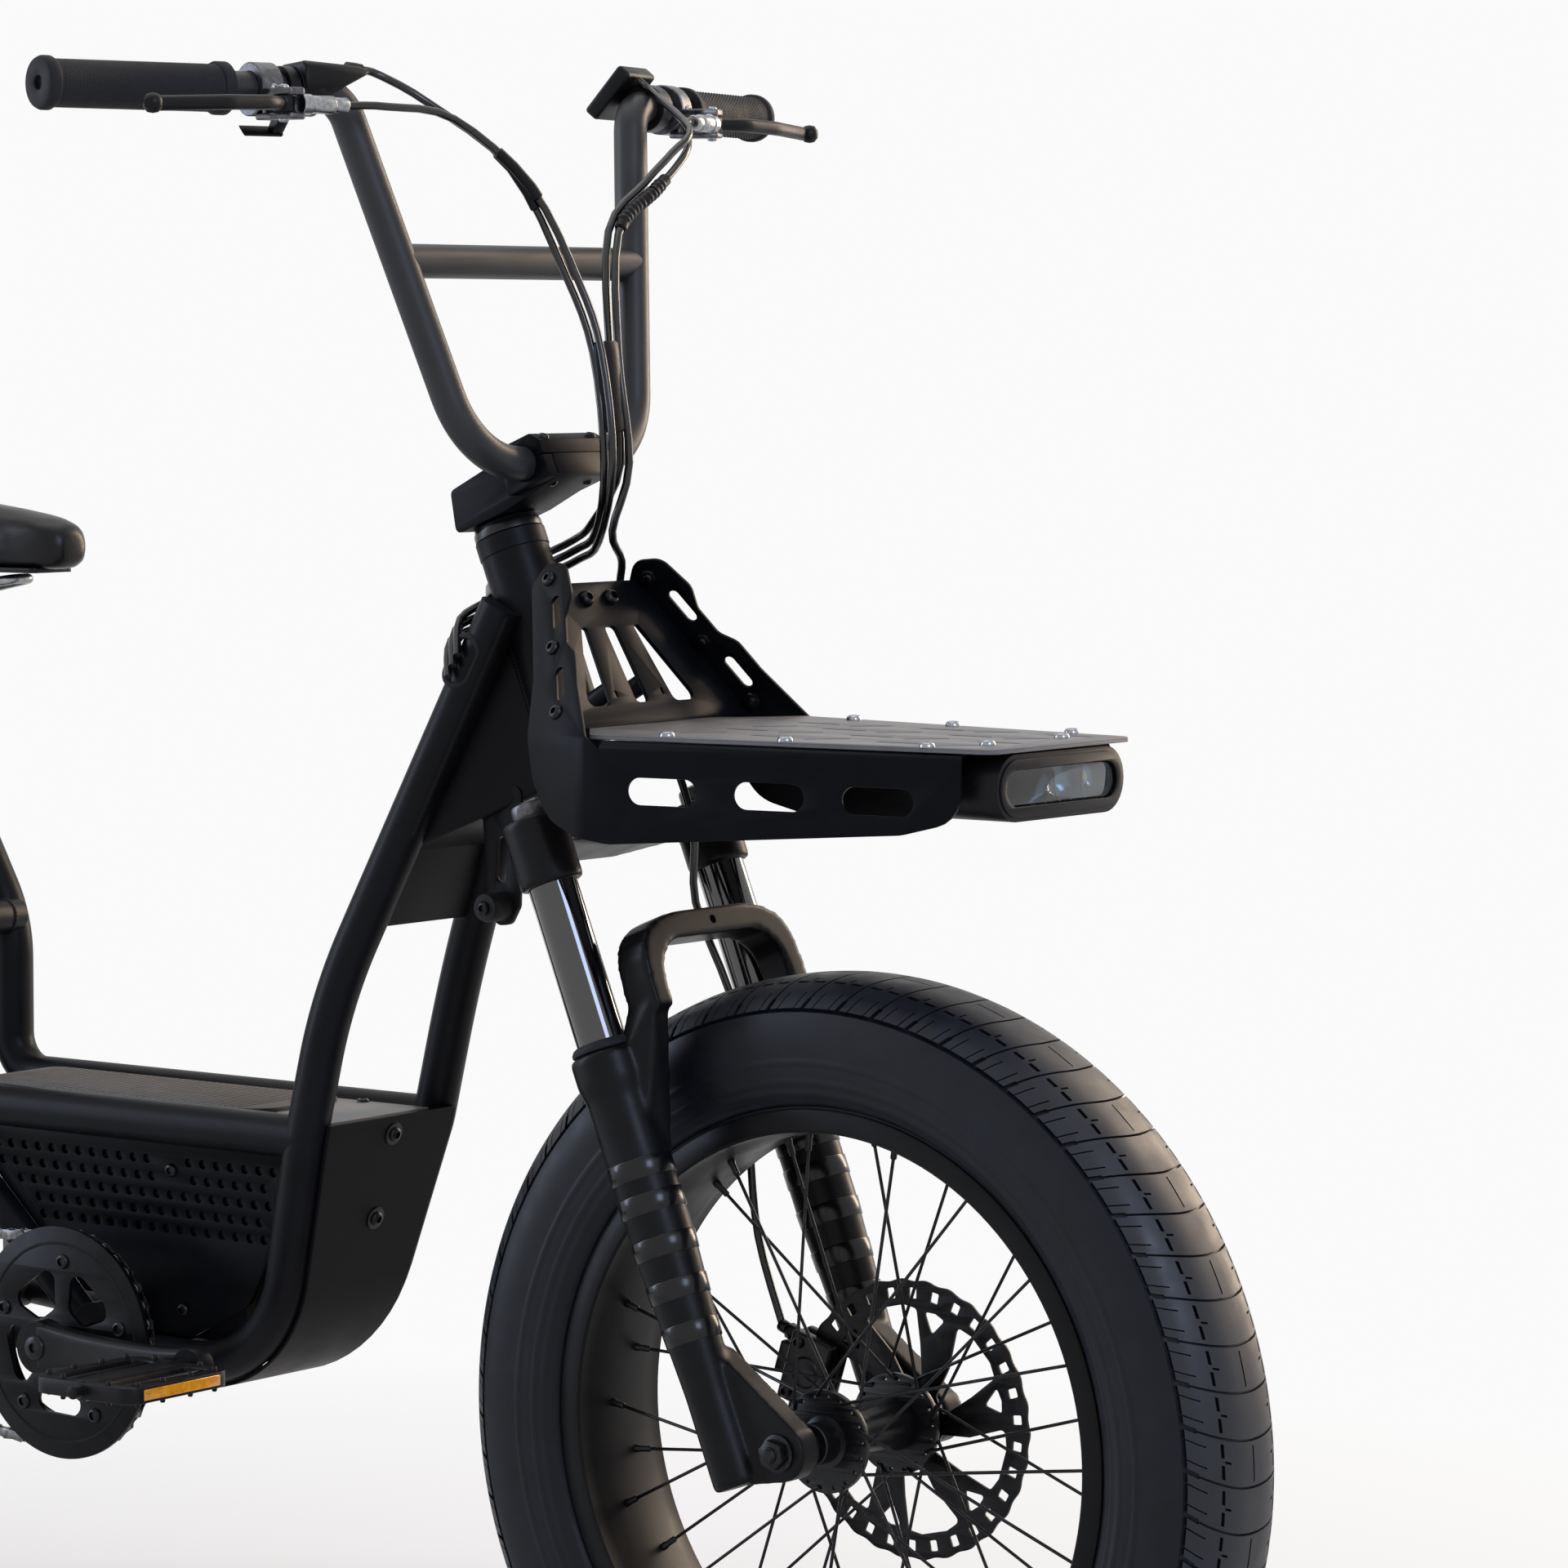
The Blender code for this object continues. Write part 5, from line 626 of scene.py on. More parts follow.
def neck(k):
    ring = [(0.598, 0.052, 0.021), (0.596, 0.022, 0.0335), (0.596, -0.014, 0.0335), (0.589, -0.036, 0.014)]
    inner, wrap, end = (onDown(z + 0.007 * k) for z in (0.782, 0.770, 0.757))
    return [steer(s + 0.0066 * k, n, y) for s, n, y in ring] + [
        inner + overTube * (0.0185 + 0.002 * k) + yAxis * 0.0145, wrap + overTube * (wrapR + 0.0045) - yAxis * 0.005,
        end + Vector((-0.004, -wrapR - 0.0012, 0))]


def spotsAt(*rows):
    return [Vector(r) for r in rows]


forkRun = [(0.582, 0.058, 0.030), (0.566, 0.040, 0.042), (0.530, 0.0355, 0.043), (0.460, 0.040, 0.043),
           (0.405, 0.038, 0.044), (0.360, 0.020, 0.046), (0.300, 0.0170, 0.0555), (0.253, 0.0100, 0.0590),
           (0.203, -0.0075, 0.0600), (0.145, -0.0235, 0.0600), (0.085, -0.0262, 0.0600)]
routes = {
    "cable_brake_rear": [barrelEnd, barrelEnd - outR * 0.030] + spotsAt(
        (0.306, -0.090, 1.112), (0.328, -0.040, 1.070), (0.346, -0.014, 1.010)) + bundled(-0.0085, 0.003) + neck(0),
    "cable_throttle": [podExit, podExit - outR * 0.014 - zAxis * 0.003] + spotsAt(
        (0.292, -0.098, 1.122), (0.317, -0.046, 1.082), (0.338, -0.018, 1.015)) + bundled(-0.0085, -0.004) + neck(1),
    "cable_display": [displayExit, displayExit - screenFace * 0.014] + spotsAt(
        (0.317, 0.139, 1.112), (0.3226, 0.113, 1.0955), (0.3228, 0.084, 1.0755), (0.3248, 0.043, 1.043))
    + bundled(0.0085, -0.004) + neck(2),
    "cable_brake_front": [leftBarrel, leftBarrel - leftOut * 0.010 - zAxis * 0.002] + spotsAt(
        (0.319, 0.135, 1.100), (0.3256, 0.112, 1.085), (0.3288, 0.085, 1.069), (0.3313, 0.045, 1.041)) + bundled(0.0085, 0.003) + spotsAt((0.355, 0.0085, 0.851))
    + [steer(*p) for p in forkRun],
}
sleeves = {"cable_brake_rear": (0.124, 0.166, 0.0036, 0), "cable_throttle": (0.106, 0.152, 0.0036, 0),
           "cable_brake_front": (0.095, 0.158, 0.0042, 0.0006)}


def runLength(points):
    return sum((b - a).length for a, b in zip(points, points[1:]))


def partOf(points, low, high, step=0.0011):
    out, gone = [], 0.0
    for a, b in zip(points, points[1:]):
        span = (b - a).length
        t = max(0.0, (low - gone) / span)
        while t <= 1.0 and gone + t * span <= high:
            out.append(a.lerp(b, t))
            t += step / span
        gone += span
    return out


cordPaths = {}
for name, route in routes.items():
    path = smoothPath(route, cable["steps"])
    cordPaths[name] = path
    cordPiece = place(name + "_cord", tubeAlong(path, cable["radius"], cable["sides"]), "cableJacket", None, (name,),
                      "cable_skin", 60)
    if name == "cable_brake_front":
        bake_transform(cordPiece)
    else:
        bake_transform(cordPiece)
    if name in sleeves:
        low, high, girth, rib = sleeves[name]
        body = partOf(path, low, high)
        last = len(body) - 1
        ribs = [girth + (rib if k % 4 < 2 and 6 < k < last - 5 else 0.0) - (0.0010 if k in (0, last) else 0.0) for k in range(last + 1)]
        place(name + "_connector", tubeAlong(body, ribs, 18), "mouldedNylon", "steering", (), "black_plastic", 40)
bandMid = [Vector((0.357, 0.0, 0.965)), Vector((0.3660, 0.0, 0.895))]
bandRun = [bandMid[0].lerp(bandMid[1], t) for t in (-0.10, -0.08, 0.0, 0.2, 0.4, 0.6, 0.70, 0.72)]
place("cable_sleeve", tubeAlong(bandRun, [0.0092, 0.0104, 0.0108, 0.0108, 0.0108, 0.0108, 0.0104, 0.0092], 28, 0.62, yAxis),
      "mouldedNylon", "steering", (), "cable_skin", 50)
print("cords laid:", {k: round(runLength(v), 3) for k, v in cordPaths.items()})

# Wheels.
wheel = {"radius": 0.290, "halfWidth": 0.0496, "rimR": 0.208, "bedR": 0.1965, "rimHalf": 0.042, "wall": 0.0032,
         "wideR": 0.2415, "crown": 2.75, "groove": 0.0026, "pitches": 64, "spokes": 36, "spokeR": 0.0011}


def crownAt(w):
    # w from -1 to 1 goes from the left widest point over the crown to the right one.
    a = w * math.pi / 2
    c, s = math.cos(a), math.sin(a)
    p = 2 / wheel["crown"]
    y = wheel["halfWidth"] * abs(s) ** p * (1 if s > 0 else -1)
    r = wheel["wideR"] + (wheel["radius"] - wheel["wideR"]) * abs(c) ** p
    return r, y


arcTable = [(0.0, 0.0)]
for k in range(1, 401):
    (r0, y0), (r1, y1) = crownAt((k - 1) / 400), crownAt(k / 400)
    arcTable.append((arcTable[-1][0] + math.hypot(r1 - r0, y1 - y0), k / 400))


def crownMm(mm):
    want = abs(mm) / 1000
    for (s0, w0), (s1, w1) in zip(arcTable, arcTable[1:]):
        if s1 >= want:
            return (w0 + (w1 - w0) * (want - s0) / (s1 - s0)) * (1 if mm >= 0 else -1)
    return 1.0 if mm >= 0 else -1.0


def crownPoint(mm, sink):
    w = crownMm(mm)
    r, y = crownAt(w)
    r2, y2 = crownAt(w + 0.002)
    r1, y1 = crownAt(w - 0.002)
    n = Vector((-(y1 - y2), r1 - r2)).normalized()
    if n.x < 0:
        n = -n
    return r - n.x * sink, y - n.y * sink


treadHalf = 52.0
pitchAngle = math.tau / wheel["pitches"]


tread = {"curl": 0.55, "rows": (0.6, 8, 15, 22, 27, 29.4, 34, 39, 44, 51),
         "shares": (0, 0.028, 0.06, 0.12, 0.235, 0.27, 0.42, 0.475, 0.525, 0.58, 0.695, 0.73, 0.88, 0.94, 0.972)}


def isGroove(w, u):
    # Sipes of the photo's tread: pitch lines, a dashed row, cross slits, shoulder slits and a centre slit.
    share, side = u % 1, abs(w)
    edge = 0.06 if side > 44 else 0.028
    dash = 27 < side < 29.4 and (0.12 < share < 0.42 or 0.58 < share < 0.88)
    cross = 22 < side < 27 and 0.475 < share < 0.525
    shoulder = side > 39 and (0.235 < share < 0.27 or 0.695 < share < 0.73)
    return share < edge or share > 1 - edge or dash or cross or shoulder or (side < 0.6 and u < 1 and 0.12 < share < 0.88)


def treadPatch():
    # Two pitches of tread as one closed skin with the grooves left open.
    wides = [-w for w in reversed(tread["rows"])] + list(tread["rows"])
    shares = [k + s for k in (0, 1) for s in tread["shares"]] + [2.0]
    verts, faces, across = [], [], len(shares)
    for sink in (0.0, wheel["groove"] + 0.0008):
        for w in wides:
            r, y = crownPoint(w, sink)
            lean = tread["curl"] * (abs(w) / treadHalf) ** 2
            verts += [(math.cos((u + lean) * pitchAngle) * r, y, math.sin((u + lean) * pitchAngle) * r) for u in shares]
    low = len(wides) * across
    solid = {(i, j) for i in range(len(wides) - 1) for j in range(across - 1)
             if not isGroove((wides[i] + wides[i + 1]) / 2, (shares[j] + shares[j + 1]) / 2)}
    for i, j in sorted(solid):
        a, b, c, d = i * across + j, i * across + j + 1, (i + 1) * across + j + 1, (i + 1) * across + j
        faces += [(a, b, c, d), (low + d, low + c, low + b, low + a)]
        for next, p, q in (((i - 1, j), a, b), ((i, j + 1), b, c), ((i + 1, j), c, d), ((i, j - 1), d, a)):
            if next not in solid:
                faces.append((q, p, low + p, low + q))
    mesh = bpy.data.meshes.new("tread")
    mesh.from_pydata(verts, [], faces)
    return merged(mesh)


def tyreMeshes():
    outer = []
    for k in range(0, 61):
        w = -1 + 2 * k / 60
        mm = arcTable[int(min(400, abs(w) * 400))][0] * 1000
        inside = max(0.0, min(1.0, (treadHalf + 1.5 - mm) / 1.5))
        r, y = crownAt(w)
        c = math.cos(w * math.pi / 2)
        sink = wheel["groove"] * inside
        outer.append((r - sink * max(0.25, c), y - sink * math.sin(w * math.pi / 2)))
    side = []
    beadY = wheel["rimHalf"] - wheel["wall"] - 0.0003
    for k in range(1, 19):
        t = k / 18
        r = wheel["wideR"] + (wheel["rimR"] + 0.0015 - wheel["wideR"]) * t
        y = beadY + 0.0012 + (wheel["halfWidth"] - beadY - 0.0012) * math.sqrt(max(0.0, 1 - t ** 2.6))
        rib = 0.0007 if k in (2, 9, 13) else 0.0
        side.append((r, y + rib))
    side += [(wheel["bedR"] + 0.0005, beadY), (wheel["bedR"] + 0.0005, beadY - 0.006)]
    inner = [(wheel["rimR"] + 0.030, 0.040), (wheel["rimR"] + 0.060, 0.030), (wheel["rimR"] + 0.073, 0.010)]
    profile = [(r, -y) for r, y in reversed(side)] + outer + side + inner + [(r, -y) for r, y in reversed(inner)]
    carcass = turned([(r, y) for r, y in profile], Vector((0, 0, 0)), yAxis, 120, True)
    return carcass, repeatRound(treadPatch(), wheel["pitches"] // 2, (0, 0, 0), "tyreRubberCoolTint")


def moved(mesh, offset):
    out = mesh.copy()
    out.transform(Matrix.Translation(offset))
    return out


carcass, treadRing = tyreMeshes()
bedIn = wheel["bedR"] - wheel["wall"]
rimLine = [(bedIn, 0.0405), (bedIn + 0.0016, 0.042), (wheel["rimR"] - 0.0012, 0.042), (wheel["rimR"], 0.0410),
           (wheel["rimR"], 0.0392), (wheel["rimR"] - 0.0008, 0.0388), (wheel["bedR"], 0.0386), (wheel["bedR"] - 0.0022, 0.024),
           (wheel["bedR"] - 0.0022, 0.0)]
rimLine += [(r, -y) for r, y in reversed(rimLine[:-1])]
innerLine = [(bedIn - 0.0004, -0.030), (bedIn - 0.0030, -0.022), (bedIn - 0.0030, 0.022), (bedIn - 0.0004, 0.030)]
rimMesh = turned(rimLine + innerLine, Vector((0, 0, 0)), yAxis, 144, True)


def spokeSet(flangeR, flangeY, twist):
    rods, nipples = [], []
    for k in range(4):
        side = 1 if k % 2 else -1
        lean = 1 if k // 2 else -1
        a = math.tau * k / wheel["spokes"]
        b = a + lean * twist
        start = Vector((math.cos(b) * flangeR, side * (flangeY + lean * 0.0030), math.sin(b) * flangeR))
        stop = Vector((math.cos(a) * (bedIn - 0.001), side * 0.010, math.sin(a) * (bedIn - 0.001)))
        run = (stop - start).normalized()
        hook = [start - yAxis * (side * lean * 0.0045), start - yAxis * (side * lean * 0.0010), start + run * 0.004]
        rods.append(tubeAlong(hook + [stop - run * 0.006], wheel["spokeR"], 8))
        nipples.append(turned([(0, 0.0), (0.0015, 0.0), (0.0021, 0.0008), (0.0021, 0.008), (0.0026, 0.0088), (0.0026, 0.0125),
                               (0.0, 0.0125)], stop - run * 0.0130, run, 10))
    return joined(*rods), joined(*nipples)


def rotorMesh(y0):
    waves, windows = 30, []
    rim = []
    for k in range(waves * 8):
        a = math.tau * k / (waves * 8)
        rim.append(((0.0893 + 0.0007 * math.cos(waves * a)) * math.cos(a), (0.0893 + 0.0007 * math.cos(waves * a)) * math.sin(a)))
    for k in range(waves):
        a = math.tau * (k + 0.5) / waves
        half = 0.0030
        box = [(0.0775, -half), (0.0845, -half), (0.0845, half), (0.0775, half)]
        box = filletLoop(box, 0.0009, 2)
        windows.append([(r * math.cos(a) - t * math.sin(a), r * math.sin(a) + t * math.cos(a)) for r, t in box])
    for k in range(6):
        a = math.tau * k / 6
        arms = [(0.0245, 0.20), (0.0245, 0.74), (0.045, 0.90), (0.0715, 1.07), (0.0735, 0.90), (0.0735, 0.62), (0.0715, 0.48),
                (0.050, 0.40)]
        loop = [(r * math.cos(a + t), r * math.sin(a + t)) for r, t in arms]
        windows.append(filletLoop(loop, 0.0030, 3))
        tip = [(0.0575, 0.265), (0.0705, 0.400), (0.0715, 0.275), (0.0700, 0.160)]
        loop = [(r * math.cos(a + t), r * math.sin(a + t)) for r, t in tip]
        windows.append(filletLoop(loop, 0.0016, 3))
        windows.append(ringLoop(0.0195 * math.cos(a + 0.5), 0.0195 * math.sin(a + 0.5), 0.0026, 12))
    return plateMesh([rim, ringLoop(0, 0, 0.0136, 40)] + windows, Vector((0, 0, 0)), xAxis, zAxis, -y0 - 0.002, -y0, 0.0003)


def flangeMesh(radius, bore, y, holes):
    loops = [ringLoop(0, 0, radius, 64), ringLoop(0, 0, bore, 40)]
    loops += [ringLoop((radius - 0.0035) * math.cos(a), (radius - 0.0035) * math.sin(a), 0.0014, 10)
              for a in [math.tau * (k + 0.25) / holes for k in range(holes)]]
    return plateMesh(loops, Vector((0, 0, 0)), xAxis, zAxis, -y - 0.0019, -y + 0.0019, 0.0004)


hubLine = [(0.0053, 0.0545), (0.0125, 0.0545), (0.0133, 0.0538), (0.0133, 0.0405), (0.0165, 0.0396), (0.0168, 0.034),
           (0.0158, 0.030), (0.0150, 0.018), (0.0146, 0.0)]
hubLine += [(r, -y) for r, y in reversed(hubLine[:-1])]
seatRing = [(0.0134, 0.0545), (0.0225, 0.0545), (0.0230, 0.0540), (0.0230, 0.0500), (0.0180, 0.0470), (0.0134, 0.0465)]
hubFront = joined(turned(hubLine, Vector((0, 0, 0)), yAxis, 56, True), turned(seatRing, Vector((0, 0, 0)), yAxis, 56, True),
                  flangeMesh(0.0325, 0.0150, 0.0377, 18), flangeMesh(0.0325, 0.0150, -0.0377, 18))
motorLine = [(0.0064, 0.0755), (0.0218, 0.0755), (0.0225, 0.0748), (0.0225, 0.060), (0.030, 0.0575), (0.0484, 0.0525),
             (0.075, 0.0490), (0.0830, 0.0465), (0.0868, 0.0420), (0.0876, 0.0360), (0.0880, 0.0300), (0.0880, 0.0)]
motorRight = [(0.0064, -0.0822), (0.0214, -0.0822), (0.0220, -0.0815), (0.0220, -0.060)] + [(r, -y) for r, y in motorLine[4:-1]]
hubRear = joined(turned(motorLine + list(reversed(motorRight)), Vector((0, 0, 0)), yAxis, 72, True),
                 flangeMesh(0.094, 0.080, 0.0377, 18), flangeMesh(0.094, 0.080, -0.0377, 18))
ribs = [blockMesh(Vector((0.060, side * 0.0512, 0)), xAxis, yAxis, (-0.018, -0.0012, -0.0016), (0.018, 0.0012, 0.0016), 0.0006)
        for side in (1, -1)]
motorRibs = repeatRound(joined(*ribs), 12, (0, 0, 0), "anodisedAlloy")
rotorBolt = boltHead(0.0042, 0.0028)
for side, centre, hubMesh, flangeR, twist, hubNode, discY in (
        ("front", frontAxle, hubFront, 0.0290, 0.72, "front_hub", 0.0548),
        ("rear", rearAxle, joined(hubRear, motorRibs), 0.0905, 0.30, "rear_hub_motor", 0.0758)):
    body = side + "_wheel"
    place(side + "_tyre_carcass", moved(carcass, centre), "sidewallRubberPaintedShade", body, (side + "_tyre",), "tyre_rubber", 50)
    place(side + "_tyre_tread", moved(treadRing, centre), "tyreRubberCoolTint", body, (side + "_tyre",), "tyre_rubber", 32)
    place(side + "_rim_hoop", moved(rimMesh, centre), "rimPaint", body, (side + "_rim",), "rim_coat", 40)
    place(side + "_hub_shell", moved(hubMesh, centre), "anodisedAlloy", body, (hubNode,), "hub_coat", 35)
    rods, nipples = spokeSet(flangeR, 0.0377, twist)
    place(side + "_spokes", moved(repeatRound(rods, wheel["spokes"] // 4, (0, 0, 0), "blackOxide"), centre), "blackOxide", body,
          (hubNode,), "hub_coat", 60)
    place(side + "_nipples", moved(repeatRound(nipples, wheel["spokes"] // 4, (0, 0, 0), "blackOxide"), centre), "blackOxide",
          body, (hubNode,), "hub_coat", 40)
    place(side + "_rotor_disc", moved(rotorMesh(discY), centre), "rotorSteel", body, (side + "_rotor",), "rotor_steel", 30)
    ringSpots = [(centre + Vector((0.0195 * math.cos(a), discY + 0.002, 0.0195 * math.sin(a))), yAxis)
                 for a in [math.tau * k / 6 + 0.5 for k in range(6)]]
    place(side + "_rotor_bolts", seatItems(rotorBolt, ringSpots, "blackOxide"), "blackOxide", body, (), "axle_steel", 40)
print("wheels made")

# Axles with nuts.
nutItem = hexNut(0.0098, 0.0068)
for side, centre, radius, hubEnds, dropIn, dropT, body in (
        ("front", frontAxle, 0.005, (0.0545, 0.0545), 0.0675, 0.020, "fork_slider"),
        ("rear", rearAxle, 0.006, (0.0755, 0.0822), 0.0985, 0.008, "frame")):
    end = dropIn + dropT + 0.0103
    shaft = [rod(centre - yAxis * end, centre + yAxis * end, radius, 28)]
    for sign, hubEnd in ((1, hubEnds[0]), (-1, hubEnds[1])):
        shaft.append(turned([(radius, hubEnd + 0.0003), (radius + 0.0036, hubEnd + 0.0003), (radius + 0.004, hubEnd + 0.0008),
                             (radius + 0.004, dropIn - 0.0008), (radius + 0.0036, dropIn - 0.0003), (radius, dropIn - 0.0003)],
                            centre, yAxis * sign, 32))
        shaft.append(turned([(radius, 0), (0.0115, 0), (0.0118, 0.0004), (0.0118, 0.0014), (0.0112, 0.0018), (radius, 0.0018)],
                            centre + yAxis * (sign * (dropIn + dropT + 0.0002)), yAxis * sign, 32))
    place(side + "_axle_shaft", joined(*shaft), "boltSteel" if side == "rear" else "blackOxide", body, (side + "_axle",), "axle_steel")
    nutSpots = [(centre + yAxis * (s * (dropIn + dropT + 0.0018)), yAxis * s) for s in (1, -1)]
    place(side + "_axle_nuts", seatItems(nutItem, nutSpots, "blackOxide"), "blackOxide", body, (side + "_axle",), "axle_steel", 30)


def caliperMeshes(centre, angle, yMid):
    out = Vector((math.cos(angle), 0, math.sin(angle)))
    run = Vector((-math.sin(angle), 0, math.cos(angle)))
    mid = centre + out * 0.080 + yAxis * yMid
    halves = [blockMesh(mid, out, run, (-0.0155, -0.0235, -0.0098), (0.0175, 0.0235, -0.0026), 0.0022),
              blockMesh(mid, out, run, (-0.0155, -0.0235, 0.0026), (0.0175, 0.0235, 0.0122), 0.0024),
              blockMesh(mid, out, run, (0.0136, -0.0225, -0.0050), (0.0172, 0.0225, 0.0050), 0.0010),
              blockMesh(mid, out, run, (0.012, -0.0095, -0.0083), (0.0295, 0.0115, 0.0038), 0.0016)]
    sign = 1 if (out.cross(run)).y > 0 else -1
    face = mid + yAxis * sign * 0.0122
    halves.append(turned([(0, 0.0016), (0.0085, 0.0016), (0.0100, 0.0008), (0.0105, 0.0), (0, 0)], face, yAxis * sign, 32))
    inlet = mid + out * 0.004 + yAxis * (sign * 0.0076)
    halves.append(rod(inlet + run * 0.021, inlet + run * 0.033, 0.0042, 18))
    bolts = [(mid + out * 0.010 + run * t + yAxis * sign * 0.0120, yAxis * sign) for t in (-0.017, 0.017)]
    return joined(*halves), seatItems(boltHead(0.0040, 0.0034), bolts, "blackOxide")


for side, centre, angle, yMid, body in (("front", frontAxle, 163, 0.0558, "fork_slider"), ("rear", rearAxle, 42, 0.0768, "frame")):
    main, bolts = caliperMeshes(centre, math.radians(angle), yMid)
    place(side + "_caliper_body", main, "anodisedAlloy", body, (side + "_caliper",), "hub_coat")
    place(side + "_caliper_bolts", bolts, "blackOxide", body, (side + "_caliper",), "axle_steel", 40)
hoseEnd, bodyAt = steer(0.085, -0.0262, 0.060), Vector((0.4688, 0.0590, 0.3330))
hoseNut = joined(rod(hoseEnd.lerp(bodyAt, -0.10), hoseEnd.lerp(bodyAt, 0.30), 0.0042, 20), rod(hoseEnd, bodyAt, 0.0031, 20),
                 plateMesh([ringLoop(0, 0, 0.0056, 6)], hoseEnd.lerp(bodyAt, 0.55), yAxis, (bodyAt - hoseEnd).cross(yAxis), -0.003, 0.003, 0.0004))
place("front_hose_fitting", hoseNut, "blackOxide", "fork_slider", (), "axle_steel", 35)
print("axles and calipers made")

# Fork.
fork = {"legN": 0.017, "legHalf": 0.0866, "tubeR": 0.016, "bore": 0.0165, "crownLow": 0.383, "crownHigh": 0.427,
        "archTop": 0.346, "archHalf": 0.080, "archT": 0.017, "archBack": 0.039, "archFront": 0.064,
        "bands": (0.082, 0.110, 0.138, 0.166, 0.188), "bandWide": 0.0125}


def leg(s, y=-0.0866):
    return steer(s, fork["legN"], y)


legLine = [(0, 0.2715), (0.0212, 0.2720), (0.0228, 0.2705), (0.0230, 0.2680), (0.0230, 0.2540), (0.0224, 0.2500),
           (0.0208, 0.2420), (0.0205, 0.2300), (0.0205, 0.1500), (0.0196, 0.1300), (0.0170, 0.0720), (0.0160, 0.0500),
           (0.0160, -0.0090), (0.0150, -0.0112), (0, -0.0120)]
rightLeg = turned(legLine, leg(0), steerUp, 48)
inLeg = fork["archHalf"] - fork["archT"]
archOuter = [(0.080, 0.286), (0.080, 0.3060), (0.0785, 0.3190), (0.0745, 0.3290), (0.0670, 0.3370), (0.0560, 0.3425),
             (0.0440, 0.3452), (0.0300, 0.3460)]
archInner = [(inLeg, 0.286), (inLeg, 0.3010), (inLeg - 0.0015, 0.3110), (inLeg - 0.0060, 0.3190), (inLeg - 0.0140, 0.3260),
             (inLeg - 0.0250, 0.3288)]
archLoop = archOuter + [(-a, b) for a, b in reversed(archOuter)] + [(-a, b) for a, b in archInner] + list(reversed(archInner))
arch = plateMesh([archLoop], steer(0, 0), yAxis, steerUp, fork["archBack"], fork["archFront"], 0)
webPoints = ((0.296, 0.040, 0.079), (0.296, 0.063, 0.079), (0.296, 0.040, 0.064), (0.296, 0.063, 0.064),
             (0.165, 0.015, 0.0986), (0.165, 0.023, 0.0746), (0.205, 0.005, 0.0966), (0.245, 0.021, 0.0986),
             (0.245, 0.029, 0.0746))
web = hullMesh([steer(s, n, -y) for s, n, y in webPoints])
boss = ringLoop(0.054, 0, 0.0185, 28)
dropShape = [(0.017, 0.080), (0.031, 0.072), (0.017, -0.011)] + boss
dropBlock = hullMesh([steer(s, n, -y) for n, s in dropShape for y in (0.0675, 0.0875)])
lowers = castBlend(joined(rightLeg, mirrored(rightLeg), arch, bothSides(web), bothSides(dropBlock)), 0.0019, 7)
legBores = bothSides(rod(leg(0.106), leg(0.30), fork["bore"], 40))
axleBore = rod(frontAxle - yAxis * 0.12, frontAxle + yAxis * 0.12, 0.0053, 28)
ventAt = steer(0.3375, 0.064)
vent = turned([(0, 0.03), (0.0030, 0.03), (0.0030, -0.0075), (0, -0.0075)], ventAt, steerFwd, 20)
lowers = carved(lowers, legBores, axleBore, vent)
place("fork_lowers_casting", lowers, "castPaint", "fork_slider", ("fork_lowers",), "fork_coat", 50)


def legRadius(s):
    for (r0, s0), (r1, s1) in zip(legLine, legLine[1:]):
        if s1 <= s <= s0:
            return r1 + (r0 - r1) * (s - s1) / max(1e-9, s0 - s1)
    return 0.016


bandRings = []
for s in fork["bands"]:
    wide = fork["bandWide"]
    ends = [(legRadius(s + t) + 0.0006 - (0.0003 if t in (0, wide) else 0), s + t) for t in (0, 0.0004, wide / 2, wide - 0.0004, wide)]
    inside = [(legRadius(t) - 0.002, t) for t in (s + wide, s)]
    bandRings.append(turned(ends + inside, leg(0), steerUp, 48, True))
place("fork_gloss_bands", bothSides(joined(*bandRings)), "glossBand", "fork_slider", ("fork_lowers",), "gloss_tube", 40)
wiper = turned([(0.0165, 0.2722), (0.0192, 0.2722), (0.0205, 0.2732), (0.0205, 0.2752), (0.0190, 0.2775), (0.0172, 0.2785),
                (0.0165, 0.2780)], leg(0), steerUp, 40, True)
place("fork_wipers", bothSides(wiper), "gripRubber", "fork_slider", ("fork_lowers",), "grip_rubber", 40)
stanchion = turned([(0, 0.4205), (0.0160, 0.4205), (0.0160, 0.1700), (0.0150, 0.1690), (0, 0.1690)], leg(0), steerUp, 56)
place("stanchion_tube_right", stanchion, "polishedTube", "steering", ("stanchion_right",), "gloss_tube", 40)
place("stanchion_tube_left", mirrored(stanchion), "polishedTube", "steering", ("stanchion_left",), "gloss_tube", 40)
crownRows = [(0.408, 0.002, 0.0866), (0.408, 0.030, 0.0866), (0.419, 0.002, 0.0866), (0.419, 0.030, 0.0866),
             (0.426, -0.019, 0.022), (0.426, 0.022, 0.022), (0.404, -0.014, 0.020), (0.404, 0.020, 0.020)]
crownBar = hullMesh([steer(s, n, k * y) for k in (1, -1) for s, n, y in crownRows])
sockets = bothSides(turned([(0, 0.4270), (0.0185, 0.4270), (0.0202, 0.4255), (0.0205, 0.4230), (0.0205, 0.3860), (0.0200, 0.3832),
                            (0.0185, 0.3830), (0, 0.3830)], leg(0), steerUp, 40))
raceSeat = turned([(0, 0.4368), (0.0195, 0.4368), (0.0205, 0.4340), (0.0225, 0.4250), (0, 0.4200)], steer(0, 0), steerUp, 40)
crown = castBlend(joined(crownBar, sockets, raceSeat), 0.0016, 5)
crown = carved(crown, bothSides(rod(leg(0.36), leg(0.4210), 0.0163, 40)))
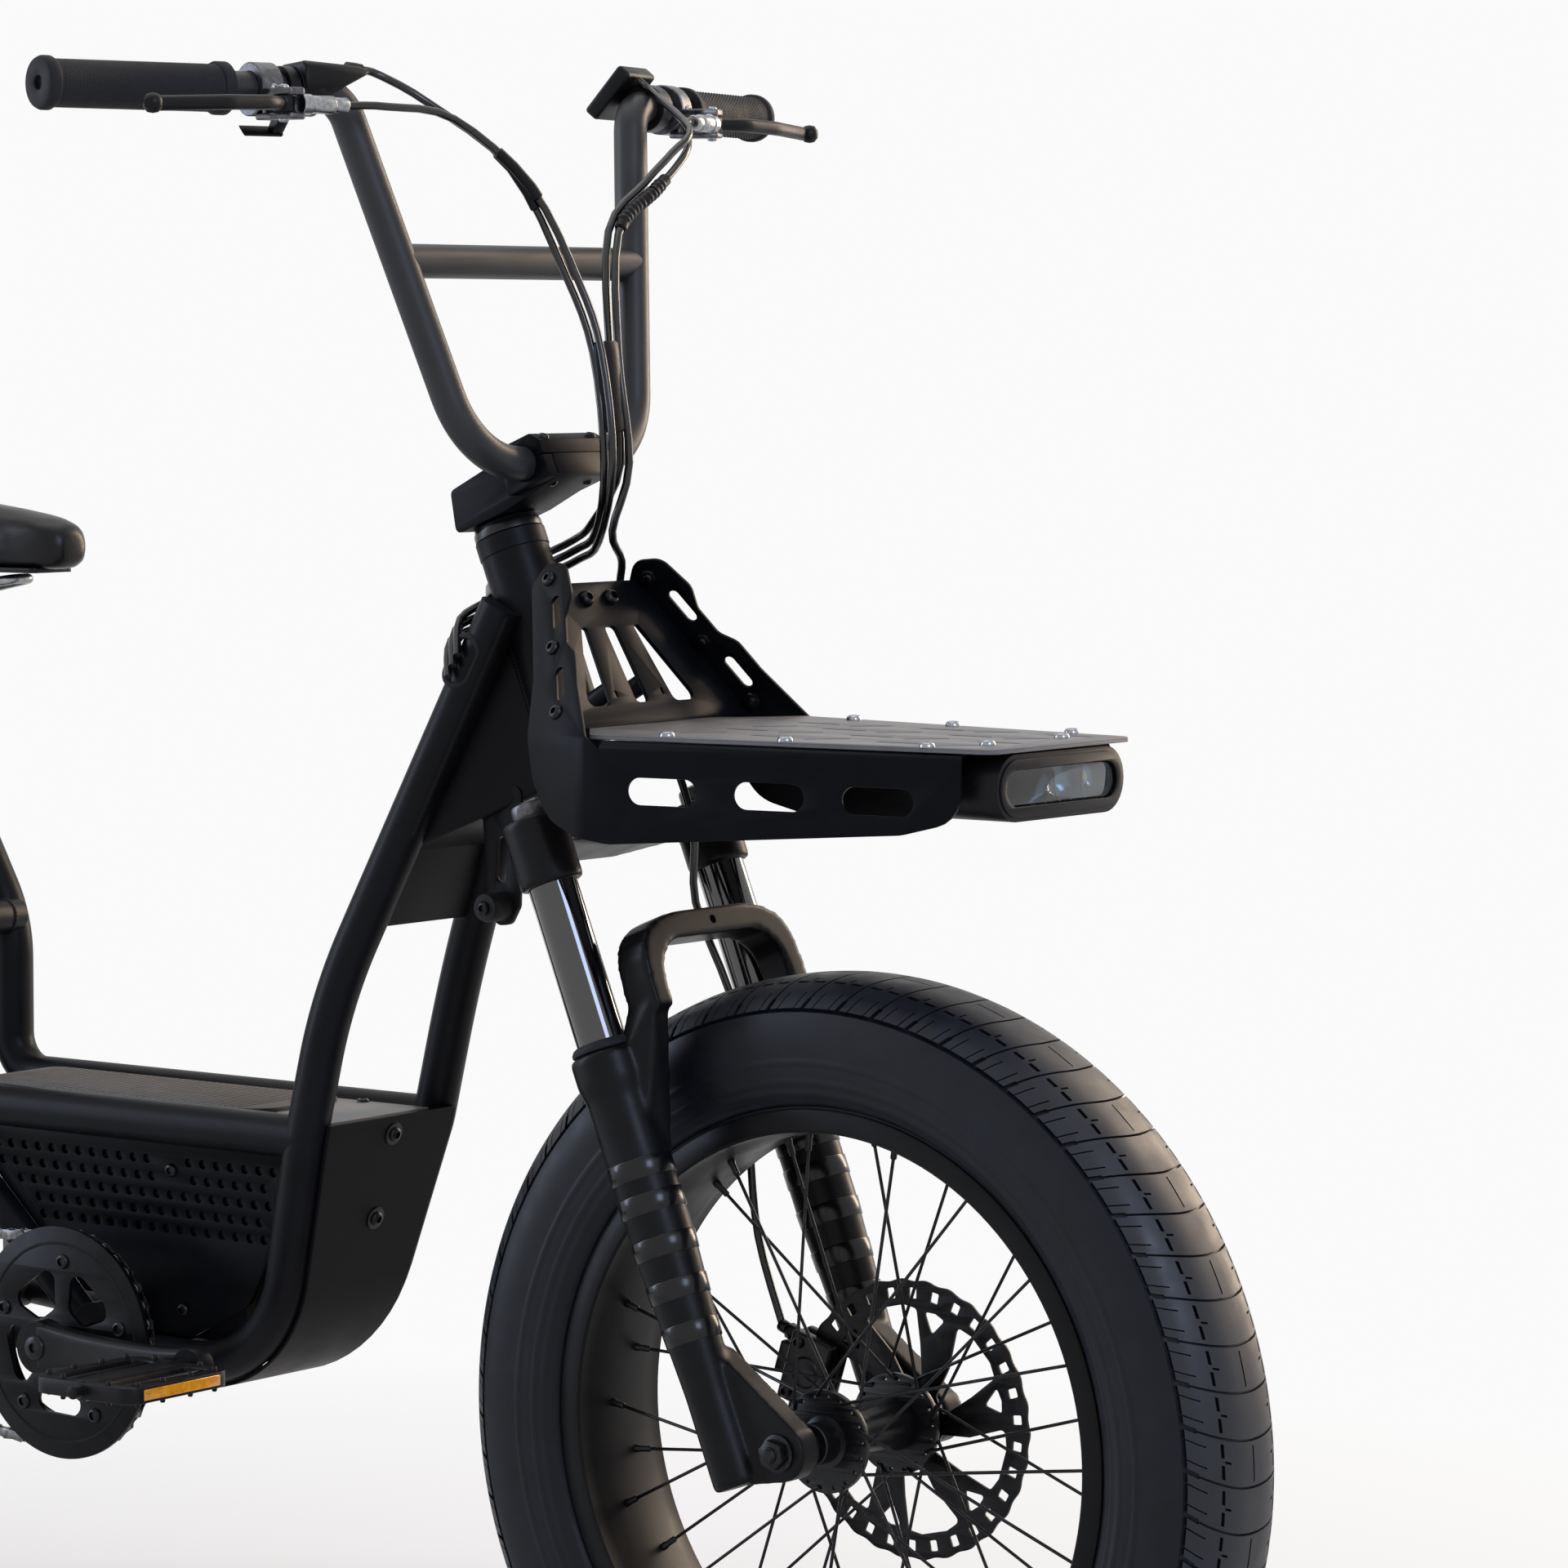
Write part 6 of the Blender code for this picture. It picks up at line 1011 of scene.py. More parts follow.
place("fork_crown_casting", crown, "castPaint", "steering", ("fork_crown",), "fork_coat", 50)
steererMesh = rod(steer(0.425, 0), steer(0.6622, 0), 0.0143, 32)
place("steerer_tube", steererMesh, "anodisedAlloy", "steering", ("fork_crown",), "hub_coat")
knob = turned([(0, 0.4380), (0.0055, 0.4380), (0.0062, 0.4372), (0.0098, 0.4370), (0.0112, 0.4362), (0.0120, 0.4345),
               (0.0120, 0.4290), (0.0112, 0.4268), (0, 0.4262)], leg(0), steerUp, 36)
knobRib = blockMesh(leg(0.4380), steerFwd, yAxis, (-0.0085, -0.0016, -0.0012), (0.0085, 0.0016, 0.0010), 0.0005)
place("fork_knobs", bothSides(joined(knob, knobRib)), "castAlloy", "steering", ("fork_crown",), "cast_alloy", 35)
for name, base, sign in (("headset_upper", 0.622, 1), ("headset_lower", 0.447, -1)):
    cup = [(0.0149, 0.0094), (0.0200, 0.0094), (0.0212, 0.0085), (0.0216, 0.0066), (0.0220, 0.0060), (0.0226, 0.0045),
           (0.0227, 0.0004), (0.0183, 0.0003), (0.0183, -0.014), (0.0149, -0.014)]
    place(name + "_cup", turned(cup, steer(base, 0), steerUp * sign, 48, True), "anodisedAlloy", "frame",
          (name,), "hub_coat")
print("fork made")

# Frame tubes, welded: the right side is drawn and mirrored.
rearDrop = {"inside": 0.0985, "thick": 0.008}
stayY = rearDrop["inside"] + rearDrop["thick"] / 2 + 0.0035
bbAt = Vector((-0.037, 0, 0.298))
tubeSlope = (tube["floorX"] - tube["toeX"]) / (tube["floorZ"] - tube["railZ"])


def downX(z):
    return tube["toeX"] + tubeSlope * (z - tube["railZ"])


downCorners = [headEnd, knee, Vector((tube["floorX"], -tube["floorHalf"], tube["floorZ"])),
               Vector((tube["toeX"], -tube["railHalf"], tube["railZ"])), Vector((bbAt.x, -tube["railHalf"], tube["railZ"]))]
downPath = bendPath(downCorners, [0.40, tube["floorBend"], tube["toeBend"]], 12)
leanRun = (tube["carrierZ"] - tube["riseZ"]) * math.tan(math.radians(30))
halfFloor = tube["floorHalf"]
floorCorners = [Vector((downX(tube["floorZ"]), -halfFloor, tube["floorZ"])), Vector((tube["riseX"], -halfFloor, tube["floorZ"])),
                Vector((tube["riseX"], -halfFloor, tube["riseZ"])),
                Vector((tube["riseX"] - leanRun, -halfFloor, tube["carrierZ"])), Vector((tube["carrierX"], -halfFloor, tube["carrierZ"]))]
floorCorners += [flipY(c) for c in reversed(floorCorners)]
floorPath = bendPath(floorCorners, [0.030, 0.10, 0.07, 0.045, 0.045, 0.07, 0.10, 0.030], 12)
chainStay = tubeAlong(bendPath([Vector((bbAt.x - 0.004, -tube["railHalf"] + 0.004, bbAt.z - 0.002)), Vector((-0.165, -0.074, 0.290)),
                                Vector((-0.300, -stayY, 0.290)), Vector((rearAxle.x + 0.026, -stayY, 0.290))],
                               [0.10, 0.10], 10), tube["stay"], 24)
seatStay = tubeAlong([Vector((rearAxle.x + 0.013, -stayY, 0.318)), Vector((rearAxle.x + 0.085, -halfFloor - 0.003, tube["carrierZ"]))],
                     tube["stay"] * 0.9, 24)
strut = tubeAlong([Vector((bbAt.x - 0.012, -tube["railHalf"], tube["railZ"] + 0.006)),
                   Vector((tube["riseX"] + 0.032, -halfFloor, tube["floorZ"] + 0.004))], tube["radius"] * 0.8, 24)
dropShape = filletLoop([(0.034, -0.013), (0.036, 0.011), (0.022, 0.040), (0.002, 0.040), (-0.020, 0.012), (-0.018, -0.014),
                        (0.0, -0.021)], 0.005, 4)
dropout = plateMesh([[(rearAxle.x + a, rearAxle.z + b) for a, b in dropShape], ringLoop(rearAxle.x, rearAxle.z, 0.0063, 28)],
                    Vector((0, 0, 0)), xAxis, zAxis, rearDrop["inside"], rearDrop["inside"] + rearDrop["thick"], 0.0008)
seatLean = math.radians(10.7)
seatUp = Vector((-math.sin(seatLean), 0, math.cos(seatLean)))
seatFwd = Vector((math.cos(seatLean), 0, math.sin(seatLean)))
seatBase = Vector((tube["riseX"] + 0.003, 0, tube["riseZ"] + 0.008))


def seat(t, n=0.0, y=0.0):
    return seatBase + seatUp * t + seatFwd * n + yAxis * y


def pipe(a, b, outer, inner, sides=48):
    length = (b - a).length
    e = 0.0006
    return turned([(inner, 0), (outer - e, 0), (outer, e), (outer, length - e), (outer - e, length), (inner, length)], a,
                  (b - a).normalized(), sides, True)


headPipe = pipe(steer(0.447, 0), steer(0.622, 0), 0.0227, 0.0186, 64)
headLip = joined(pipe(steer(0.6095, 0), steer(0.6218, 0), 0.0233, 0.0215, 64), pipe(steer(0.4472, 0), steer(0.4590, 0), 0.0233, 0.0215, 64))
seatPipe = pipe(seat(-0.012), seat(0.132), 0.0178, 0.0154)
bbShell = pipe(Vector((bbAt.x, -0.0633, bbAt.z)), Vector((bbAt.x, 0.0633, bbAt.z)), 0.023, 0.0092, 56)
braceZ = tube["riseZ"] + 0.098
braceX = tube["riseX"] - 0.098 * math.tan(math.radians(30))
floorTop = tube["floorZ"] + 0.0095
memberZ = floorTop - 0.004 - 0.0003 - 0.009


def across(x, z, half, radius):
    return rod(Vector((x, -half, z)), Vector((x, half, z)), radius, 24)


members = [across(tube["riseX"] + 0.003, tube["riseZ"] + 0.004, halfFloor, 0.0125), across(braceX, braceZ, halfFloor, 0.010),
           across(downX(tube["floorZ"]) - 0.052, memberZ, halfFloor, 0.009), across(tube["riseX"] + 0.085, memberZ, halfFloor, 0.009),
           across(-0.248, 0.288, 0.087, 0.010)]
seatStrut = carved(rod(Vector((seat(0.09).x, 0, braceZ)), Vector((braceX, 0, braceZ)), 0.0115, 28),
                   rod(seat(-0.03), seat(0.16), 0.0158, 40))
brace = onDown(0.640)
gussetCorners = [steer(0.455, -0.010, 0.018), steer(0.577, -0.010, 0.018), Vector((brace.x + 0.004, -(brace.y + 0.002), brace.z))]
gusset = hullMesh([Vector((p.x, k * p.y, p.z)) for p in gussetCorners for k in (1, -1)], 0.003, 3)
lowA, lowB = onDown(0.590), onDown(0.668)
tiePlate = hullMesh([Vector((p.x + d, k * p.y, p.z)) for p in (lowA, lowB) for k in (1, -1) for d in (-0.0025, 0.0025)], 0.001)
stopAt = (0.2915, 0.608)
earLoop = filletLoop([(-0.012, -0.004), (-0.004, -0.013), (0.006, -0.012), (0.013, 0.0), (0.016, 0.078), (-0.018, 0.078)], 0.006, 4)
earHole = slotLoop(-0.001, 0.030, 0.030, 0.009, math.pi / 2 - 0.05)
stopEar = plateMesh([[(stopAt[0] + a, stopAt[1] + b) for a, b in earLoop], [(stopAt[0] + a, stopAt[1] + b) for a, b in earHole]],
                    Vector((0, -0.024, 0)), xAxis, zAxis, -0.002, 0.002, 0.0006)
trayTop = tube["railZ"] + tube["radius"] - 0.002
tray = blockMesh(Vector((0, 0, 0)), xAxis, yAxis, (bbAt.x - 0.005, -tube["railHalf"], trayTop - 0.003),
                 (tube["toeX"] - tube["toeBend"], tube["railHalf"], trayTop), 0.0008)
standAt = Vector((-0.248, 0, 0.226))
standLoop = filletLoop([(-0.014, 0.064), (-0.015, 0.0), (-0.008, -0.015), (0.008, -0.015), (0.015, 0.0), (0.014, 0.064)], 0.004, 3)
standEar = plateMesh([[(standAt.x + a, standAt.z + b) for a, b in standLoop], ringLoop(standAt.x, standAt.z, 0.0096, 28)],
                     Vector((0, -0.032, 0)), xAxis, zAxis, -0.003, 0.003, 0.0006)
rackLean = math.radians(30)
rackUp = Vector((-math.sin(rackLean), 0, math.cos(rackLean)))
rackFwd = Vector((math.cos(rackLean), 0, math.sin(rackLean)))
rackTop = Vector((0.341, 0, 0.8165))


def rackBoss(v, y):
    face = rackTop + rackUp * v + yAxis * y
    reach = ((face - steerFoot).dot(steerFwd) - 0.65 * 0.0227) / math.cos(rackLean - headLean)
    return rod(face - rackFwd * reach, face - rackFwd * 0.0003, 0.0065, 24)


bosses = [rackBoss(v, y) for v in (-0.012, -0.072) for y in (-0.0125, 0.0125)]
place("frame_tubes", joined(tubeAlong(floorPath, tube["radius"], 32), bothSides(tubeAlong(downPath, tube["radius"], 32)), headPipe, headLip,
                            seatPipe, bbShell, bothSides(chainStay), bothSides(seatStay), bothSides(strut), bothSides(dropout), seatStrut,
                            *members, *bosses), "powderCoat", "frame", ("frame",), "frame_coat", 40)
place("frame_plates", joined(gusset, tiePlate, bothSides(stopEar), tray, bothSides(standEar)), "powderCoat", "frame", ("frame",),
      "frame_coat", 35)
bumper = turned([(0, 0.0215), (0.0070, 0.0215), (0.0092, 0.0200), (0.0095, 0.0180), (0.0095, 0.0030), (0.0088, 0.0008), (0, 0.0)],
                Vector((stopAt[0], -0.0452, stopAt[1])), yAxis, 32)
place("stop_bumpers", bothSides(bumper), "gripRubber", "frame", ("frame",), "grip_rubber", 40)
place("bumper_bolts", seatItems(boltHead(0.0046, 0.0030), [(Vector((stopAt[0], -0.0450, stopAt[1])), -yAxis),
                                                           (Vector((stopAt[0], 0.0450, stopAt[1])), yAxis)], "blackOxide"),
      "blackOxide", "frame", (), "axle_steel", 40)

# Weld beads: overlapped ripples laid along each seam.
weld = {"pitch": 0.0026, "radius": 0.0026, "height": 0.0013}
ripple = turned([(0, weld["height"]), (weld["radius"] * 0.6, weld["height"] * 0.75), (weld["radius"], 0.0), (weld["radius"] * 0.8, -0.0010),
                 (0, -0.0012)], Vector((0, 0, 0)), zAxis, 10)


def beadSpots(points, facings):
    out, gone, want = [], 0.0, 0.0
    for (a, fa), (b, fb) in zip(zip(points, facings), zip(points[1:], facings[1:])):
        span = (b - a).length
        while want <= gone + span:
            t = (want - gone) / span
            out.append((a.lerp(b, t), fa.lerp(fb, t).normalized(), (b - a).normalized()))
            want += weld["pitch"]
        gone += span
    return out


def seamRing(mid, axis, radius, tilt=0.0):
    side = axis.orthogonal().normalized()
    up = axis.cross(side)
    points, facings = [], []
    for k in range(49):
        a = math.tau * k / 48
        out = side * math.cos(a) + up * math.sin(a)
        points.append(mid + out * radius)
        facings.append((out + axis * tilt).normalized())
    return beadSpots(points, facings)


spots = []
for side in (1, -1):
    for z0, z1, dx in ((0.655, 0.795, 0.0125), (0.600, 0.668, -0.004)):
        line, facings = [], []
        for k in range(9):
            p = onDown(z0 + (z1 - z0) * k / 8)
            line.append(Vector((p.x + dx, side * (-p.y + 0.0068), p.z)))
            facings.append(Vector((0.45, side, 0.15)).normalized())
        spots += beadSpots(line, facings)
    line = [steer(0.462 + 0.010 * k, -0.0125, side * 0.0190) for k in range(12)]
    spots += beadSpots(line, [(yAxis * side - steerFwd * 0.6).normalized()] * 12)
    for x, z in ((tube["riseX"] + 0.003, tube["riseZ"] + 0.004), (braceX, braceZ)):
        spots += seamRing(Vector((x, side * (halfFloor - tube["radius"] + 0.0010), z)), yAxis * -side, 0.0118, 0.5)
    strutTop = Vector((tube["riseX"] + 0.050, side * halfFloor, tube["floorZ"] - 0.010))
    spots += seamRing(strutTop, (Vector((bbAt.x - 0.012, side * tube["railHalf"], 0.292)) - strutTop).normalized(), 0.0118, 0.5)
spots += seamRing(seat(0.010), seatUp, 0.0184, -0.4)
place("weld_beads", seatItems(ripple, spots, "powderCoat"), "powderCoat", "frame", ("frame",), "frame_coat", 60)
grommetPath = []
runDir = (headEnd - knee).normalized()
outDir = (-yAxis - runDir * (-yAxis).dot(runDir)).normalized()
sideDir = runDir.cross(outDir)
portMid = onDown(0.764) + outDir * 0.0138 - sideDir * 0.004
for x, y in slotLoop(0, 0, 0.034, 0.0185, 0.0, 12):
    grommetPath.append(portMid + runDir * x + sideDir * y - outDir * (y * y * 30))
grommetPath.append(grommetPath[0])
place("port_grommet", tubeAlong(grommetPath, 0.0021, 10), "gripRubber", "frame", (), "grip_rubber", 60)
print("frame made")

# Stem, bar and grips.
clampReach = bar["radius"] + 0.0075
stemSide = [(-0.0230, stemLow), (0.020, stemLow), (barN + clampReach, barS - 0.0156), (barN + clampReach, barS - 0.0003),
            (barN - clampReach, barS - 0.0003), (barN - clampReach - 0.006, stemLow + 0.032), (-0.017, stemLow + 0.028)]
stemMain = plateMesh([filletLoop(stemSide, [0.004, 0.002, 0.003, 0, 0, 0.003, 0.004], 3)], steer(0, 0), steerFwd, steerUp, -0.024, 0.024, 0)
clampLow = blockMesh(barLow, steerFwd, steerUp, (-clampReach, -0.0156, -0.0335), (clampReach - 0.0004, -0.0003, 0.0335), 0)
barGroove = rod(barLow - yAxis * 0.06, barLow + yAxis * 0.06, 0.0114, 48)
steererHole = rod(steer(stemLow - 0.01, 0), steer(stemLow + 0.0304, 0), 0.0146, 40)
place("stem_lower", joined(rounded(carved(stemMain, barGroove, steererHole), 0.0011, 2), rounded(carved(clampLow, barGroove), 0.0009, 2)),
      "powderCoatSheetPaintedShade", "steering", ("stem",), "frame_coat", 30)
capSide = [(-clampReach, 0.0003), (clampReach, 0.0003), (clampReach, 0.0091), (0.0121, 0.0156), (-0.0121, 0.0156), (-clampReach, 0.0091)]
stemCap = plateMesh([capSide], barLow, steerFwd, steerUp, -0.0335, 0.0335, 0)
place("stem_upper", rounded(carved(stemCap, barGroove), 0.0009, 2), "powderCoatSheetPaintedShade", "steering", ("stem_cap",), "frame_coat", 30)
capSpots = [(barLow + steerUp * 0.0118 + steerFwd * (n * 0.0155) + yAxis * y, (steerUp + steerFwd * n * 0.75).normalized())
            for n in (1, -1) for y in (-0.024, 0.024)]
under = [(steer(barS - 0.0154, n, y), (-steerUp + steerFwd * 0.3).normalized()) for n in (0.0600,) for y in (-0.018, 0.018)]
place("stem_bolts", seatItems(boltHead(0.0037, 0.0024), capSpots + under, "blackOxide"), "blackOxide", "steering", (), "axle_steel", 40)
topCap = turned([(0, 0.0040), (0.0035, 0.0040), (0.0042, 0.0018), (0.0110, 0.0030), (0.0130, 0.0022), (0.0136, 0.0), (0, 0)],
                steer(stemLow + 0.0285, -0.002), steerUp, 40)
place("stem_top_cap", topCap, "anodisedAlloy", "steering", (), "hub_coat", 35)
metalEnd = barEnd - outR * 0.0043
lowCorner = Vector((barLow.x, -bar["clampToRiser"], barLow.z))
halfBar = [metalEnd, shoulder, lowCorner]
barLine = halfBar + [flipY(p) for p in reversed(halfBar)]
barTube = tubeAlong(bendPath(barLine, [0.026, 0.060, 0.060, 0.026], 14), bar["radius"], 32)
crossTube = tubeAlong([riser(bar["crossZ"]), riser(bar["crossZ"], 1)], bar["radius"] * 0.98, 32)
place("handlebar_tube", joined(barTube, crossTube), "barCoat", "steering", ("handlebar",), "bar_coat", 45)

grip = {"radius": 0.0146, "flange": 0.0166, "length": 0.134, "around": 44, "along": 46}
gripIn = barEnd - outR * grip["length"]
gripLine = [(0.0116, 0.0), (0.0160, 0.0), (0.0166, 0.0006), (0.0166, 0.0068), (0.0160, 0.0078), (0.0150, 0.0082), (0.0146, 0.0092),
            (0.0146, 0.1240), (0.0150, 0.1252), (0.0160, 0.1258), (0.0166, 0.1268), (0.0166, 0.1310), (0.0156, 0.1330), (0.0140, 0.1340),
            (0.0052, 0.1340), (0.0046, 0.1336), (0.0044, 0.1310), (0, 0.1306), ]
gripLine += [(0, 0.1300), (0.0116, 0.1300)]
gripMesh = turned(gripLine, gripIn, outR, 48, True)
knurlItem = hullMesh([Vector(p) for p in ((0.00105, 0, -0.0003), (-0.00105, 0, -0.0003), (0, 0.00105, -0.0003), (0, -0.00105, -0.0003),
                                          (0, 0, 0.00042))])
gripSide, gripUp = fwdR, zAxis
knurlSpots = []
for i in range(grip["along"]):
    for j in range(grip["around"]):
        a = math.tau * (j + 0.5 * (i % 2)) / grip["around"]
        face = gripSide * math.cos(a) + gripUp * math.sin(a)
        knurlSpots.append((gripIn + outR * (0.0115 + 0.1105 * i / (grip["along"] - 1)) + face * grip["radius"], face, outR))
knurl = seatItems(knurlItem, knurlSpots, "gripRubber")
for name, fix in (("right", lambda m: m), ("left", mirrored)):
    place("grip_sleeve_" + name, fix(gripMesh), "gripRubber", "steering", ("grip_" + name,), "grip_rubber", 35)
    place("grip_knurl_" + name, fix(knurl), "gripRubber", "steering", ("grip_" + name,), "grip_rubber", 20)
print("bar made")

# Brake levers on cast brackets.
lever = {"length": 0.121, "thick": 0.0048}
pivotAt = hand(0.004, leverReach, leverU)
bracketRing = turned([(0.0115, -0.008), (0.0160, -0.008), (0.0168, -0.0072), (0.0168, 0.0072), (0.0160, 0.008), (0.0115, 0.008)],
                     hand(0, 0), outR, 48, True)
forkPlates = [(0.010, 0.0053, 0.0050), (0.006, -0.0053 - 0.0040, 0.0040)]
armMeshes = []
for f0, u0, t in forkPlates:
    shape = ((-0.0075, f0), (0.0073, f0), (-0.012, leverReach), (0.011, leverReach - 0.006), (0.004, leverReach + 0.008),
             (-0.006, leverReach + 0.008))
    armMeshes.append(hullMesh([hand(a, f, leverU + u0 + u) for u in (0, t) for a, f in shape], 0.0014, 3))
spine = hullMesh([hand(a, f, leverU + u) for a in (-0.0066, 0.0066) for f in (0.0125, 0.0165) for u in (-0.0084, 0.0094)], 0.0012)
barrelFrom, barrelTo = hand(-0.0055, leverReach + 0.004, leverU), hand(-0.040, leverReach + 0.004, leverU)
barrelLine = [(0, 0.0), (0.0062, 0.0), (0.0066, 0.0004), (0.0066, 0.0066), (0.0062, 0.0070), (0.0058, 0.0074), (0.0058, 0.0236),
              (0.0054, 0.0242), (0.0050, 0.0246), (0.0050, 0.0336), (0.0044, 0.0345), (0, 0.0345)]
barrel = turned(barrelLine, barrelFrom, (barrelTo - barrelFrom).normalized(), 28)
bracket = joined(bracketRing, *armMeshes, spine)
bladePath = bendPath([hand(0.006, leverReach + 0.002, leverU), hand(0.022, leverReach + 0.016, leverU),
                      hand(0.060, leverReach + 0.024, leverU - 0.001), hand(lever["length"] - 0.008, leverReach + 0.023, leverU - 0.003),
                      hand(lever["length"], leverReach + 0.029, leverU - 0.003)], [0.03, 0.05, 0.01], 8)
bladeCount = len(bladePath)
bladeR = [lever["thick"] * (0.86 + 0.14 * math.sin(math.pi * k / (bladeCount - 1))) for k in range(bladeCount)]
bladeR[-1] *= 0.7
blade = tubeAlong(bladePath, bladeR, 20, 0.82, zAxis)
pivotBoss = turned([(0, 0.0048), (0.0062, 0.0048), (0.0068, 0.0042), (0.0068, -0.0042), (0.0062, -0.0048), (0, -0.0048)], pivotAt, zAxis, 32)
tipBall = turned([(0, 0.0062), (0.0035, 0.0055), (0.0058, 0.0025), (0.0060, 0.0), (0.0058, -0.0025), (0.0035, -0.0055), (0, -0.0062)],
                 hand(lever["length"] - 0.0052, leverReach + 0.0262, leverU - 0.003), zAxis, 28)
pinSpots = [(pivotAt + zAxis * 0.0102, zAxis), (pivotAt - zAxis * 0.0092, -zAxis), (hand(0, 0.0166, 0.0), fwdR)]
for name, fix, flip in (("right", lambda m: m, lambda p: p), ("left", mirrored, flipY)):
    place("lever_bracket_cast_" + name, fix(bracket), "castAlloy", "steering", ("lever_bracket_" + name,), "cast_alloy", 35)
    place("lever_barrel_" + name, fix(barrel), "boltSteel", "steering", ("lever_bracket_" + name,), "axle_steel", 35)
    place("lever_blade_" + name, fix(joined(blade, pivotBoss, tipBall)), "mouldedNylon", name + "_brake", ("brake_lever_" + name,),
          "black_plastic", 45)
    seats = [(flip(p), flip(f)) for p, f in pinSpots]
    place("lever_screws_" + name, seatItems(boltHead(0.0034, 0.0020), seats, "boltSteel"), "boltSteel", "steering", (), "axle_steel", 40)

# Thumb throttle.
podRing = turned([(0.0115, -0.008), (0.0154, -0.008), (0.0160, -0.0074), (0.0160, 0.0074), (0.0154, 0.008), (0.0115, 0.008)],
                 hand(podAt, 0), outR, 40, True)
podCorners = ((-0.044, -0.012, 0.0120), (-0.044, 0.013, 0.0125), (-0.040, 0.0145, 0.0100), (-0.006, 0.014, -0.0065), (-0.038, -0.010, 0.0160),
              (-0.038, 0.010, 0.0160), (0.0075, -0.012, 0.0165), (0.0075, 0.013, 0.0185), (0.0075, 0.0175, 0.0150), (0.0075, 0.0175, 0.0020),
              (0.0075, 0.014, -0.0070), (0.0075, -0.012, 0.0040))
podBox = carved(hullMesh([hand(podAt + a, f, u) for a, f, u in podCorners], 0.0020, 3), rod(hand(-0.12, 0), hand(0.05, 0), 0.0115, 40))
podNose = turned([(0, 0.0), (0.0048, 0.0), (0.0044, 0.006), (0.0036, 0.011), (0, 0.011)], hand(podAt - 0.0348, 0, 0.0143), -outR, 24)
place("throttle_case", joined(podRing, podBox, podNose), "mouldedNylon", "steering", ("throttle_pod",), "black_plastic", 40)
thumbAt = podAt + 0.0128
thumbRing = turned([(0.0115, -0.004), (0.0146, -0.004), (0.0150, -0.0036), (0.0150, 0.0036), (0.0146, 0.004), (0.0115, 0.004)],
                   hand(thumbAt, 0), outR, 40, True)
stalk = hullMesh([hand(thumbAt + a, f, u) for a in (-0.004, 0.004) for f, u in
                  ((-0.006, -0.0130), (0.006, -0.0130), (-0.012, -0.0222), (-0.007, -0.0270))], 0.0010)
paddle = hullMesh([hand(thumbAt + a, f, u) for a, f, u in
                   ((-0.0045, -0.0125, -0.0215), (-0.0045, -0.0065, -0.0275), (0.026, -0.0125, -0.0215), (0.026, -0.0065, -0.0275),
                    (0.024, -0.0135, -0.0235), (0.024, -0.0075, -0.0290), (-0.0035, -0.0135, -0.0235), (-0.0035, -0.0075, -0.0290))], 0.0012)
place("throttle_thumb", joined(thumbRing, stalk, paddle), "mouldedNylon", "throttle", ("throttle_lever",), "black_plastic", 40)

# Display.
slab = blockMesh(slabMid, leftOut, screenUp, (-0.0238, -0.0198, -0.0055), (0.0218, 0.0198, 0.0055), 0.0026, 4)
wellCut = rod(slabMid - screenUp * 0.0145 + screenFace * 0.0020, slabMid - screenUp * 0.0145 + screenFace * 0.03, 0.0048, 28)
displayRing = turned([(0.0115, -0.008), (0.0154, -0.008), (0.0160, -0.0074), (0.0160, 0.0074), (0.0154, 0.008), (0.0115, 0.008)],
                     leftPod, leftOut, 40, True)
place("display_case", joined(carved(slab, wellCut), displayRing), "mouldedNylon", "steering", ("display",), "black_plastic", 40)
glass = blockMesh(slabMid + screenFace * 0.0055, leftOut, screenUp, (-0.0195, -0.0075, -0.0002), (0.0175, 0.0165, 0.0006), 0.0003, 2)
place("display_glass", glass, "coverGlass", "steering", (), "black_plastic", 30)
buttonLow = slabMid - screenUp * 0.0145 + screenFace * (0.0020 + 0.0013)
place("power_button_cap", turned([(0, 0.0036), (0.0034, 0.0036), (0.0043, 0.0032), (0.0045, 0.0026), (0.0045, 0.0), (0, 0)], buttonLow,
                                 screenFace, 32), "gripRubber", "button", ("power_button",), "grip_rubber", 40)
sideKeys = [(slabMid - screenUp * 0.0145 + leftOut * t + screenFace * 0.0054, screenFace, leftOut) for t in (-0.014, 0.012)]
keyItem = blockMesh(Vector((0, 0, 0)), xAxis, yAxis, (-0.0042, -0.0024, -0.0005), (0.0042, 0.0024, 0.0009), 0.0005)
place("display_keys", seatItems(keyItem, sideKeys, "gripRubber"), "gripRubber", "steering", (), "grip_rubber", 40)
print("controls made")

# Front rack: laser-cut and folded sheet.
rack = {"topHalf": 0.0505, "rearHalf": 0.107, "frontHalf": 0.080, "frontX": 0.7107, "deckZ": 0.7297, "deckT": 0.003, "wallT": 0.0025,
        "wallLow": 0.060, "wallRise": 0.014, "earDepth": 0.031, "slotLength": 0.049, "slotWide": 0.017, "slotStep": 0.074, "slotFirst": 0.487}
deckLow = rack["deckZ"] - rack["deckT"]
rackHeight = (rackTop.z - deckLow) / math.cos(rackLean)
plateLow = rackTop - rackUp * rackHeight
halfGap = (rack["wallT"] / 2 + 0.0009) * 1.3
backTop, backLow = rack["topHalf"] - halfGap, rack["rearHalf"] - halfGap
backOutline = filletLoop([(-backLow, -rackHeight + 0.002), (backLow, -rackHeight + 0.002), (backTop, 0.0), (-backTop, 0.0)],
                         [0.002, 0.002, 0.006, 0.006], 4)
backHoles = [filletLoop([(-0.0058, -0.0316), (-0.0070, -0.0870), (0.0070, -0.0870), (0.0058, -0.0316)], 0.0040, 4)]
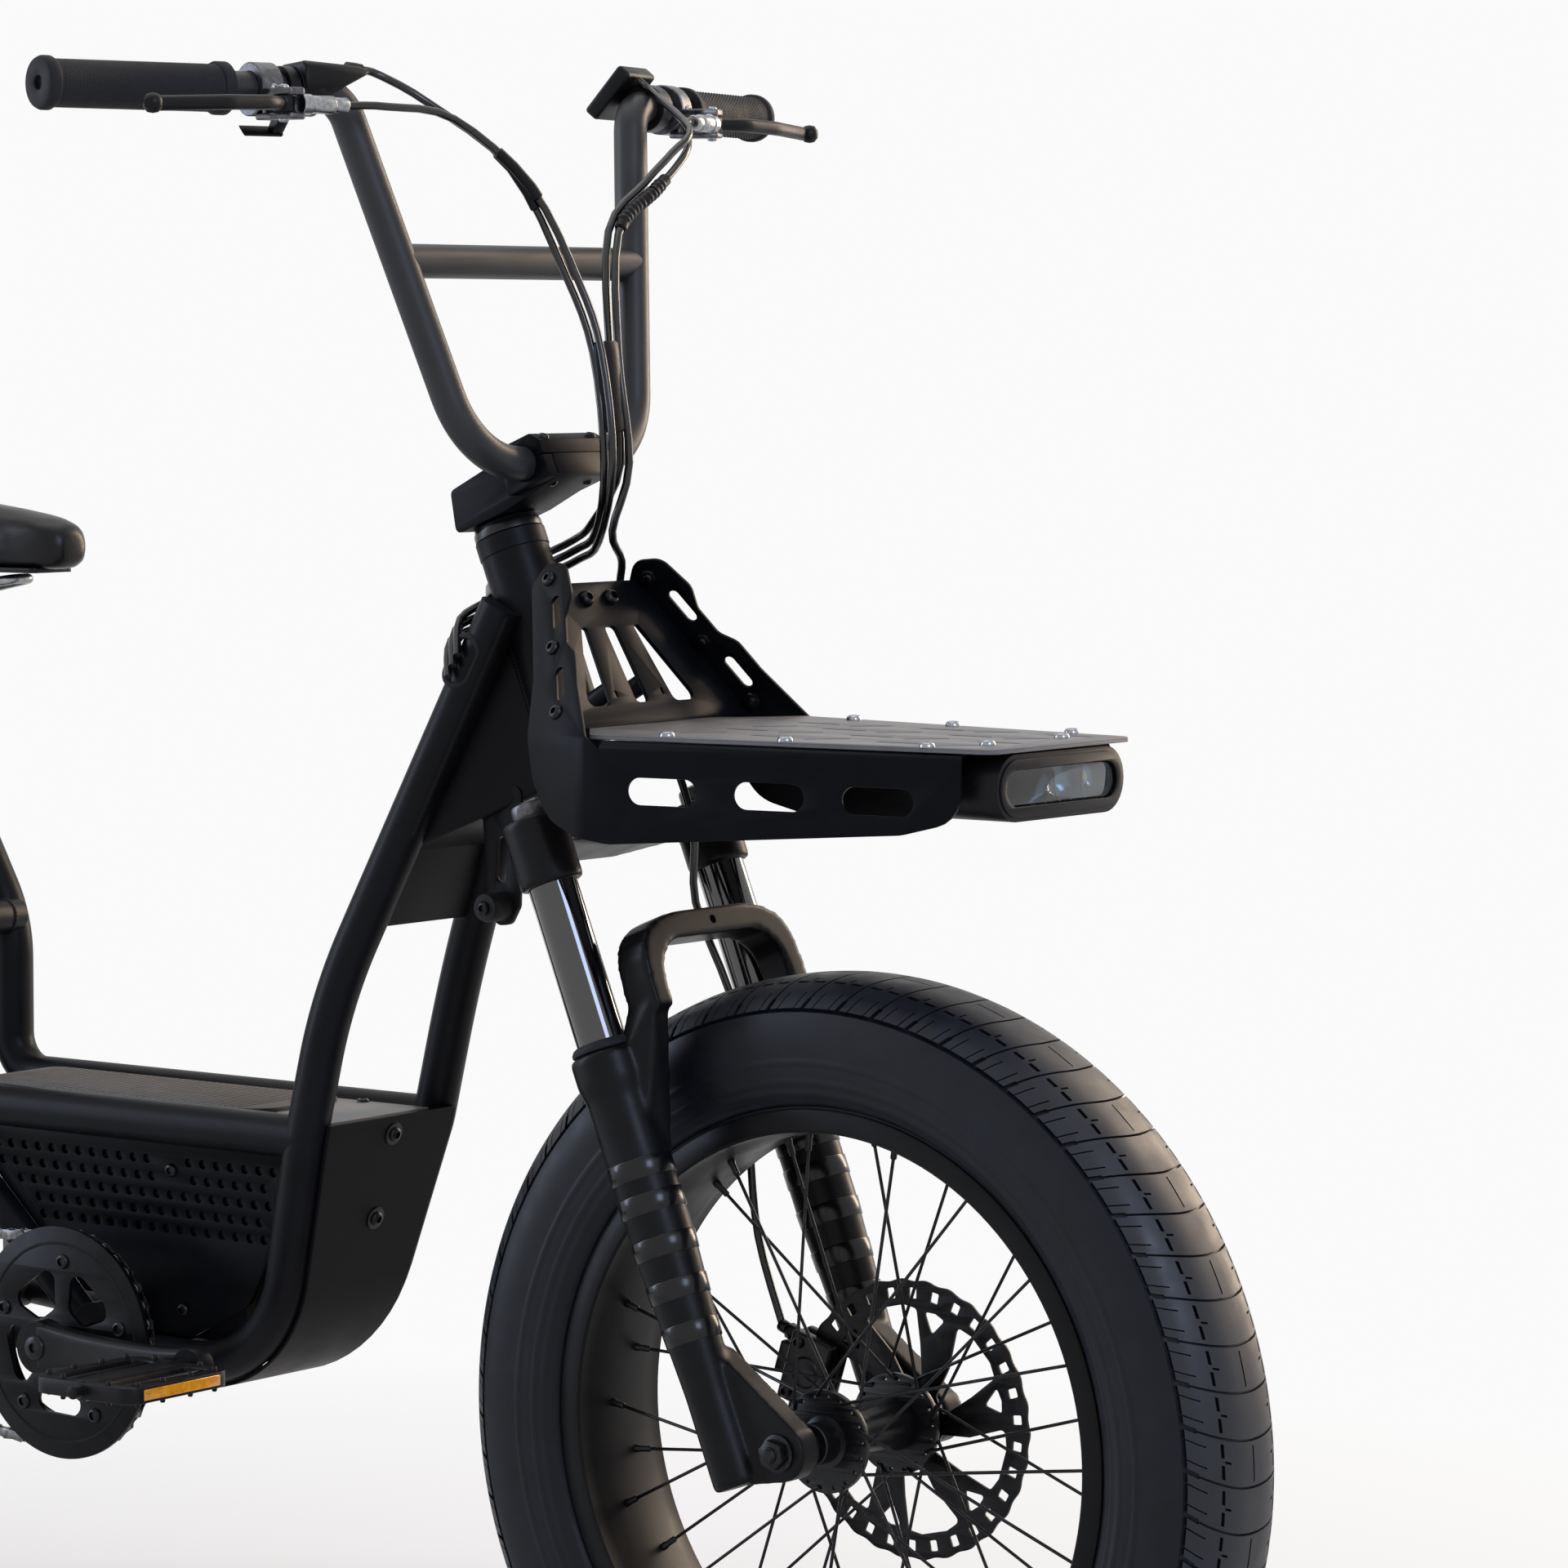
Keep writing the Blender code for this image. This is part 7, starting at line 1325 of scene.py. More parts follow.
for side in (1, -1):
    window = ((0.0238, -0.0320), (0.0292, -0.0320), (0.0575, -0.0877), (0.0324, -0.0877))
    backHoles.append(filletLoop([(side * y, v) for y, v in window], [0.0015, 0.0015, 0.0050, 0.0050], 4))
    backHoles.append(slotLoop(side * 0.0237, -0.0800, 0.0055, 0.0022, math.pi / 2, 4))
place("rack_back_plate", plateMesh([backOutline] + backHoles, rackTop, yAxis, rackUp, 0, 0.003, 0.0005), "powderCoatSheetPaintedShade", "frame",
      ("rack_back",), "rack_coat", 30)

edgeLow, edgeTop = plateLow - yAxis * rack["rearHalf"], rackTop - yAxis * rack["topHalf"]
edgeDir = (edgeTop - edgeLow).normalized()
flatDir = rackFwd - edgeDir * (rackFwd.z / edgeDir.z)
earLen = (edgeTop - edgeLow).length
wallTop = deckLow - 0.0018
wallLow = deckLow - 0.0045 - rack["wallLow"]


def earPoint(v, f):
    return edgeLow + edgeDir * v + rackFwd * f


foldAt = edgeLow + edgeDir * ((wallTop - edgeLow.z) / edgeDir.z)
earRear, earFront = foldAt - flatDir * 0.015, foldAt + flatDir * 0.030
wallFront = Vector((rack["frontX"] - 0.020, -rack["frontHalf"], wallTop))
taper = (earFront.y - wallFront.y) / (wallFront.x - earFront.x)


def wallPoint(x, z):
    return Vector((x, earFront.y - taper * (x - earFront.x), z))


def heelPoint(t, z):
    p = earRear.lerp(earFront, t)
    return Vector((p.x, p.y, z))


def softCorners(loop, radii):
    return filletLoop([tuple(p) for p in loop], radii, 5)


depth = rack["earDepth"]
earLoop = softCorners([earRear, earPoint(earLen * 0.40, -0.007), earPoint(earLen + 0.002, -0.004), earPoint(earLen + 0.012, 0.010),
                       earPoint(earLen + 0.003, 0.027), earPoint(earLen * 0.80, depth), earPoint(earLen * 0.68, depth - 0.007),
                       earPoint(earLen * 0.50, depth - 0.007), earPoint(earLen * 0.40, depth), earPoint(earLen * 0.20, depth), earFront],
                      [0, 0.02, 0.008, 0.010, 0.012, 0.012, 0.010, 0.010, 0.012, 0.03, 0])
heelLow = heelPoint(1.0, wallLow + 0.003)
heelLoop = softCorners([earFront, earRear, heelPoint(0.10, wallLow + 0.036), heelPoint(0.42, wallLow + 0.012), heelLow],
                       [0, 0, 0.03, 0.03, 0])
flangeStart = wallPoint(earFront.x + 0.014, wallTop)
wallLoop = softCorners([earFront, heelLow, wallPoint(earFront.x + 0.020, wallLow), wallPoint(wallFront.x - 0.040, wallLow + rack["wallRise"]),
                        wallPoint(wallFront.x, wallLow + rack["wallRise"] + 0.010), wallFront, flangeStart],
                       [0, 0, 0.05, 0.03, 0.022, 0, 0])
flangeLoop = [wallFront, flangeStart, flangeStart + Vector((0.004, 0.012, 0)), wallFront + Vector((-0.004, 0.012, 0))]


def foldedSheet(loops, thickness, foldRadius):
    bm = bmesh.new()
    seen = {}
    for loop in loops:
        ring = []
        for p in loop:
            key = tuple(round(c, 6) for c in p)
            if key not in seen:
                seen[key] = bm.verts.new(p)
            if not ring or ring[-1] is not seen[key]:
                ring.append(seen[key])
        bm.faces.new(ring)
    bmesh.ops.recalc_face_normals(bm, faces=bm.faces)
    folds = [e for e in bm.edges if len(e.link_faces) == 2 and e.calc_face_angle() > 0.05]
    bmesh.ops.bevel(bm, geom=folds, offset=foldRadius, segments=5, affect="EDGES", profile=0.5, clamp_overlap=True)
    mesh = bpy.data.meshes.new("folded")
    bm.to_mesh(mesh)
    bm.free()
    return shaped(mesh, ("SOLIDIFY", {"thickness": thickness, "offset": 0.0, "use_even_offset": True}))


wallRun = (wallFront - earFront).normalized()
slotCuts = []
for k in range(3):
    mid = wallPoint(rack["slotFirst"] + rack["slotStep"] * k, wallTop - 0.0289)
    slotCuts.append(plateMesh([slotLoop(0, 0, rack["slotLength"], rack["slotWide"], 0, 12)], mid, wallRun, zAxis, -0.02, 0.02, 0))
for v in (0.26, 0.74):
    slotCuts.append(plateMesh([slotLoop(0, 0, 0.025, 0.0075, math.pi / 2, 10)], earPoint(earLen * v, 0.0165), rackFwd, edgeDir, -0.01, 0.01, 0))
sideSheet = carved(foldedSheet([earLoop, heelLoop, wallLoop, flangeLoop], rack["wallT"], 0.0042), joined(*slotCuts))
sideSheet = rounded(merged(sideSheet, 2e-6), 0.0004, 2, 40)
place("rack_wall_right", sideSheet, "powderCoatSheetPaintedShade", "frame", ("rack_side_right",), "rack_coat", 30)
place("rack_wall_left", mirrored(sideSheet), "powderCoatSheetPaintedShade", "frame", ("rack_side_left",), "rack_coat", 30)

deckBack = plateLow.x + 0.003 / math.cos(rackLean) + 0.0006
deckWide = earFront.x + 0.004
deckRear = -wallPoint(deckWide, 0).y - 0.0045
deckFront = rack["frontHalf"] - 0.0035
deckRight = [(deckBack, -(deckRear - 1.25 * (deckWide - deckBack))), (deckWide, -deckRear), (rack["frontX"] - 0.006, -deckFront),
             (rack["frontX"], -deckFront + 0.006)]
deckLoop = deckRight + [(x, -y) for x, y in reversed(deckRight)]
grooves = []
for col in range(5):
    for row in range(4):
        x, y = 0.478 + 0.048 * col, -0.057 + 0.038 * row
        if (row + col) % 2:
            grooves.append(slotLoop(x + 0.006, y, 0.034, 0.0052, 0.0, 5))
        else:
            grooves.append(slotLoop(x, y, 0.030, 0.0052, 0.80, 5))
deckBase = plateMesh([deckLoop], Vector((0, 0, 0)), xAxis, yAxis, deckLow, rack["deckZ"] - 0.0010, 0.0004)
deckSkin = plateMesh([deckLoop] + grooves, Vector((0, 0, 0)), xAxis, yAxis, rack["deckZ"] - 0.0011, rack["deckZ"], 0.0003)
place("rack_deck_plate", joined(deckBase, deckSkin), "texturedCoatPaintedSheen", "frame", ("rack_deck",), "rack_coat", 30)
deckBolts = [(Vector((x, s * y, rack["deckZ"])), zAxis) for s in (1, -1) for x, y in ((0.482, 0.098), (0.566, 0.089), (0.664, 0.078))]
deckBolts += [(Vector((0.682, y, rack["deckZ"])), zAxis) for y in (-0.040, 0.040)]
earNormal = rackFwd.cross(edgeDir).normalized()
if earNormal.y > 0:
    earNormal = -earNormal
earBolts = [(earPoint(earLen * v, 0.0125) + earNormal * 0.0013, earNormal) for v in (0.985, 0.52, 0.09)]
domeBolt = boltHead(0.0050, 0.0032, 0.45)
place("rack_deck_bolts", seatItems(domeBolt, deckBolts, "boltSteel"), "boltSteel", "frame", (), "axle_steel", 40)
place("rack_ear_bolts", seatItems(domeBolt, earBolts + [(flipY(p), flipY(n)) for p, n in earBolts], "blackOxide"), "blackOxide", "frame", (),
      "axle_steel", 40)
backBolts = [(rackTop + rackUp * v + yAxis * y + rackFwd * 0.003, rackFwd) for v in (-0.012,) for y in (-0.0125, 0.0125)]
place("rack_back_bolts", seatItems(boltHead(0.0056, 0.0046), backBolts, "blackOxide"), "blackOxide", "frame", (), "axle_steel", 40)
innerNuts = [(p - n * 0.0028, -n) for p, n in earBolts]
place("rack_nuts", seatItems(hexNut(0.0056, 0.0040), innerNuts + [(flipY(p), flipY(n)) for p, n in innerNuts], "blackOxide"), "blackOxide",
      "frame", (), "axle_steel", 30)

# Headlight.
lamp = {"half": 0.069, "high": 0.041, "deep": 0.046, "bezel": 0.0092}
lampMid = Vector((rack["frontX"], 0, deckLow - 0.0011 - lamp["high"] / 2))
lampBack = lampMid - xAxis * (lamp["deep"] + 0.002)
shellLoop = slotLoop(0, 0, 2 * lamp["half"], lamp["high"], 0, 16)
mouthLoop = slotLoop(0, 0, 2 * lamp["half"] - 2 * lamp["bezel"], lamp["high"] - 2 * lamp["bezel"], 0, 16)
lampCup = carved(plateMesh([shellLoop], lampBack, yAxis, zAxis, 0, lamp["deep"], 0.0032),
                 plateMesh([mouthLoop], lampBack, yAxis, zAxis, lamp["deep"] - 0.020, lamp["deep"] + 0.01, 0))
place("headlight_case", lampCup, "mouldedNylon", "frame", ("headlight",), "black_plastic", 35)
ringOut = slotLoop(0, 0, 2 * lamp["half"] - 0.0060, lamp["high"] - 0.0060, 0, 16)
place("headlight_bezel", plateMesh([ringOut, mouthLoop], lampBack, yAxis, zAxis, lamp["deep"] - 0.0012, lamp["deep"] + 0.0012, 0.0007),
      "mouldedNylon", "frame", ("headlight",), "black_plastic", 30)
lensLoop = slotLoop(0, 0, 2 * lamp["half"] - 0.0192, lamp["high"] - 0.0192, 0, 16)
place("headlight_window", plateMesh([lensLoop], lampBack, yAxis, zAxis, lamp["deep"] - 0.0045, lamp["deep"] - 0.0012, 0.0006), "clearLens",
      "frame", ("headlight_lens",), "lens_clear", 30)
cupItem = turned([(0.0108, 0.0100), (0.0101, 0.0103), (0.0086, 0.0060), (0.0062, 0.0023), (0.0030, 0.0004), (0.0030, -0.0008), (0.0108, -0.0008)],
                 Vector((0, 0, 0)), zAxis, 28, True)
chipItem = turned([(0, 0.0030), (0.0012, 0.0028), (0.0022, 0.0018), (0.0026, 0.0006), (0.0026, -0.0004), (0, -0.0004)], Vector((0, 0, 0)), zAxis, 16)
cupSpots = [(lampBack + xAxis * (lamp["deep"] - 0.0180) + yAxis * (0.0268 * (k - 1.5)), xAxis, yAxis) for k in range(4)]
place("lamp_reflectors", seatItems(cupItem, cupSpots, "mirrorCoat"), "mirrorCoat", "frame", ("headlight",), "lens_clear", 40)
place("lamp_chips", seatItems(chipItem, cupSpots, "phosphor"), "phosphor", "frame", ("headlight",), "lens_clear", 40)
lampFloor = plateMesh([mouthLoop] + [ringLoop(0.0268 * (k - 1.5), 0, 0.0098, 24) for k in range(4)], lampBack, yAxis, zAxis,
                      lamp["deep"] - 0.0110, lamp["deep"] - 0.0090, 0.0004)
place("lamp_mask", lampFloor, "mouldedNylon", "frame", ("headlight",), "black_plastic", 35)
lampTabs = [blockMesh(lampMid - xAxis * 0.036, xAxis, yAxis, (-0.010, s * 0.050 - 0.006, lamp["high"] / 2 - 0.002),
                      (0.010, s * 0.050 + 0.006, lamp["high"] / 2 + 0.0010), 0.0008) for s in (1, -1)]
place("lamp_tabs", joined(*lampTabs), "mouldedNylon", "frame", ("headlight",), "black_plastic", 35)
print("rack and lamp made")

# Covers of the box between the tubes.
cover = {"thick": 0.0025, "panelT": 0.002, "panelIn": 0.004, "holeR": 0.0033, "rowStep": 0.0118, "holeStep": 0.0126}
coverOff = tube["radius"] * 1.03 + 0.0003 + cover["thick"] / 2
coverTop = downCorners[2].lerp(knee, 0.013 / (knee.z - tube["floorZ"]))
bendOne, bendTwo = downPath[14:27], downPath[27:40]
coverStop = bendTwo[-1]
coverPath = [coverTop] + bendOne + bendTwo + [coverStop - xAxis * 0.012]
coverRows = []
for i, p in enumerate(coverPath):
    run = coverPath[min(i + 1, len(coverPath) - 1)] - coverPath[max(i - 1, 0)]
    run.y = 0
    run.normalize()
    away = Vector((-run.z, 0, run.x)) * coverOff
    coverRows.append([Vector((p.x, p.y * (1 - 2 * t), p.z)) + away for t in (0, 0.02, 0.25, 0.5, 0.75, 0.98, 1)])


def gridSheet(rows, thickness, edge):
    width = len(rows[0])
    verts = [v for row in rows for v in row]
    faces = [(i * width + k, i * width + k + 1, (i + 1) * width + k + 1, (i + 1) * width + k)
             for i in range(len(rows) - 1) for k in range(width - 1)]
    mesh = bpy.data.meshes.new("sheet")
    mesh.from_pydata(verts, [], faces)
    return rounded(shaped(mesh, ("SOLIDIFY", {"thickness": thickness, "offset": 0.0, "use_even_offset": True})), edge, 2, 40)


place("front_cover_sheet", gridSheet(coverRows, cover["thick"], 0.0007), "powderCoatSheetPaintedShade", "frame", ("front_cover",), "frame_coat", 35)


def onCover(z, y):
    for a, b in zip(coverRows, coverRows[1:]):
        pa, pb = a[3], b[3]
        if pb.z <= z <= pa.z:
            t = (pa.z - z) / (pa.z - pb.z)
            run = (pb - pa).normalized()
            out = Vector((-run.z, 0, run.x))
            return pa.lerp(pb, t) + yAxis * y + out * (cover["thick"] / 2), out
    return coverRows[0][3], xAxis


coverScrews = [onCover(0.4470, 0.0030), onCover(0.3890, 0.0030)]
screwSet = joined(turned([(0.0034, 0.0), (0.0078, 0.0), (0.0080, 0.0004), (0.0078, 0.0010), (0.0034, 0.0012)], Vector((0, 0, 0)), zAxis, 28, True),
                  moved(boltHead(0.0050, 0.0030, 0.5), zAxis * 0.0009))
place("front_cover_screws", seatItems(screwSet, coverScrews, "blackOxide"), "blackOxide", "frame", (), "axle_steel", 40)

panelLean = Vector((0, tube["railHalf"] - tube["floorHalf"], tube["floorZ"] - tube["railZ"])).normalized()
panelLow, panelHigh = tube["railZ"] + tube["radius"] + 0.001, tube["floorZ"] - tube["radius"] - 0.001
panelEdge = tube["radius"] * 1.04 + 0.001
strutSlope = (tube["floorZ"] + 0.004 - tube["railZ"] - 0.006) / (tube["riseX"] + 0.032 - bbAt.x + 0.012)


def strutX(z):
    return bbAt.x - 0.012 + (z - tube["railZ"] - 0.006) / strutSlope


strutEdge = tube["radius"] * 0.8 * math.hypot(1, 1 / strutSlope) + 0.0015
toeCut = tube["toeBend"] * 0.8
shellX, shellZ = bbAt.x + 0.026, bbAt.z + 0.026
panelXZ = [(shellX, shellZ), (shellX, panelLow), (tube["toeX"] - toeCut, panelLow),
           (downX(panelLow + toeCut * 0.35) - panelEdge - toeCut * 0.24, panelLow + toeCut * 0.35),
           (downX(panelLow + toeCut) - panelEdge - 0.001, panelLow + toeCut), (downX(panelHigh) - panelEdge, panelHigh),
           (strutX(panelHigh) + strutEdge, panelHigh), (strutX(shellZ) + strutEdge, shellZ)]
panelLoop = filletLoop([(x, (z - tube["railZ"]) / panelLean.z) for x, z in panelXZ], [0.002, 0.002, 0.02, 0.02, 0.02, 0.005, 0.005, 0.003], 4)
panelAt = Vector((0, -tube["railHalf"], tube["railZ"]))
panelHoles = []
for row in range(5):
    z = panelHigh - 0.0125 - cover["rowStep"] * row
    first = strutX(z) + strutEdge + 0.012
    last = downX(z) - panelEdge - 0.012
    count = int((last - first) / cover["holeStep"])
    for k in range(count + 1):
        x = last - cover["holeStep"] * (k + 0.5 * (row % 2))
        if x > first and (row > 1 or abs(x - 0.0285) > 0.0112):
            panelHoles.append(ringLoop(x, (z - tube["railZ"]) / panelLean.z, cover["holeR"], 16))
linerMesh = plateMesh([panelLoop], panelAt, xAxis, panelLean, -cover["panelIn"] - cover["panelT"] - 0.0012, -cover["panelIn"] - cover["panelT"] - 0.0004, 0)
panelMesh = plateMesh([panelLoop] + panelHoles, panelAt, xAxis, panelLean, -cover["panelIn"] - cover["panelT"], -cover["panelIn"], 0.0004)
panelOut = xAxis.cross(panelLean).normalized()


def onPanel(x, z):
    return panelAt + xAxis * x + panelLean * ((z - tube["railZ"]) / panelLean.z) - panelOut * cover["panelIn"]


for name, fix, flip in (("right", lambda m: m, lambda p: p), ("left", mirrored, flipY)):
    place("side_panel_liner_" + name, fix(linerMesh), "mouldedNylon", "frame", ("side_panel_" + name,), "black_plastic", 30)
    place("side_panel_sheet_" + name, fix(panelMesh), "powderCoatSheetPaintedShade", "frame", ("side_panel_" + name,), "frame_coat", 30)
    dots = [(flip(onPanel(x, z)), flip(panelOut)) for x, z in ((0.0285, 0.4160), (0.0280, 0.3195))]
    place("side_panel_screws_" + name, seatItems(boltHead(0.0048, 0.0028, 0.5), dots, "blackOxide"), "blackOxide", "frame", (), "axle_steel", 40)

floorHalfIn = tube["floorHalf"] - tube["radius"] - 0.0008
floorFront = downX(tube["floorZ"]) + tube["radius"] * 0.6
plateFloor = blockMesh(Vector((0, 0, floorTop)), xAxis, yAxis, (tube["riseX"] + 0.055, -floorHalfIn, -0.004), (floorFront, floorHalfIn, -0.0008), 0.0006)
matLoop = filletLoop([(tube["riseX"] + 0.060, -0.0455), (floorFront - 0.066, -0.0455), (floorFront - 0.066, 0.0455),
                      (tube["riseX"] + 0.060, 0.0455)], [0.010, 0.022, 0.022, 0.010], 6)
place("floor_plate", plateFloor, "texturedCoatPaintedSheen", "frame", ("floor_cover",), "black_plastic", 30)
place("floor_mat", plateMesh([matLoop], Vector((0, 0, floorTop)), xAxis, yAxis, -0.0010, 0.0020, 0.0009), "matFoam", "frame", ("floor_cover",),
      "black_plastic", 30)
matRib = blockMesh(Vector((0, 0, 0)), xAxis, yAxis, (-0.0430, -0.0006, -0.0006), (0.0430, 0.0006, 0.0005), 0.0003)
ribSpots = [(Vector((tube["riseX"] + 0.070 + 0.0062 * k, 0, floorTop + 0.0020)), zAxis, yAxis) for k in range(40)]
place("floor_mat_ribs", seatItems(matRib, ribSpots, "matFoam"), "matFoam", "frame", ("floor_cover",), "black_plastic", 40)
floorScrews = [(Vector((floorFront - 0.054, y, floorTop - 0.0009)), zAxis) for y in (-0.045, 0.045)]
place("floor_screws", seatItems(boltHead(0.0044, 0.0024, 0.5), floorScrews, "blackOxide"), "blackOxide", "frame", (), "axle_steel", 40)
print("covers made")

# Drive.
drive = {"chainY": 0.088, "pitch": 0.0127, "ringTeeth": 36, "cogTeeth": 18, "guardR": 0.079, "ringT": 0.003}
ringPitch = drive["pitch"] / (2 * math.sin(math.pi / drive["ringTeeth"]))
cogPitch = drive["pitch"] / (2 * math.sin(math.pi / drive["cogTeeth"]))
guardIn = drive["chainY"] + 0.004 + 0.0015


def toothedLoop(pitchR, teeth, centre, phase=0.0):
    out = []
    for k in range(teeth):
        a = math.tau * k / teeth + phase
        step = math.tau / teeth
        for t, r in ((-0.50, pitchR - 0.0046), (-0.36, pitchR - 0.0040), (-0.20, pitchR - 0.0004), (-0.08, pitchR + 0.0018),
                     (0.08, pitchR + 0.0018), (0.20, pitchR - 0.0004), (0.36, pitchR - 0.0040)):
            out.append((centre.x + r * math.cos(a + t * step), centre.z + r * math.sin(a + t * step)))
    return out


guardLoops = [ringLoop(bbAt.x, bbAt.z, drive["guardR"], 120), ringLoop(bbAt.x, bbAt.z, 0.0122, 36)]
ringBolts = []
for k in range(5):
    a = math.tau * k / 5 + 0.9
    corners = [(0.0235, -0.38), (0.0235, 0.38), (0.046, 0.47), (0.051, 0.30), (0.051, -0.30), (0.046, -0.47)]
    loop = [(bbAt.x + r * math.cos(a + t), bbAt.z + r * math.sin(a + t)) for r, t in corners]
    guardLoops.append(filletLoop(loop, [0.007, 0.007, 0.009, 0.012, 0.012, 0.009], 5))
    b = a + math.pi / 5
    ringBolts.append((Vector((bbAt.x + 0.0555 * math.cos(b), -guardIn - drive["ringT"], bbAt.z + 0.0555 * math.sin(b))), -yAxis))
guard = plateMesh(guardLoops, Vector((0, 0, 0)), xAxis, zAxis, guardIn, guardIn + drive["ringT"], 0.0007)
guardLip = turned([(0.0665, 0.0002), (0.0672, -0.0006), (0.0682, -0.0006), (0.0690, 0.0002)], bbAt - yAxis * (guardIn + drive["ringT"]), yAxis, 96, True)
toothRing = plateMesh([toothedLoop(ringPitch - 0.0045, drive["ringTeeth"], bbAt), ringLoop(bbAt.x, bbAt.z, 0.052, 72)], Vector((0, 0, 0)),
                      xAxis, zAxis, drive["chainY"] - 0.0010, drive["chainY"] + 0.0010, 0.0003)
ringSpacer = turned([(0.052, -guardIn - 0.0005), (0.062, -guardIn - 0.0005), (0.062, -drive["chainY"] + 0.0005), (0.052, -drive["chainY"] + 0.0005)],
                    bbAt, yAxis, 72, True)
place("chainring_guard", joined(guard, guardLip, ringSpacer), "forgedAlloy", "crankset", ("chainring",), "crank_coat", 30)
place("chainring_teeth", toothRing, "forgedAlloy", "crankset", ("chainring",), "crank_coat", 30)
place("chainring_bolts", seatItems(boltHead(0.0052, 0.0026, 0.55), ringBolts, "blackOxide"), "blackOxide", "crankset", (), "axle_steel", 40)
cog = plateMesh([toothedLoop(cogPitch - 0.0045, drive["cogTeeth"], rearAxle), ringLoop(rearAxle.x, rearAxle.z, 0.0232, 40)], Vector((0, 0, 0)),
                xAxis, zAxis, drive["chainY"] - 0.0010, drive["chainY"] + 0.0010, 0.0003)
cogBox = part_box("rear_sprocket")
cogBoss = turned([(0.0226, -max(-cogBox[0][1], -cogBox[1][1]) + 0.0004), (0.0240, -max(-cogBox[0][1], -cogBox[1][1]) + 0.0004),
                  (0.0240, -min(-cogBox[0][1], -cogBox[1][1]) - 0.0004), (0.0226, -min(-cogBox[0][1], -cogBox[1][1]) - 0.0004)], rearAxle, yAxis, 40, True)
place("sprocket_cog", joined(cog, cogBoss), "chainPlate", "freewheel", ("rear_sprocket",), "chain_steel", 30)

gap = bbAt - rearAxle
beltTilt, beltLift = math.atan2(gap.z, gap.x), math.acos((ringPitch - cogPitch) / gap.length)
loopPath = [(bbAt.x + ringPitch * math.cos(beltTilt - beltLift + 2 * beltLift * k / 60),
             bbAt.z + ringPitch * math.sin(beltTilt - beltLift + 2 * beltLift * k / 60)) for k in range(61)]
loopPath += [(rearAxle.x + cogPitch * math.cos(beltTilt + beltLift + (math.tau - 2 * beltLift) * k / 40),
              rearAxle.z + cogPitch * math.sin(beltTilt + beltLift + (math.tau - 2 * beltLift) * k / 40)) for k in range(41)]
loopPath = [Vector((x, -drive["chainY"], z)) for x, z in loopPath]
loopPath.append(loopPath[0])
chainLength = runLength(loopPath)
linkCount = 2 * int(chainLength / drive["pitch"] / 2 + 0.5)
linkStep = chainLength / linkCount
pinAt, gone, want = [], 0.0, 0.0
for a, b in zip(loopPath, loopPath[1:]):
    span = (b - a).length
    while span > 0 and want <= gone + span and len(pinAt) < linkCount:
        pinAt.append(a.lerp(b, (want - gone) / span))
        want += linkStep
    gone += span


def linkPlate(y, thick):
    half = drive["pitch"] / 2
    loop = []
    for side, start in ((1, -math.pi / 2 + 0.42), (-1, math.pi / 2 + 0.42)):
        for k in range(6):
            a = start + (math.pi - 0.84) * k / 5
            loop.append((side * half + 0.0041 * math.cos(a), 0.0041 * math.sin(a)))
        loop.append((0, side * 0.0029))
    return plateMesh([loop], Vector((0, 0, 0)), xAxis, yAxis, y - thick / 2, y + thick / 2, 0.0002)


pinItem = turned([(0, 0.0039), (0.0014, 0.0039), (0.0017, 0.0036), (0.0017, -0.0036), (0.0014, -0.0039), (0, -0.0039)], Vector((0, 0, 0)), zAxis, 8)
rollItem = turned([(0.0017, 0.0013), (0.0036, 0.0013), (0.0039, 0.0010), (0.0039, -0.0010), (0.0036, -0.0013), (0.0017, -0.0013)], Vector((0, 0, 0)), zAxis, 10, True)
outerItem = joined(linkPlate(0.0032, 0.0008), linkPlate(-0.0032, 0.0008))
innerItem = joined(linkPlate(0.0020, 0.0009), linkPlate(-0.0020, 0.0009))
outerSpots, innerSpots = [], []
for k in range(linkCount):
    a, b = pinAt[k], pinAt[(k + 1) % linkCount]
    (outerSpots if k % 2 else innerSpots).append(((a + b) / 2, yAxis, (b - a).normalized()))
links = [seatItems(outerItem, outerSpots, "chainPlate"), seatItems(innerItem, innerSpots, "chainPlate"),
         seatItems(joined(pinItem, rollItem), [(p, yAxis) for p in pinAt], "chainPlate")]
place("chain_links", joined(*links), "chainPlate", "frame", ("chain",), "chain_steel", 30)

crankSize = {"length": 0.160, "tilt": math.radians(2.2), "thick": 0.015, "inside": 0.1065, "offset": 0.0265}


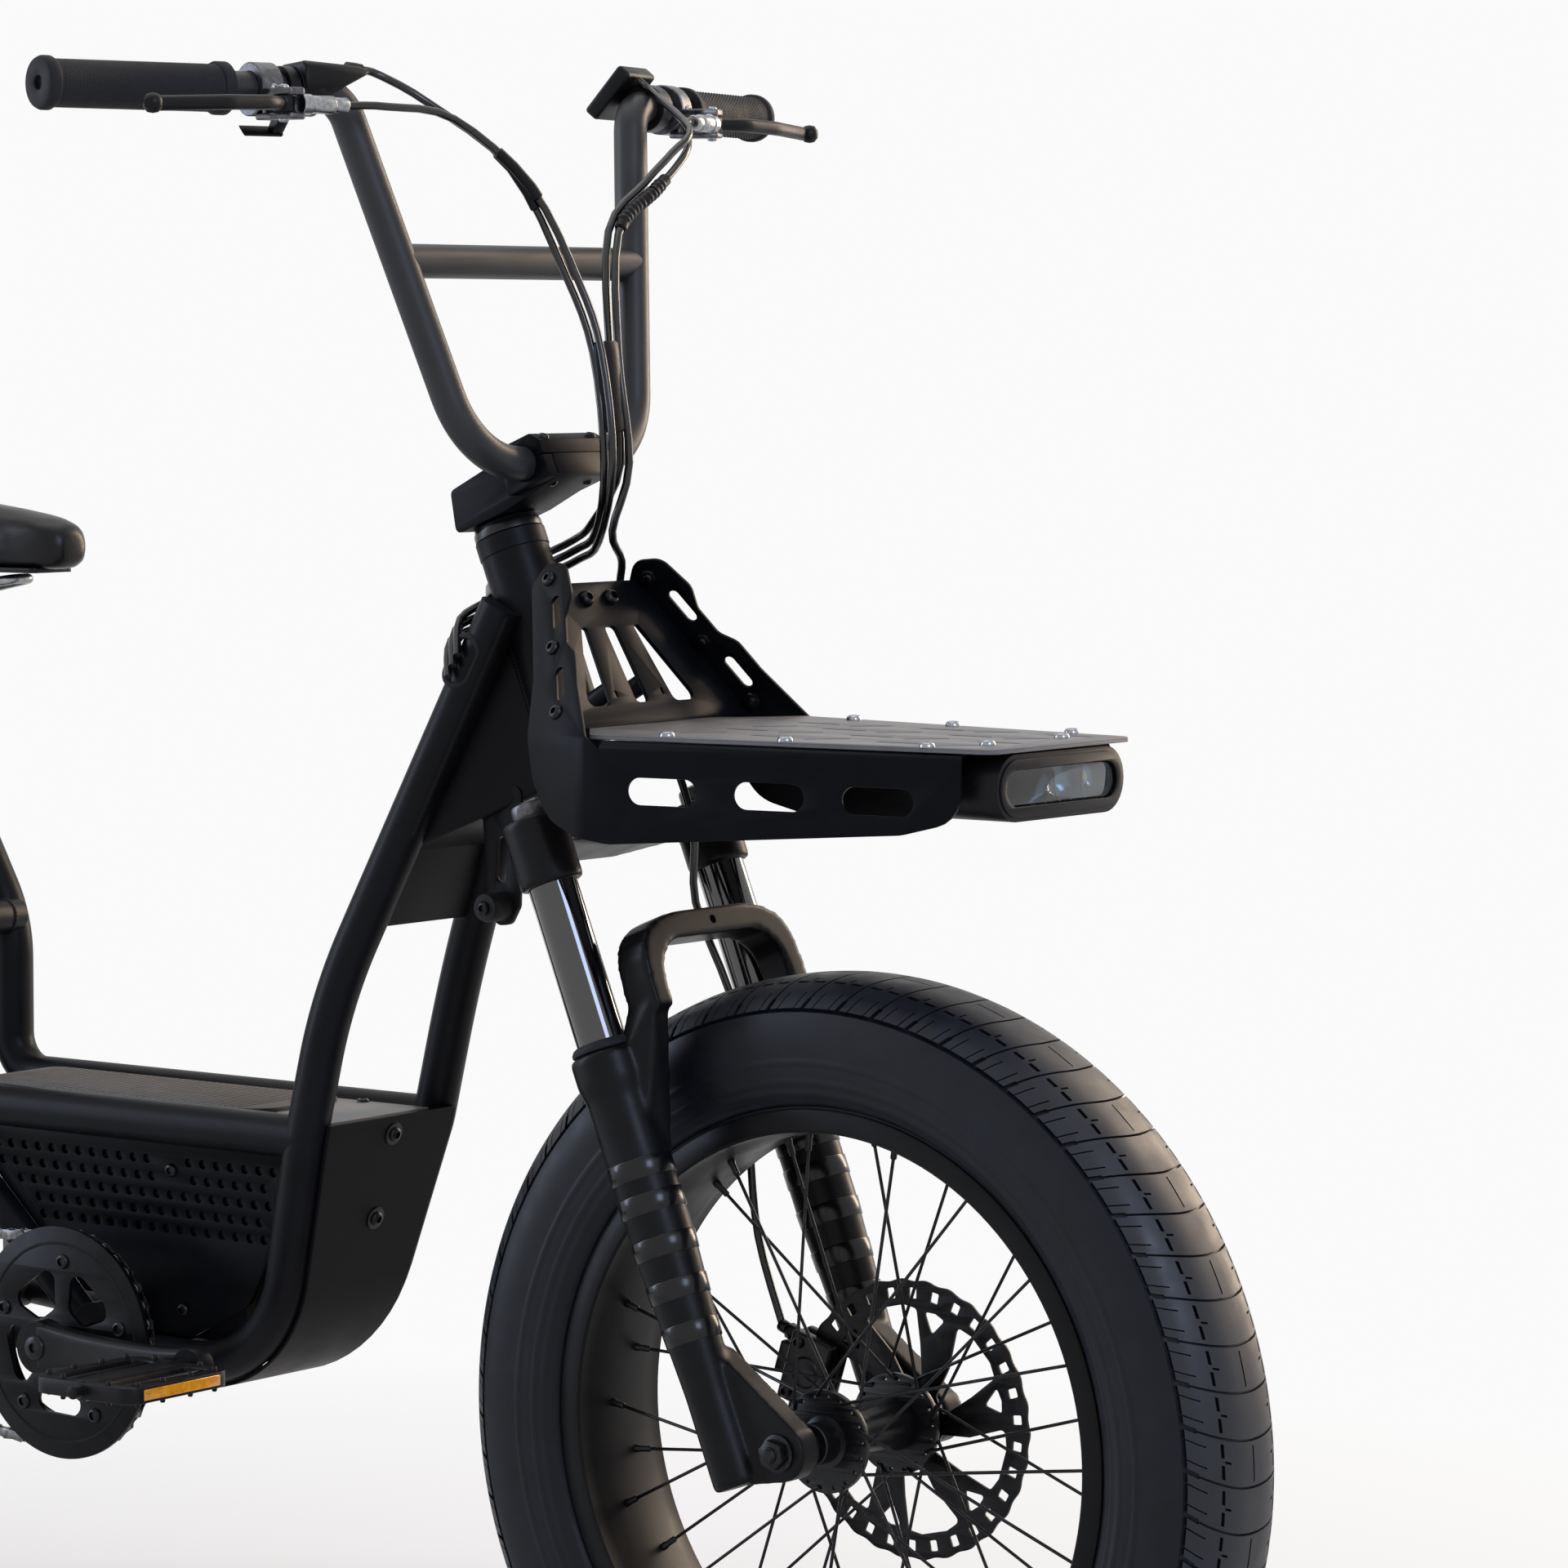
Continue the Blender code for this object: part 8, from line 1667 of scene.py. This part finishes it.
def crankMesh(sign):
    tip = bbAt + Vector((math.cos(crankSize["tilt"]), 0, math.sin(crankSize["tilt"]))) * (crankSize["length"] * sign)
    run = (tip - bbAt).normalized()
    up = Vector((-run.z, 0, run.x)) * (1 if sign > 0 else -1)
    near, far = crankSize["inside"], crankSize["inside"] + crankSize["offset"]
    rows = []
    for t, wide, y0, y1 in ((0.00, 0.0178, near, near + 0.015), (0.10, 0.0150, near + 0.001, near + 0.0160), (0.25, 0.0122, near + 0.005, near + 0.0185),
                            (0.45, 0.0112, near + 0.0115, near + 0.0245), (0.65, 0.0110, near + 0.0185, near + 0.0315),
                            (0.82, 0.0112, near + 0.0240, near + 0.0370), (1.00, 0.0130, far, far + 0.013)):
        rows.append((bbAt.lerp(tip, t), wide, y0, y1))
    verts, faces = [], []
    for p, wide, y0, y1 in rows:
        c = min(0.0030, (y1 - y0) * 0.25)
        ring = [(-wide + c, y0), (wide - c, y0), (wide, y0 + c), (wide, y1 - c), (wide - c, y1), (-wide + c, y1), (-wide, y1 - c), (-wide, y0 + c)]
        verts += [Vector((p.x, -y, p.z)) + up * h for h, y in ring]
    for i in range(len(rows) - 1):
        for k in range(8):
            n = (k + 1) % 8
            faces.append((i * 8 + k, i * 8 + n, (i + 1) * 8 + n, (i + 1) * 8 + k))
    faces += [tuple(range(8)), tuple(range((len(rows) - 1) * 8, len(rows) * 8))]
    mesh = bpy.data.meshes.new("crank")
    mesh.from_pydata(verts, [], faces)
    arm = shaped(merged(mesh), ("BEVEL", {"width": 0.0012, "segments": 2, "limit_method": "ANGLE", "angle_limit": math.radians(24)}),
                 ("SUBSURF", {"levels": 1, "render_levels": 1}))
    big = turned([(0, near), (0.0168, near), (0.0180, near + 0.0012), (0.0180, near + 0.0138), (0.0170, near + 0.0148), (0, near + 0.0150)],
                 bbAt, -yAxis, 44)
    small = turned([(0, far), (0.0125, far), (0.0135, far + 0.0010), (0.0135, far + 0.0120), (0.0128, far + 0.0130), (0, far + 0.0130)],
                   tip, -yAxis, 40)
    return joined(arm, big, small), tip, far + 0.013


pinReach = 0.096 + 0.012
armMesh, pedalAt, pedalFace = crankMesh(1)
spindle = rod(bbAt - yAxis * (crankSize["inside"] + 0.006), bbAt + yAxis * (crankSize["inside"] + 0.011), 0.0085, 28)
pedalPin = rod(pedalAt - yAxis * (pedalFace - 0.003), pedalAt - yAxis * (pedalFace + pinReach), 0.0045, 24)
place("crank_arm_right", joined(armMesh, spindle, pedalPin), "forgedAlloy", "crankset", ("crank_right",), "crank_coat", 40)
armLeft, leftAt, leftFace = crankMesh(-1)
pinLeft = rod(leftAt - yAxis * (leftFace - 0.003), leftAt - yAxis * (leftFace + pinReach), 0.0045, 24)
place("crank_arm_left", mirrored(joined(armLeft, pinLeft)), "forgedAlloy", "crankset", ("crank_left",), "crank_coat", 40)
crankBolt = turned([(0, 0.0006), (0.0030, 0.0006), (0.0032, 0.0024), (0.0070, 0.0024), (0.0082, 0.0014), (0.0086, -0.0004), (0, -0.0004)],
                   Vector((0, 0, 0)), zAxis, 28)
boltSpots = [(bbAt - yAxis * (crankSize["inside"] + 0.015), -yAxis), (bbAt + yAxis * (crankSize["inside"] + 0.015), yAxis)]
place("crank_bolts", seatItems(crankBolt, boltSpots, "blackOxide"), "blackOxide", "crankset", (), "axle_steel", 40)

pedalSize = {"wide": 0.096, "long": 0.088}


def pedalMeshes(at, face):
    near = face + 0.004
    hx, hy = pedalSize["long"] / 2, pedalSize["wide"] / 2
    base = Vector((at.x, -(near + hy), at.z))
    outer = filletLoop([(-hx, -hy), (hx, -hy), (hx, hy), (-hx, hy)], 0.012, 5)
    holes = [filletLoop([(s * 0.0135, -hy + 0.0105), (s * (hx - 0.0105), -hy + 0.0105), (s * (hx - 0.0105), hy - 0.0105), (s * 0.0135, hy - 0.0105)],
                        0.004, 4) for s in (1, -1)]
    cage = plateMesh([outer] + holes, base, xAxis, yAxis, -0.0053, 0.0053, 0.0010)
    slats = [blockMesh(base, xAxis, yAxis, (s * 0.0235 - 0.0022, -hy + 0.008, -0.0043), (s * 0.0235 + 0.0022, hy - 0.008, 0.0043), 0.0008) for s in (1, -1)]
    core = pipe(at - yAxis * (near + 0.0004), at - yAxis * (near + pedalSize["wide"] - 0.0004), 0.0071, 0.0048, 36)
    endCap = turned([(0, 0.0014), (0.0046, 0.0014), (0.0060, 0.0006), (0.0066, 0), (0, 0)], at - yAxis * (near + pedalSize["wide"] - 0.0012), -yAxis, 32)
    pinSpots = []
    for z in (1, -1):
        for x in (-hx + 0.0052, hx - 0.0052):
            for y in (-0.036, -0.013, 0.013, 0.036):
                pinSpots.append((base + Vector((x, y, z * 0.0052)), zAxis * z))
        for y in (-hy + 0.0052, hy - 0.0052):
            for x in (-0.020, 0.020):
                pinSpots.append((base + Vector((x, y, z * 0.0052)), zAxis * z))
    studs = seatItems(turned([(0, 0.0030), (0.0013, 0.0030), (0.0017, 0.0022), (0.0019, 0.0), (0, -0.0005)], Vector((0, 0, 0)), zAxis, 10), pinSpots,
                      "mouldedNylon")
    glow = [blockMesh(base, xAxis, yAxis, (s * (hx - 0.0008) - 0.0012, -0.036, -0.0036), (s * (hx - 0.0008) + 0.0012, 0.036, 0.0036), 0.0007) for s in (1, -1)]
    return joined(cage, *slats, core), studs, joined(*glow), endCap


for name, at, face, fix in (("right", pedalAt, pedalFace, lambda m: m), ("left", leftAt, leftFace, mirrored)):
    cage, studs, glow, endCap = pedalMeshes(at, face)
    place("pedal_cage_" + name, fix(cage), "mouldedNylon", name + "_pedal", ("pedal_" + name,), "black_plastic", 35)
    place("pedal_studs_" + name, fix(studs), "mouldedNylon", name + "_pedal", ("pedal_" + name,), "black_plastic", 35)
    place("pedal_reflectors_" + name, fix(glow), "amberAcrylic", name + "_pedal", ("pedal_" + name,), "lens_clear", 30)
    place("pedal_caps_" + name, fix(endCap), "gripRubber", name + "_pedal", (), "grip_rubber", 35)
print("drive made, links:", linkCount)

# Stand.
standSize = {"radius": 0.009, "half": 0.047, "footX": -0.323, "footY": 0.110}
footZ = standSize["radius"] * 0.9
rightFoot = Vector((standSize["footX"], -standSize["footY"], footZ))
standLine = [rightFoot, Vector((standAt.x, -standSize["half"], standAt.z)), Vector((standAt.x, standSize["half"], standAt.z)), flipY(rightFoot)]
standTube = tubeAlong(bendPath(standLine, [0.016, 0.016], 10), standSize["radius"], 28)
place("kickstand_tube", standTube, "powderCoat", "stand", ("kickstand",), "frame_coat", 45)
shoe = blockMesh(rightFoot, xAxis, yAxis, (-0.016, -0.018, -footZ), (0.016, 0.013, standSize["radius"]), 0.0026, 4)
place("kickstand_shoes", bothSides(shoe), "gripRubber", "stand", ("kickstand",), "grip_rubber", 35)

# Seat.
saddle = {"nose": -0.105, "length": 0.275, "half": 0.092, "noseHalf": 0.024, "low": 0.812, "railR": 0.0035, "railHalf": 0.022}
postTop = seat(0.236)
railZ = saddle["low"] - 0.0155
post = turned([(0.0130, 0), (0.0150, 0.0008), (0.0150, 0.2150), (0.0, 0.2150)], seat(0.021), seatUp, 44)
postPlug = turned([(0, 0.004), (0.0131, 0.002), (0.0131, 0.0), (0, 0.0)], seat(0.0212), seatUp, 32)
headHalf = saddle["railHalf"] + 0.009
headBlock = blockMesh(Vector((postTop.x, 0, railZ)), xAxis, yAxis, (-0.019, -headHalf, -0.013), (0.019, headHalf, 0.0085), 0.0030, 4)
railGroove = bothSides(rod(Vector((postTop.x - 0.05, -saddle["railHalf"], railZ)), Vector((postTop.x + 0.05, -saddle["railHalf"], railZ)),
                           saddle["railR"] + 0.0003, 24))
place("seatpost_tube", joined(post, postPlug), "anodisedAlloy", "seat", ("seatpost",), "hub_coat", 40)
place("seatpost_head", carved(headBlock, railGroove), "anodisedAlloy", "seat", ("seatpost",), "hub_coat", 35)
headBolts = [(Vector((postTop.x + s * 0.0192, 0, railZ - 0.003)), xAxis * s) for s in (1, -1)]
place("seatpost_bolts", seatItems(boltHead(0.0046, 0.0034), headBolts, "boltSteel"), "boltSteel", "seat", (), "axle_steel", 40)
railBack, railNose = saddle["nose"] - saddle["length"] + 0.035, saddle["nose"] - 0.055
rightRail = [Vector((railBack, -0.046, railZ + 0.010)), Vector((postTop.x - 0.040, -saddle["railHalf"], railZ)),
             Vector((postTop.x + 0.052, -saddle["railHalf"], railZ)), Vector((railNose, -0.010, railZ + 0.011))]
railLine = rightRail + [flipY(p) for p in reversed(rightRail)]
place("saddle_rail_wire", tubeAlong(bendPath(railLine, [0.05, 0.05, 0.009, 0.009, 0.05, 0.05], 8), saddle["railR"], 18), "boltSteel", "seat",
      ("saddle_rails",), "axle_steel", 50)
clampAt = seat(0.132 - 0.016)
clampRing = turned([(0.0181, 0), (0.0216, 0), (0.0222, 0.0006), (0.0222, 0.0144), (0.0216, 0.0150), (0.0181, 0.0150)], clampAt, seatUp, 48, True)
lugAcross = -seatUp.cross(yAxis)
lugMesh = blockMesh(seat(0.132 - 0.0085), lugAcross, yAxis, (0.0198, -0.009, -0.007), (0.0332, 0.009, 0.007), 0.0022, 3)
lugSlit = blockMesh(seat(0.132 - 0.0085), lugAcross, yAxis, (0.0150, -0.0011, -0.02), (0.0400, 0.0011, 0.02), 0)
place("seat_clamp_collar", joined(clampRing, carved(lugMesh, lugSlit)), "anodisedAlloy", "frame", ("seat_clamp",), "hub_coat", 35)
lugBolt = [(seat(0.132 - 0.0085) + lugAcross * 0.0278 + yAxis * (s * 0.0088), yAxis * s) for s in (1, -1)]
place("seat_clamp_bolts", seatItems(boltHead(0.0040, 0.0030), lugBolt, "boltSteel"), "boltSteel", "frame", (), "axle_steel", 40)

stations = ((0.0, 0.70, 0.033, 0.004), (0.03, 0.98, 0.040, 0.001), (0.10, 1.12, 0.045, 0.0), (0.25, 1.24, 0.048, 0.0),
            (0.42, 1.70, 0.051, 0.0), (0.58, 2.62, 0.053, 0.0), (0.72, 3.42, 0.055, 0.0), (0.86, 3.83, 0.056, 0.0), (0.96, 3.40, 0.052, 0.004),
            (1.0, 2.60, 0.040, 0.014))


def saddleSkin(shrink):
    grow = saddle["half"] / (3.83 * saddle["noseHalf"])
    verts, faces, side = [], [], 13
    for f, w, h, lift in stations:
        wide = saddle["noseHalf"] * w * (1 + (grow - 1) * max(0.0, (w - 1.2) / 2.63)) - shrink
        x = saddle["nose"] - shrink - f * (saddle["length"] - 2 * shrink)
        low, top = saddle["low"] + lift + shrink * 0.5, saddle["low"] + h - shrink
        half = [(a * wide, low + b * (top - low)) for a, b in ((0.62, 0.0), (0.86, 0.10), (0.97, 0.34), (1.0, 0.58), (0.90, 0.82), (0.58, 0.96), (0, 1))]
        verts += [(x, y, z) for y, z in half + [(-y, z) for y, z in reversed(half[:-1])]]
    for i in range(len(stations) - 1):
        for k in range(side):
            n = (k + 1) % side
            faces.append((i * side + k, i * side + n, (i + 1) * side + n, (i + 1) * side + k))
    faces += [tuple(range(side)), tuple(range((len(stations) - 1) * side, len(stations) * side))]
    mesh = bpy.data.meshes.new("saddle")
    mesh.from_pydata(verts, [], faces)
    return merged(mesh)


cushion = shaped(saddleSkin(0.0035), ("SUBSURF", {"levels": 2, "render_levels": 2}), ("REMESH", {"mode": "VOXEL", "voxel_size": 0.0048}),
                 ("SMOOTH", {"factor": 0.5, "iterations": 4}))
sewn = bpy.data.objects.new("cushion", cushion)
scene.collection.objects.link(sewn)
base = sewn.vertex_groups.new(name="stapled")
base.add([v.index for v in cushion.vertices if v.co.z < saddle["low"] + 0.006], 1.0, "REPLACE")
rest = [v.co.copy() for v in cushion.vertices]
cloth = sewn.modifiers.new("skin", "CLOTH")
cloth.settings.effector_weights.gravity = 0.0
cloth.settings.use_pressure = True
cloth.settings.uniform_pressure_force = 4.0
cloth.settings.quality = 6
cloth.settings.mass = 0.25
cloth.settings.tension_stiffness = cloth.settings.compression_stiffness = 18.0
cloth.settings.bending_stiffness = 0.6
cloth.settings.vertex_group_mass = "stapled"
cloth.point_cache.frame_start, cloth.point_cache.frame_end = 1, 20
scene.frame_start, scene.frame_end = 1, 20
for number in range(1, 21):
    scene.frame_set(number)
blown = bpy.data.meshes.new_from_object(sewn.evaluated_get(bpy.context.evaluated_depsgraph_get()))
sewn.modifiers.remove(cloth)
bpy.data.objects.remove(sewn)
scene.frame_set(1)
for vert, home in zip(blown.vertices, rest):
    push = vert.co - home
    if push.length > 0.006:
        push *= 0.006 / push.length
    vert.co = home + push
cushion = blown
cushion = shaped(cushion, ("SUBSURF", {"levels": 1, "render_levels": 1}))
top = saddle["low"] + 0.056
for vert in cushion.vertices:
    vert.co.z = max(saddle["low"] + 0.0004, min(vert.co.z, top + 0.003))
saddlePiece = place("saddle_cushion", cushion, "saddleVinyl", "seat", ("saddle",), "saddle_vinyl", 60)
shellRim = []
for f, w, h, lift in stations[1:]:
    grow = saddle["half"] / (3.83 * saddle["noseHalf"])
    wide = saddle["noseHalf"] * w * (1 + (grow - 1) * max(0.0, (w - 1.2) / 2.63))
    shellRim.append((saddle["nose"] - max(f, 0.09) * saddle["length"] - f * 0.002, wide * 0.74))
shellLoop = filletLoop([(x, y) for x, y in shellRim] + [(x, -y) for x, y in reversed(shellRim)], 0.01, 3)
place("saddle_shell", plateMesh([shellLoop], Vector((0, 0, saddle["low"] + 0.0004)), xAxis, yAxis, 0.0, 0.0034, 0.0009), "mouldedNylon", "seat",
      ("saddle",), "black_plastic", 30)
print("seat and stand made")

# Right-shaped CAD nodes keep their mesh and take a finer finish.
for name, finish in (("battery_pack", "packCase"), ("motor_controller", "castAlloy")):
    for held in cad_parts[name].material_slots:
        held.material = looks[finish]

# Studio.
floorFinish = bpy.data.materials.new("studioFloor")
floorFinish.use_nodes = True
floorTree = floorFinish.node_tree
spot = addNode(floorTree, "ShaderNodeTexCoord").outputs["Object"]
mist = addNode(floorTree, "ShaderNodeTexNoise", {"Vector": spot, "Scale": 0.8, "Detail": 3.0}).outputs["Fac"]
shade = addNode(floorTree, "ShaderNodeValToRGB", {"Fac": mist})
shade.color_ramp.elements[0].color, shade.color_ramp.elements[1].color = linear("#f6f6f6"), linear("#fafafa")
plain = floorTree.nodes["Principled BSDF"]
floorTree.links.new(shade.outputs["Color"], plain.inputs["Base Color"])
plain.inputs["Roughness"].default_value = 0.9
plain.inputs["Specular IOR Level"].default_value = 0.1
rays = addNode(floorTree, "ShaderNodeLightPath").outputs
looked = addNode(floorTree, "ShaderNodeMath", {0: rays["Is Camera Ray"], 1: rays["Is Glossy Ray"]}, operation="ADD")
looked = addNode(floorTree, "ShaderNodeMath", {0: looked.outputs[0], 1: rays["Is Transmission Ray"]}, operation="MAXIMUM")
apart = addNode(floorTree, "ShaderNodeVectorMath", {0: spot}, operation="LENGTH")
fade = addNode(floorTree, "ShaderNodeMapRange", {"Value": apart.outputs["Value"], "From Min": 0.6, "From Max": 1.6, "To Min": 0.45})
share = addNode(floorTree, "ShaderNodeMath", {0: fade.outputs["Result"], 1: looked.outputs[0]}, operation="MULTIPLY")
blank = addNode(floorTree, "ShaderNodeEmission", {"Color": linear("#fafafa"), "Strength": 1.0})
both = addNode(floorTree, "ShaderNodeMixShader", {0: share.outputs[0], 1: plain.outputs[0], 2: blank.outputs[0]})
floorTree.links.new(both.outputs[0], floorTree.nodes["Material Output"].inputs["Surface"])
floorMesh = bpy.data.meshes.new("studioFloor")
floorMesh.from_pydata([(-30, -30, 0), (30, -30, 0), (30, 30, 0), (-30, 30, 0)], [], [(0, 1, 2, 3)])
floorMesh.materials.append(floorFinish)
floorPiece = bpy.data.objects.new("studio_floor", floorMesh)
scene.collection.objects.link(floorPiece)


def addLamp(name, at, aim, size, power, tint):
    data = bpy.data.lights.new(name, "AREA")
    data.shape, data.size, data.size_y = "RECTANGLE", *size
    data.energy, data.color = power, linear(tint)[:3]
    lampPiece = bpy.data.objects.new(name, data)
    lampPiece.location = at
    lampPiece.rotation_euler = (Vector(aim) - Vector(at)).to_track_quat("-Z", "Y").to_euler()
    scene.collection.objects.link(lampPiece)
    return lampPiece


lamps = [addLamp("skyPanel", (-0.4, 0.4, 4.2), (0.1, 0, 0.5), (3.2, 3.2), 36, "#ffffff"),
         addLamp("warmSide", (1.1, 3.7, 1.8), (0.3, 0, 0.6), (0.9, 2.6), 115, "#ffe4c8"),
         addLamp("coolSide", (-3.0, -2.0, 1.6), (0.2, 0, 0.6), (0.8, 2.6), 70, "#d4e2ff"),
         addLamp("frontFill", (3.8, -1.4, 2.6), (0.5, 0, 0.4), (1.2, 1.6), 70, "#c8d8ff")]
world = bpy.data.worlds.new("studio")
scene.world = world
world.use_nodes = True
sky = world.node_tree
ways = addNode(sky, "ShaderNodeLightPath").outputs
seen = addNode(sky, "ShaderNodeMath", {0: ways["Is Camera Ray"], 1: ways["Is Glossy Ray"]}, operation="ADD")
seen = addNode(sky, "ShaderNodeMath", {0: seen.outputs[0], 1: ways["Is Transmission Ray"]}, operation="MAXIMUM")
white = addNode(sky, "ShaderNodeBackground", {"Color": linear("#fafafa"), "Strength": 1.0})
soft = addNode(sky, "ShaderNodeBackground", {"Color": linear("#e8ecf2"), "Strength": 0.20})
choice = addNode(sky, "ShaderNodeMixShader", {0: seen.outputs[0], 1: soft.outputs[0], 2: white.outputs[0]})
sky.links.new(choice.outputs[0], sky.nodes["World Output"].inputs["Surface"])
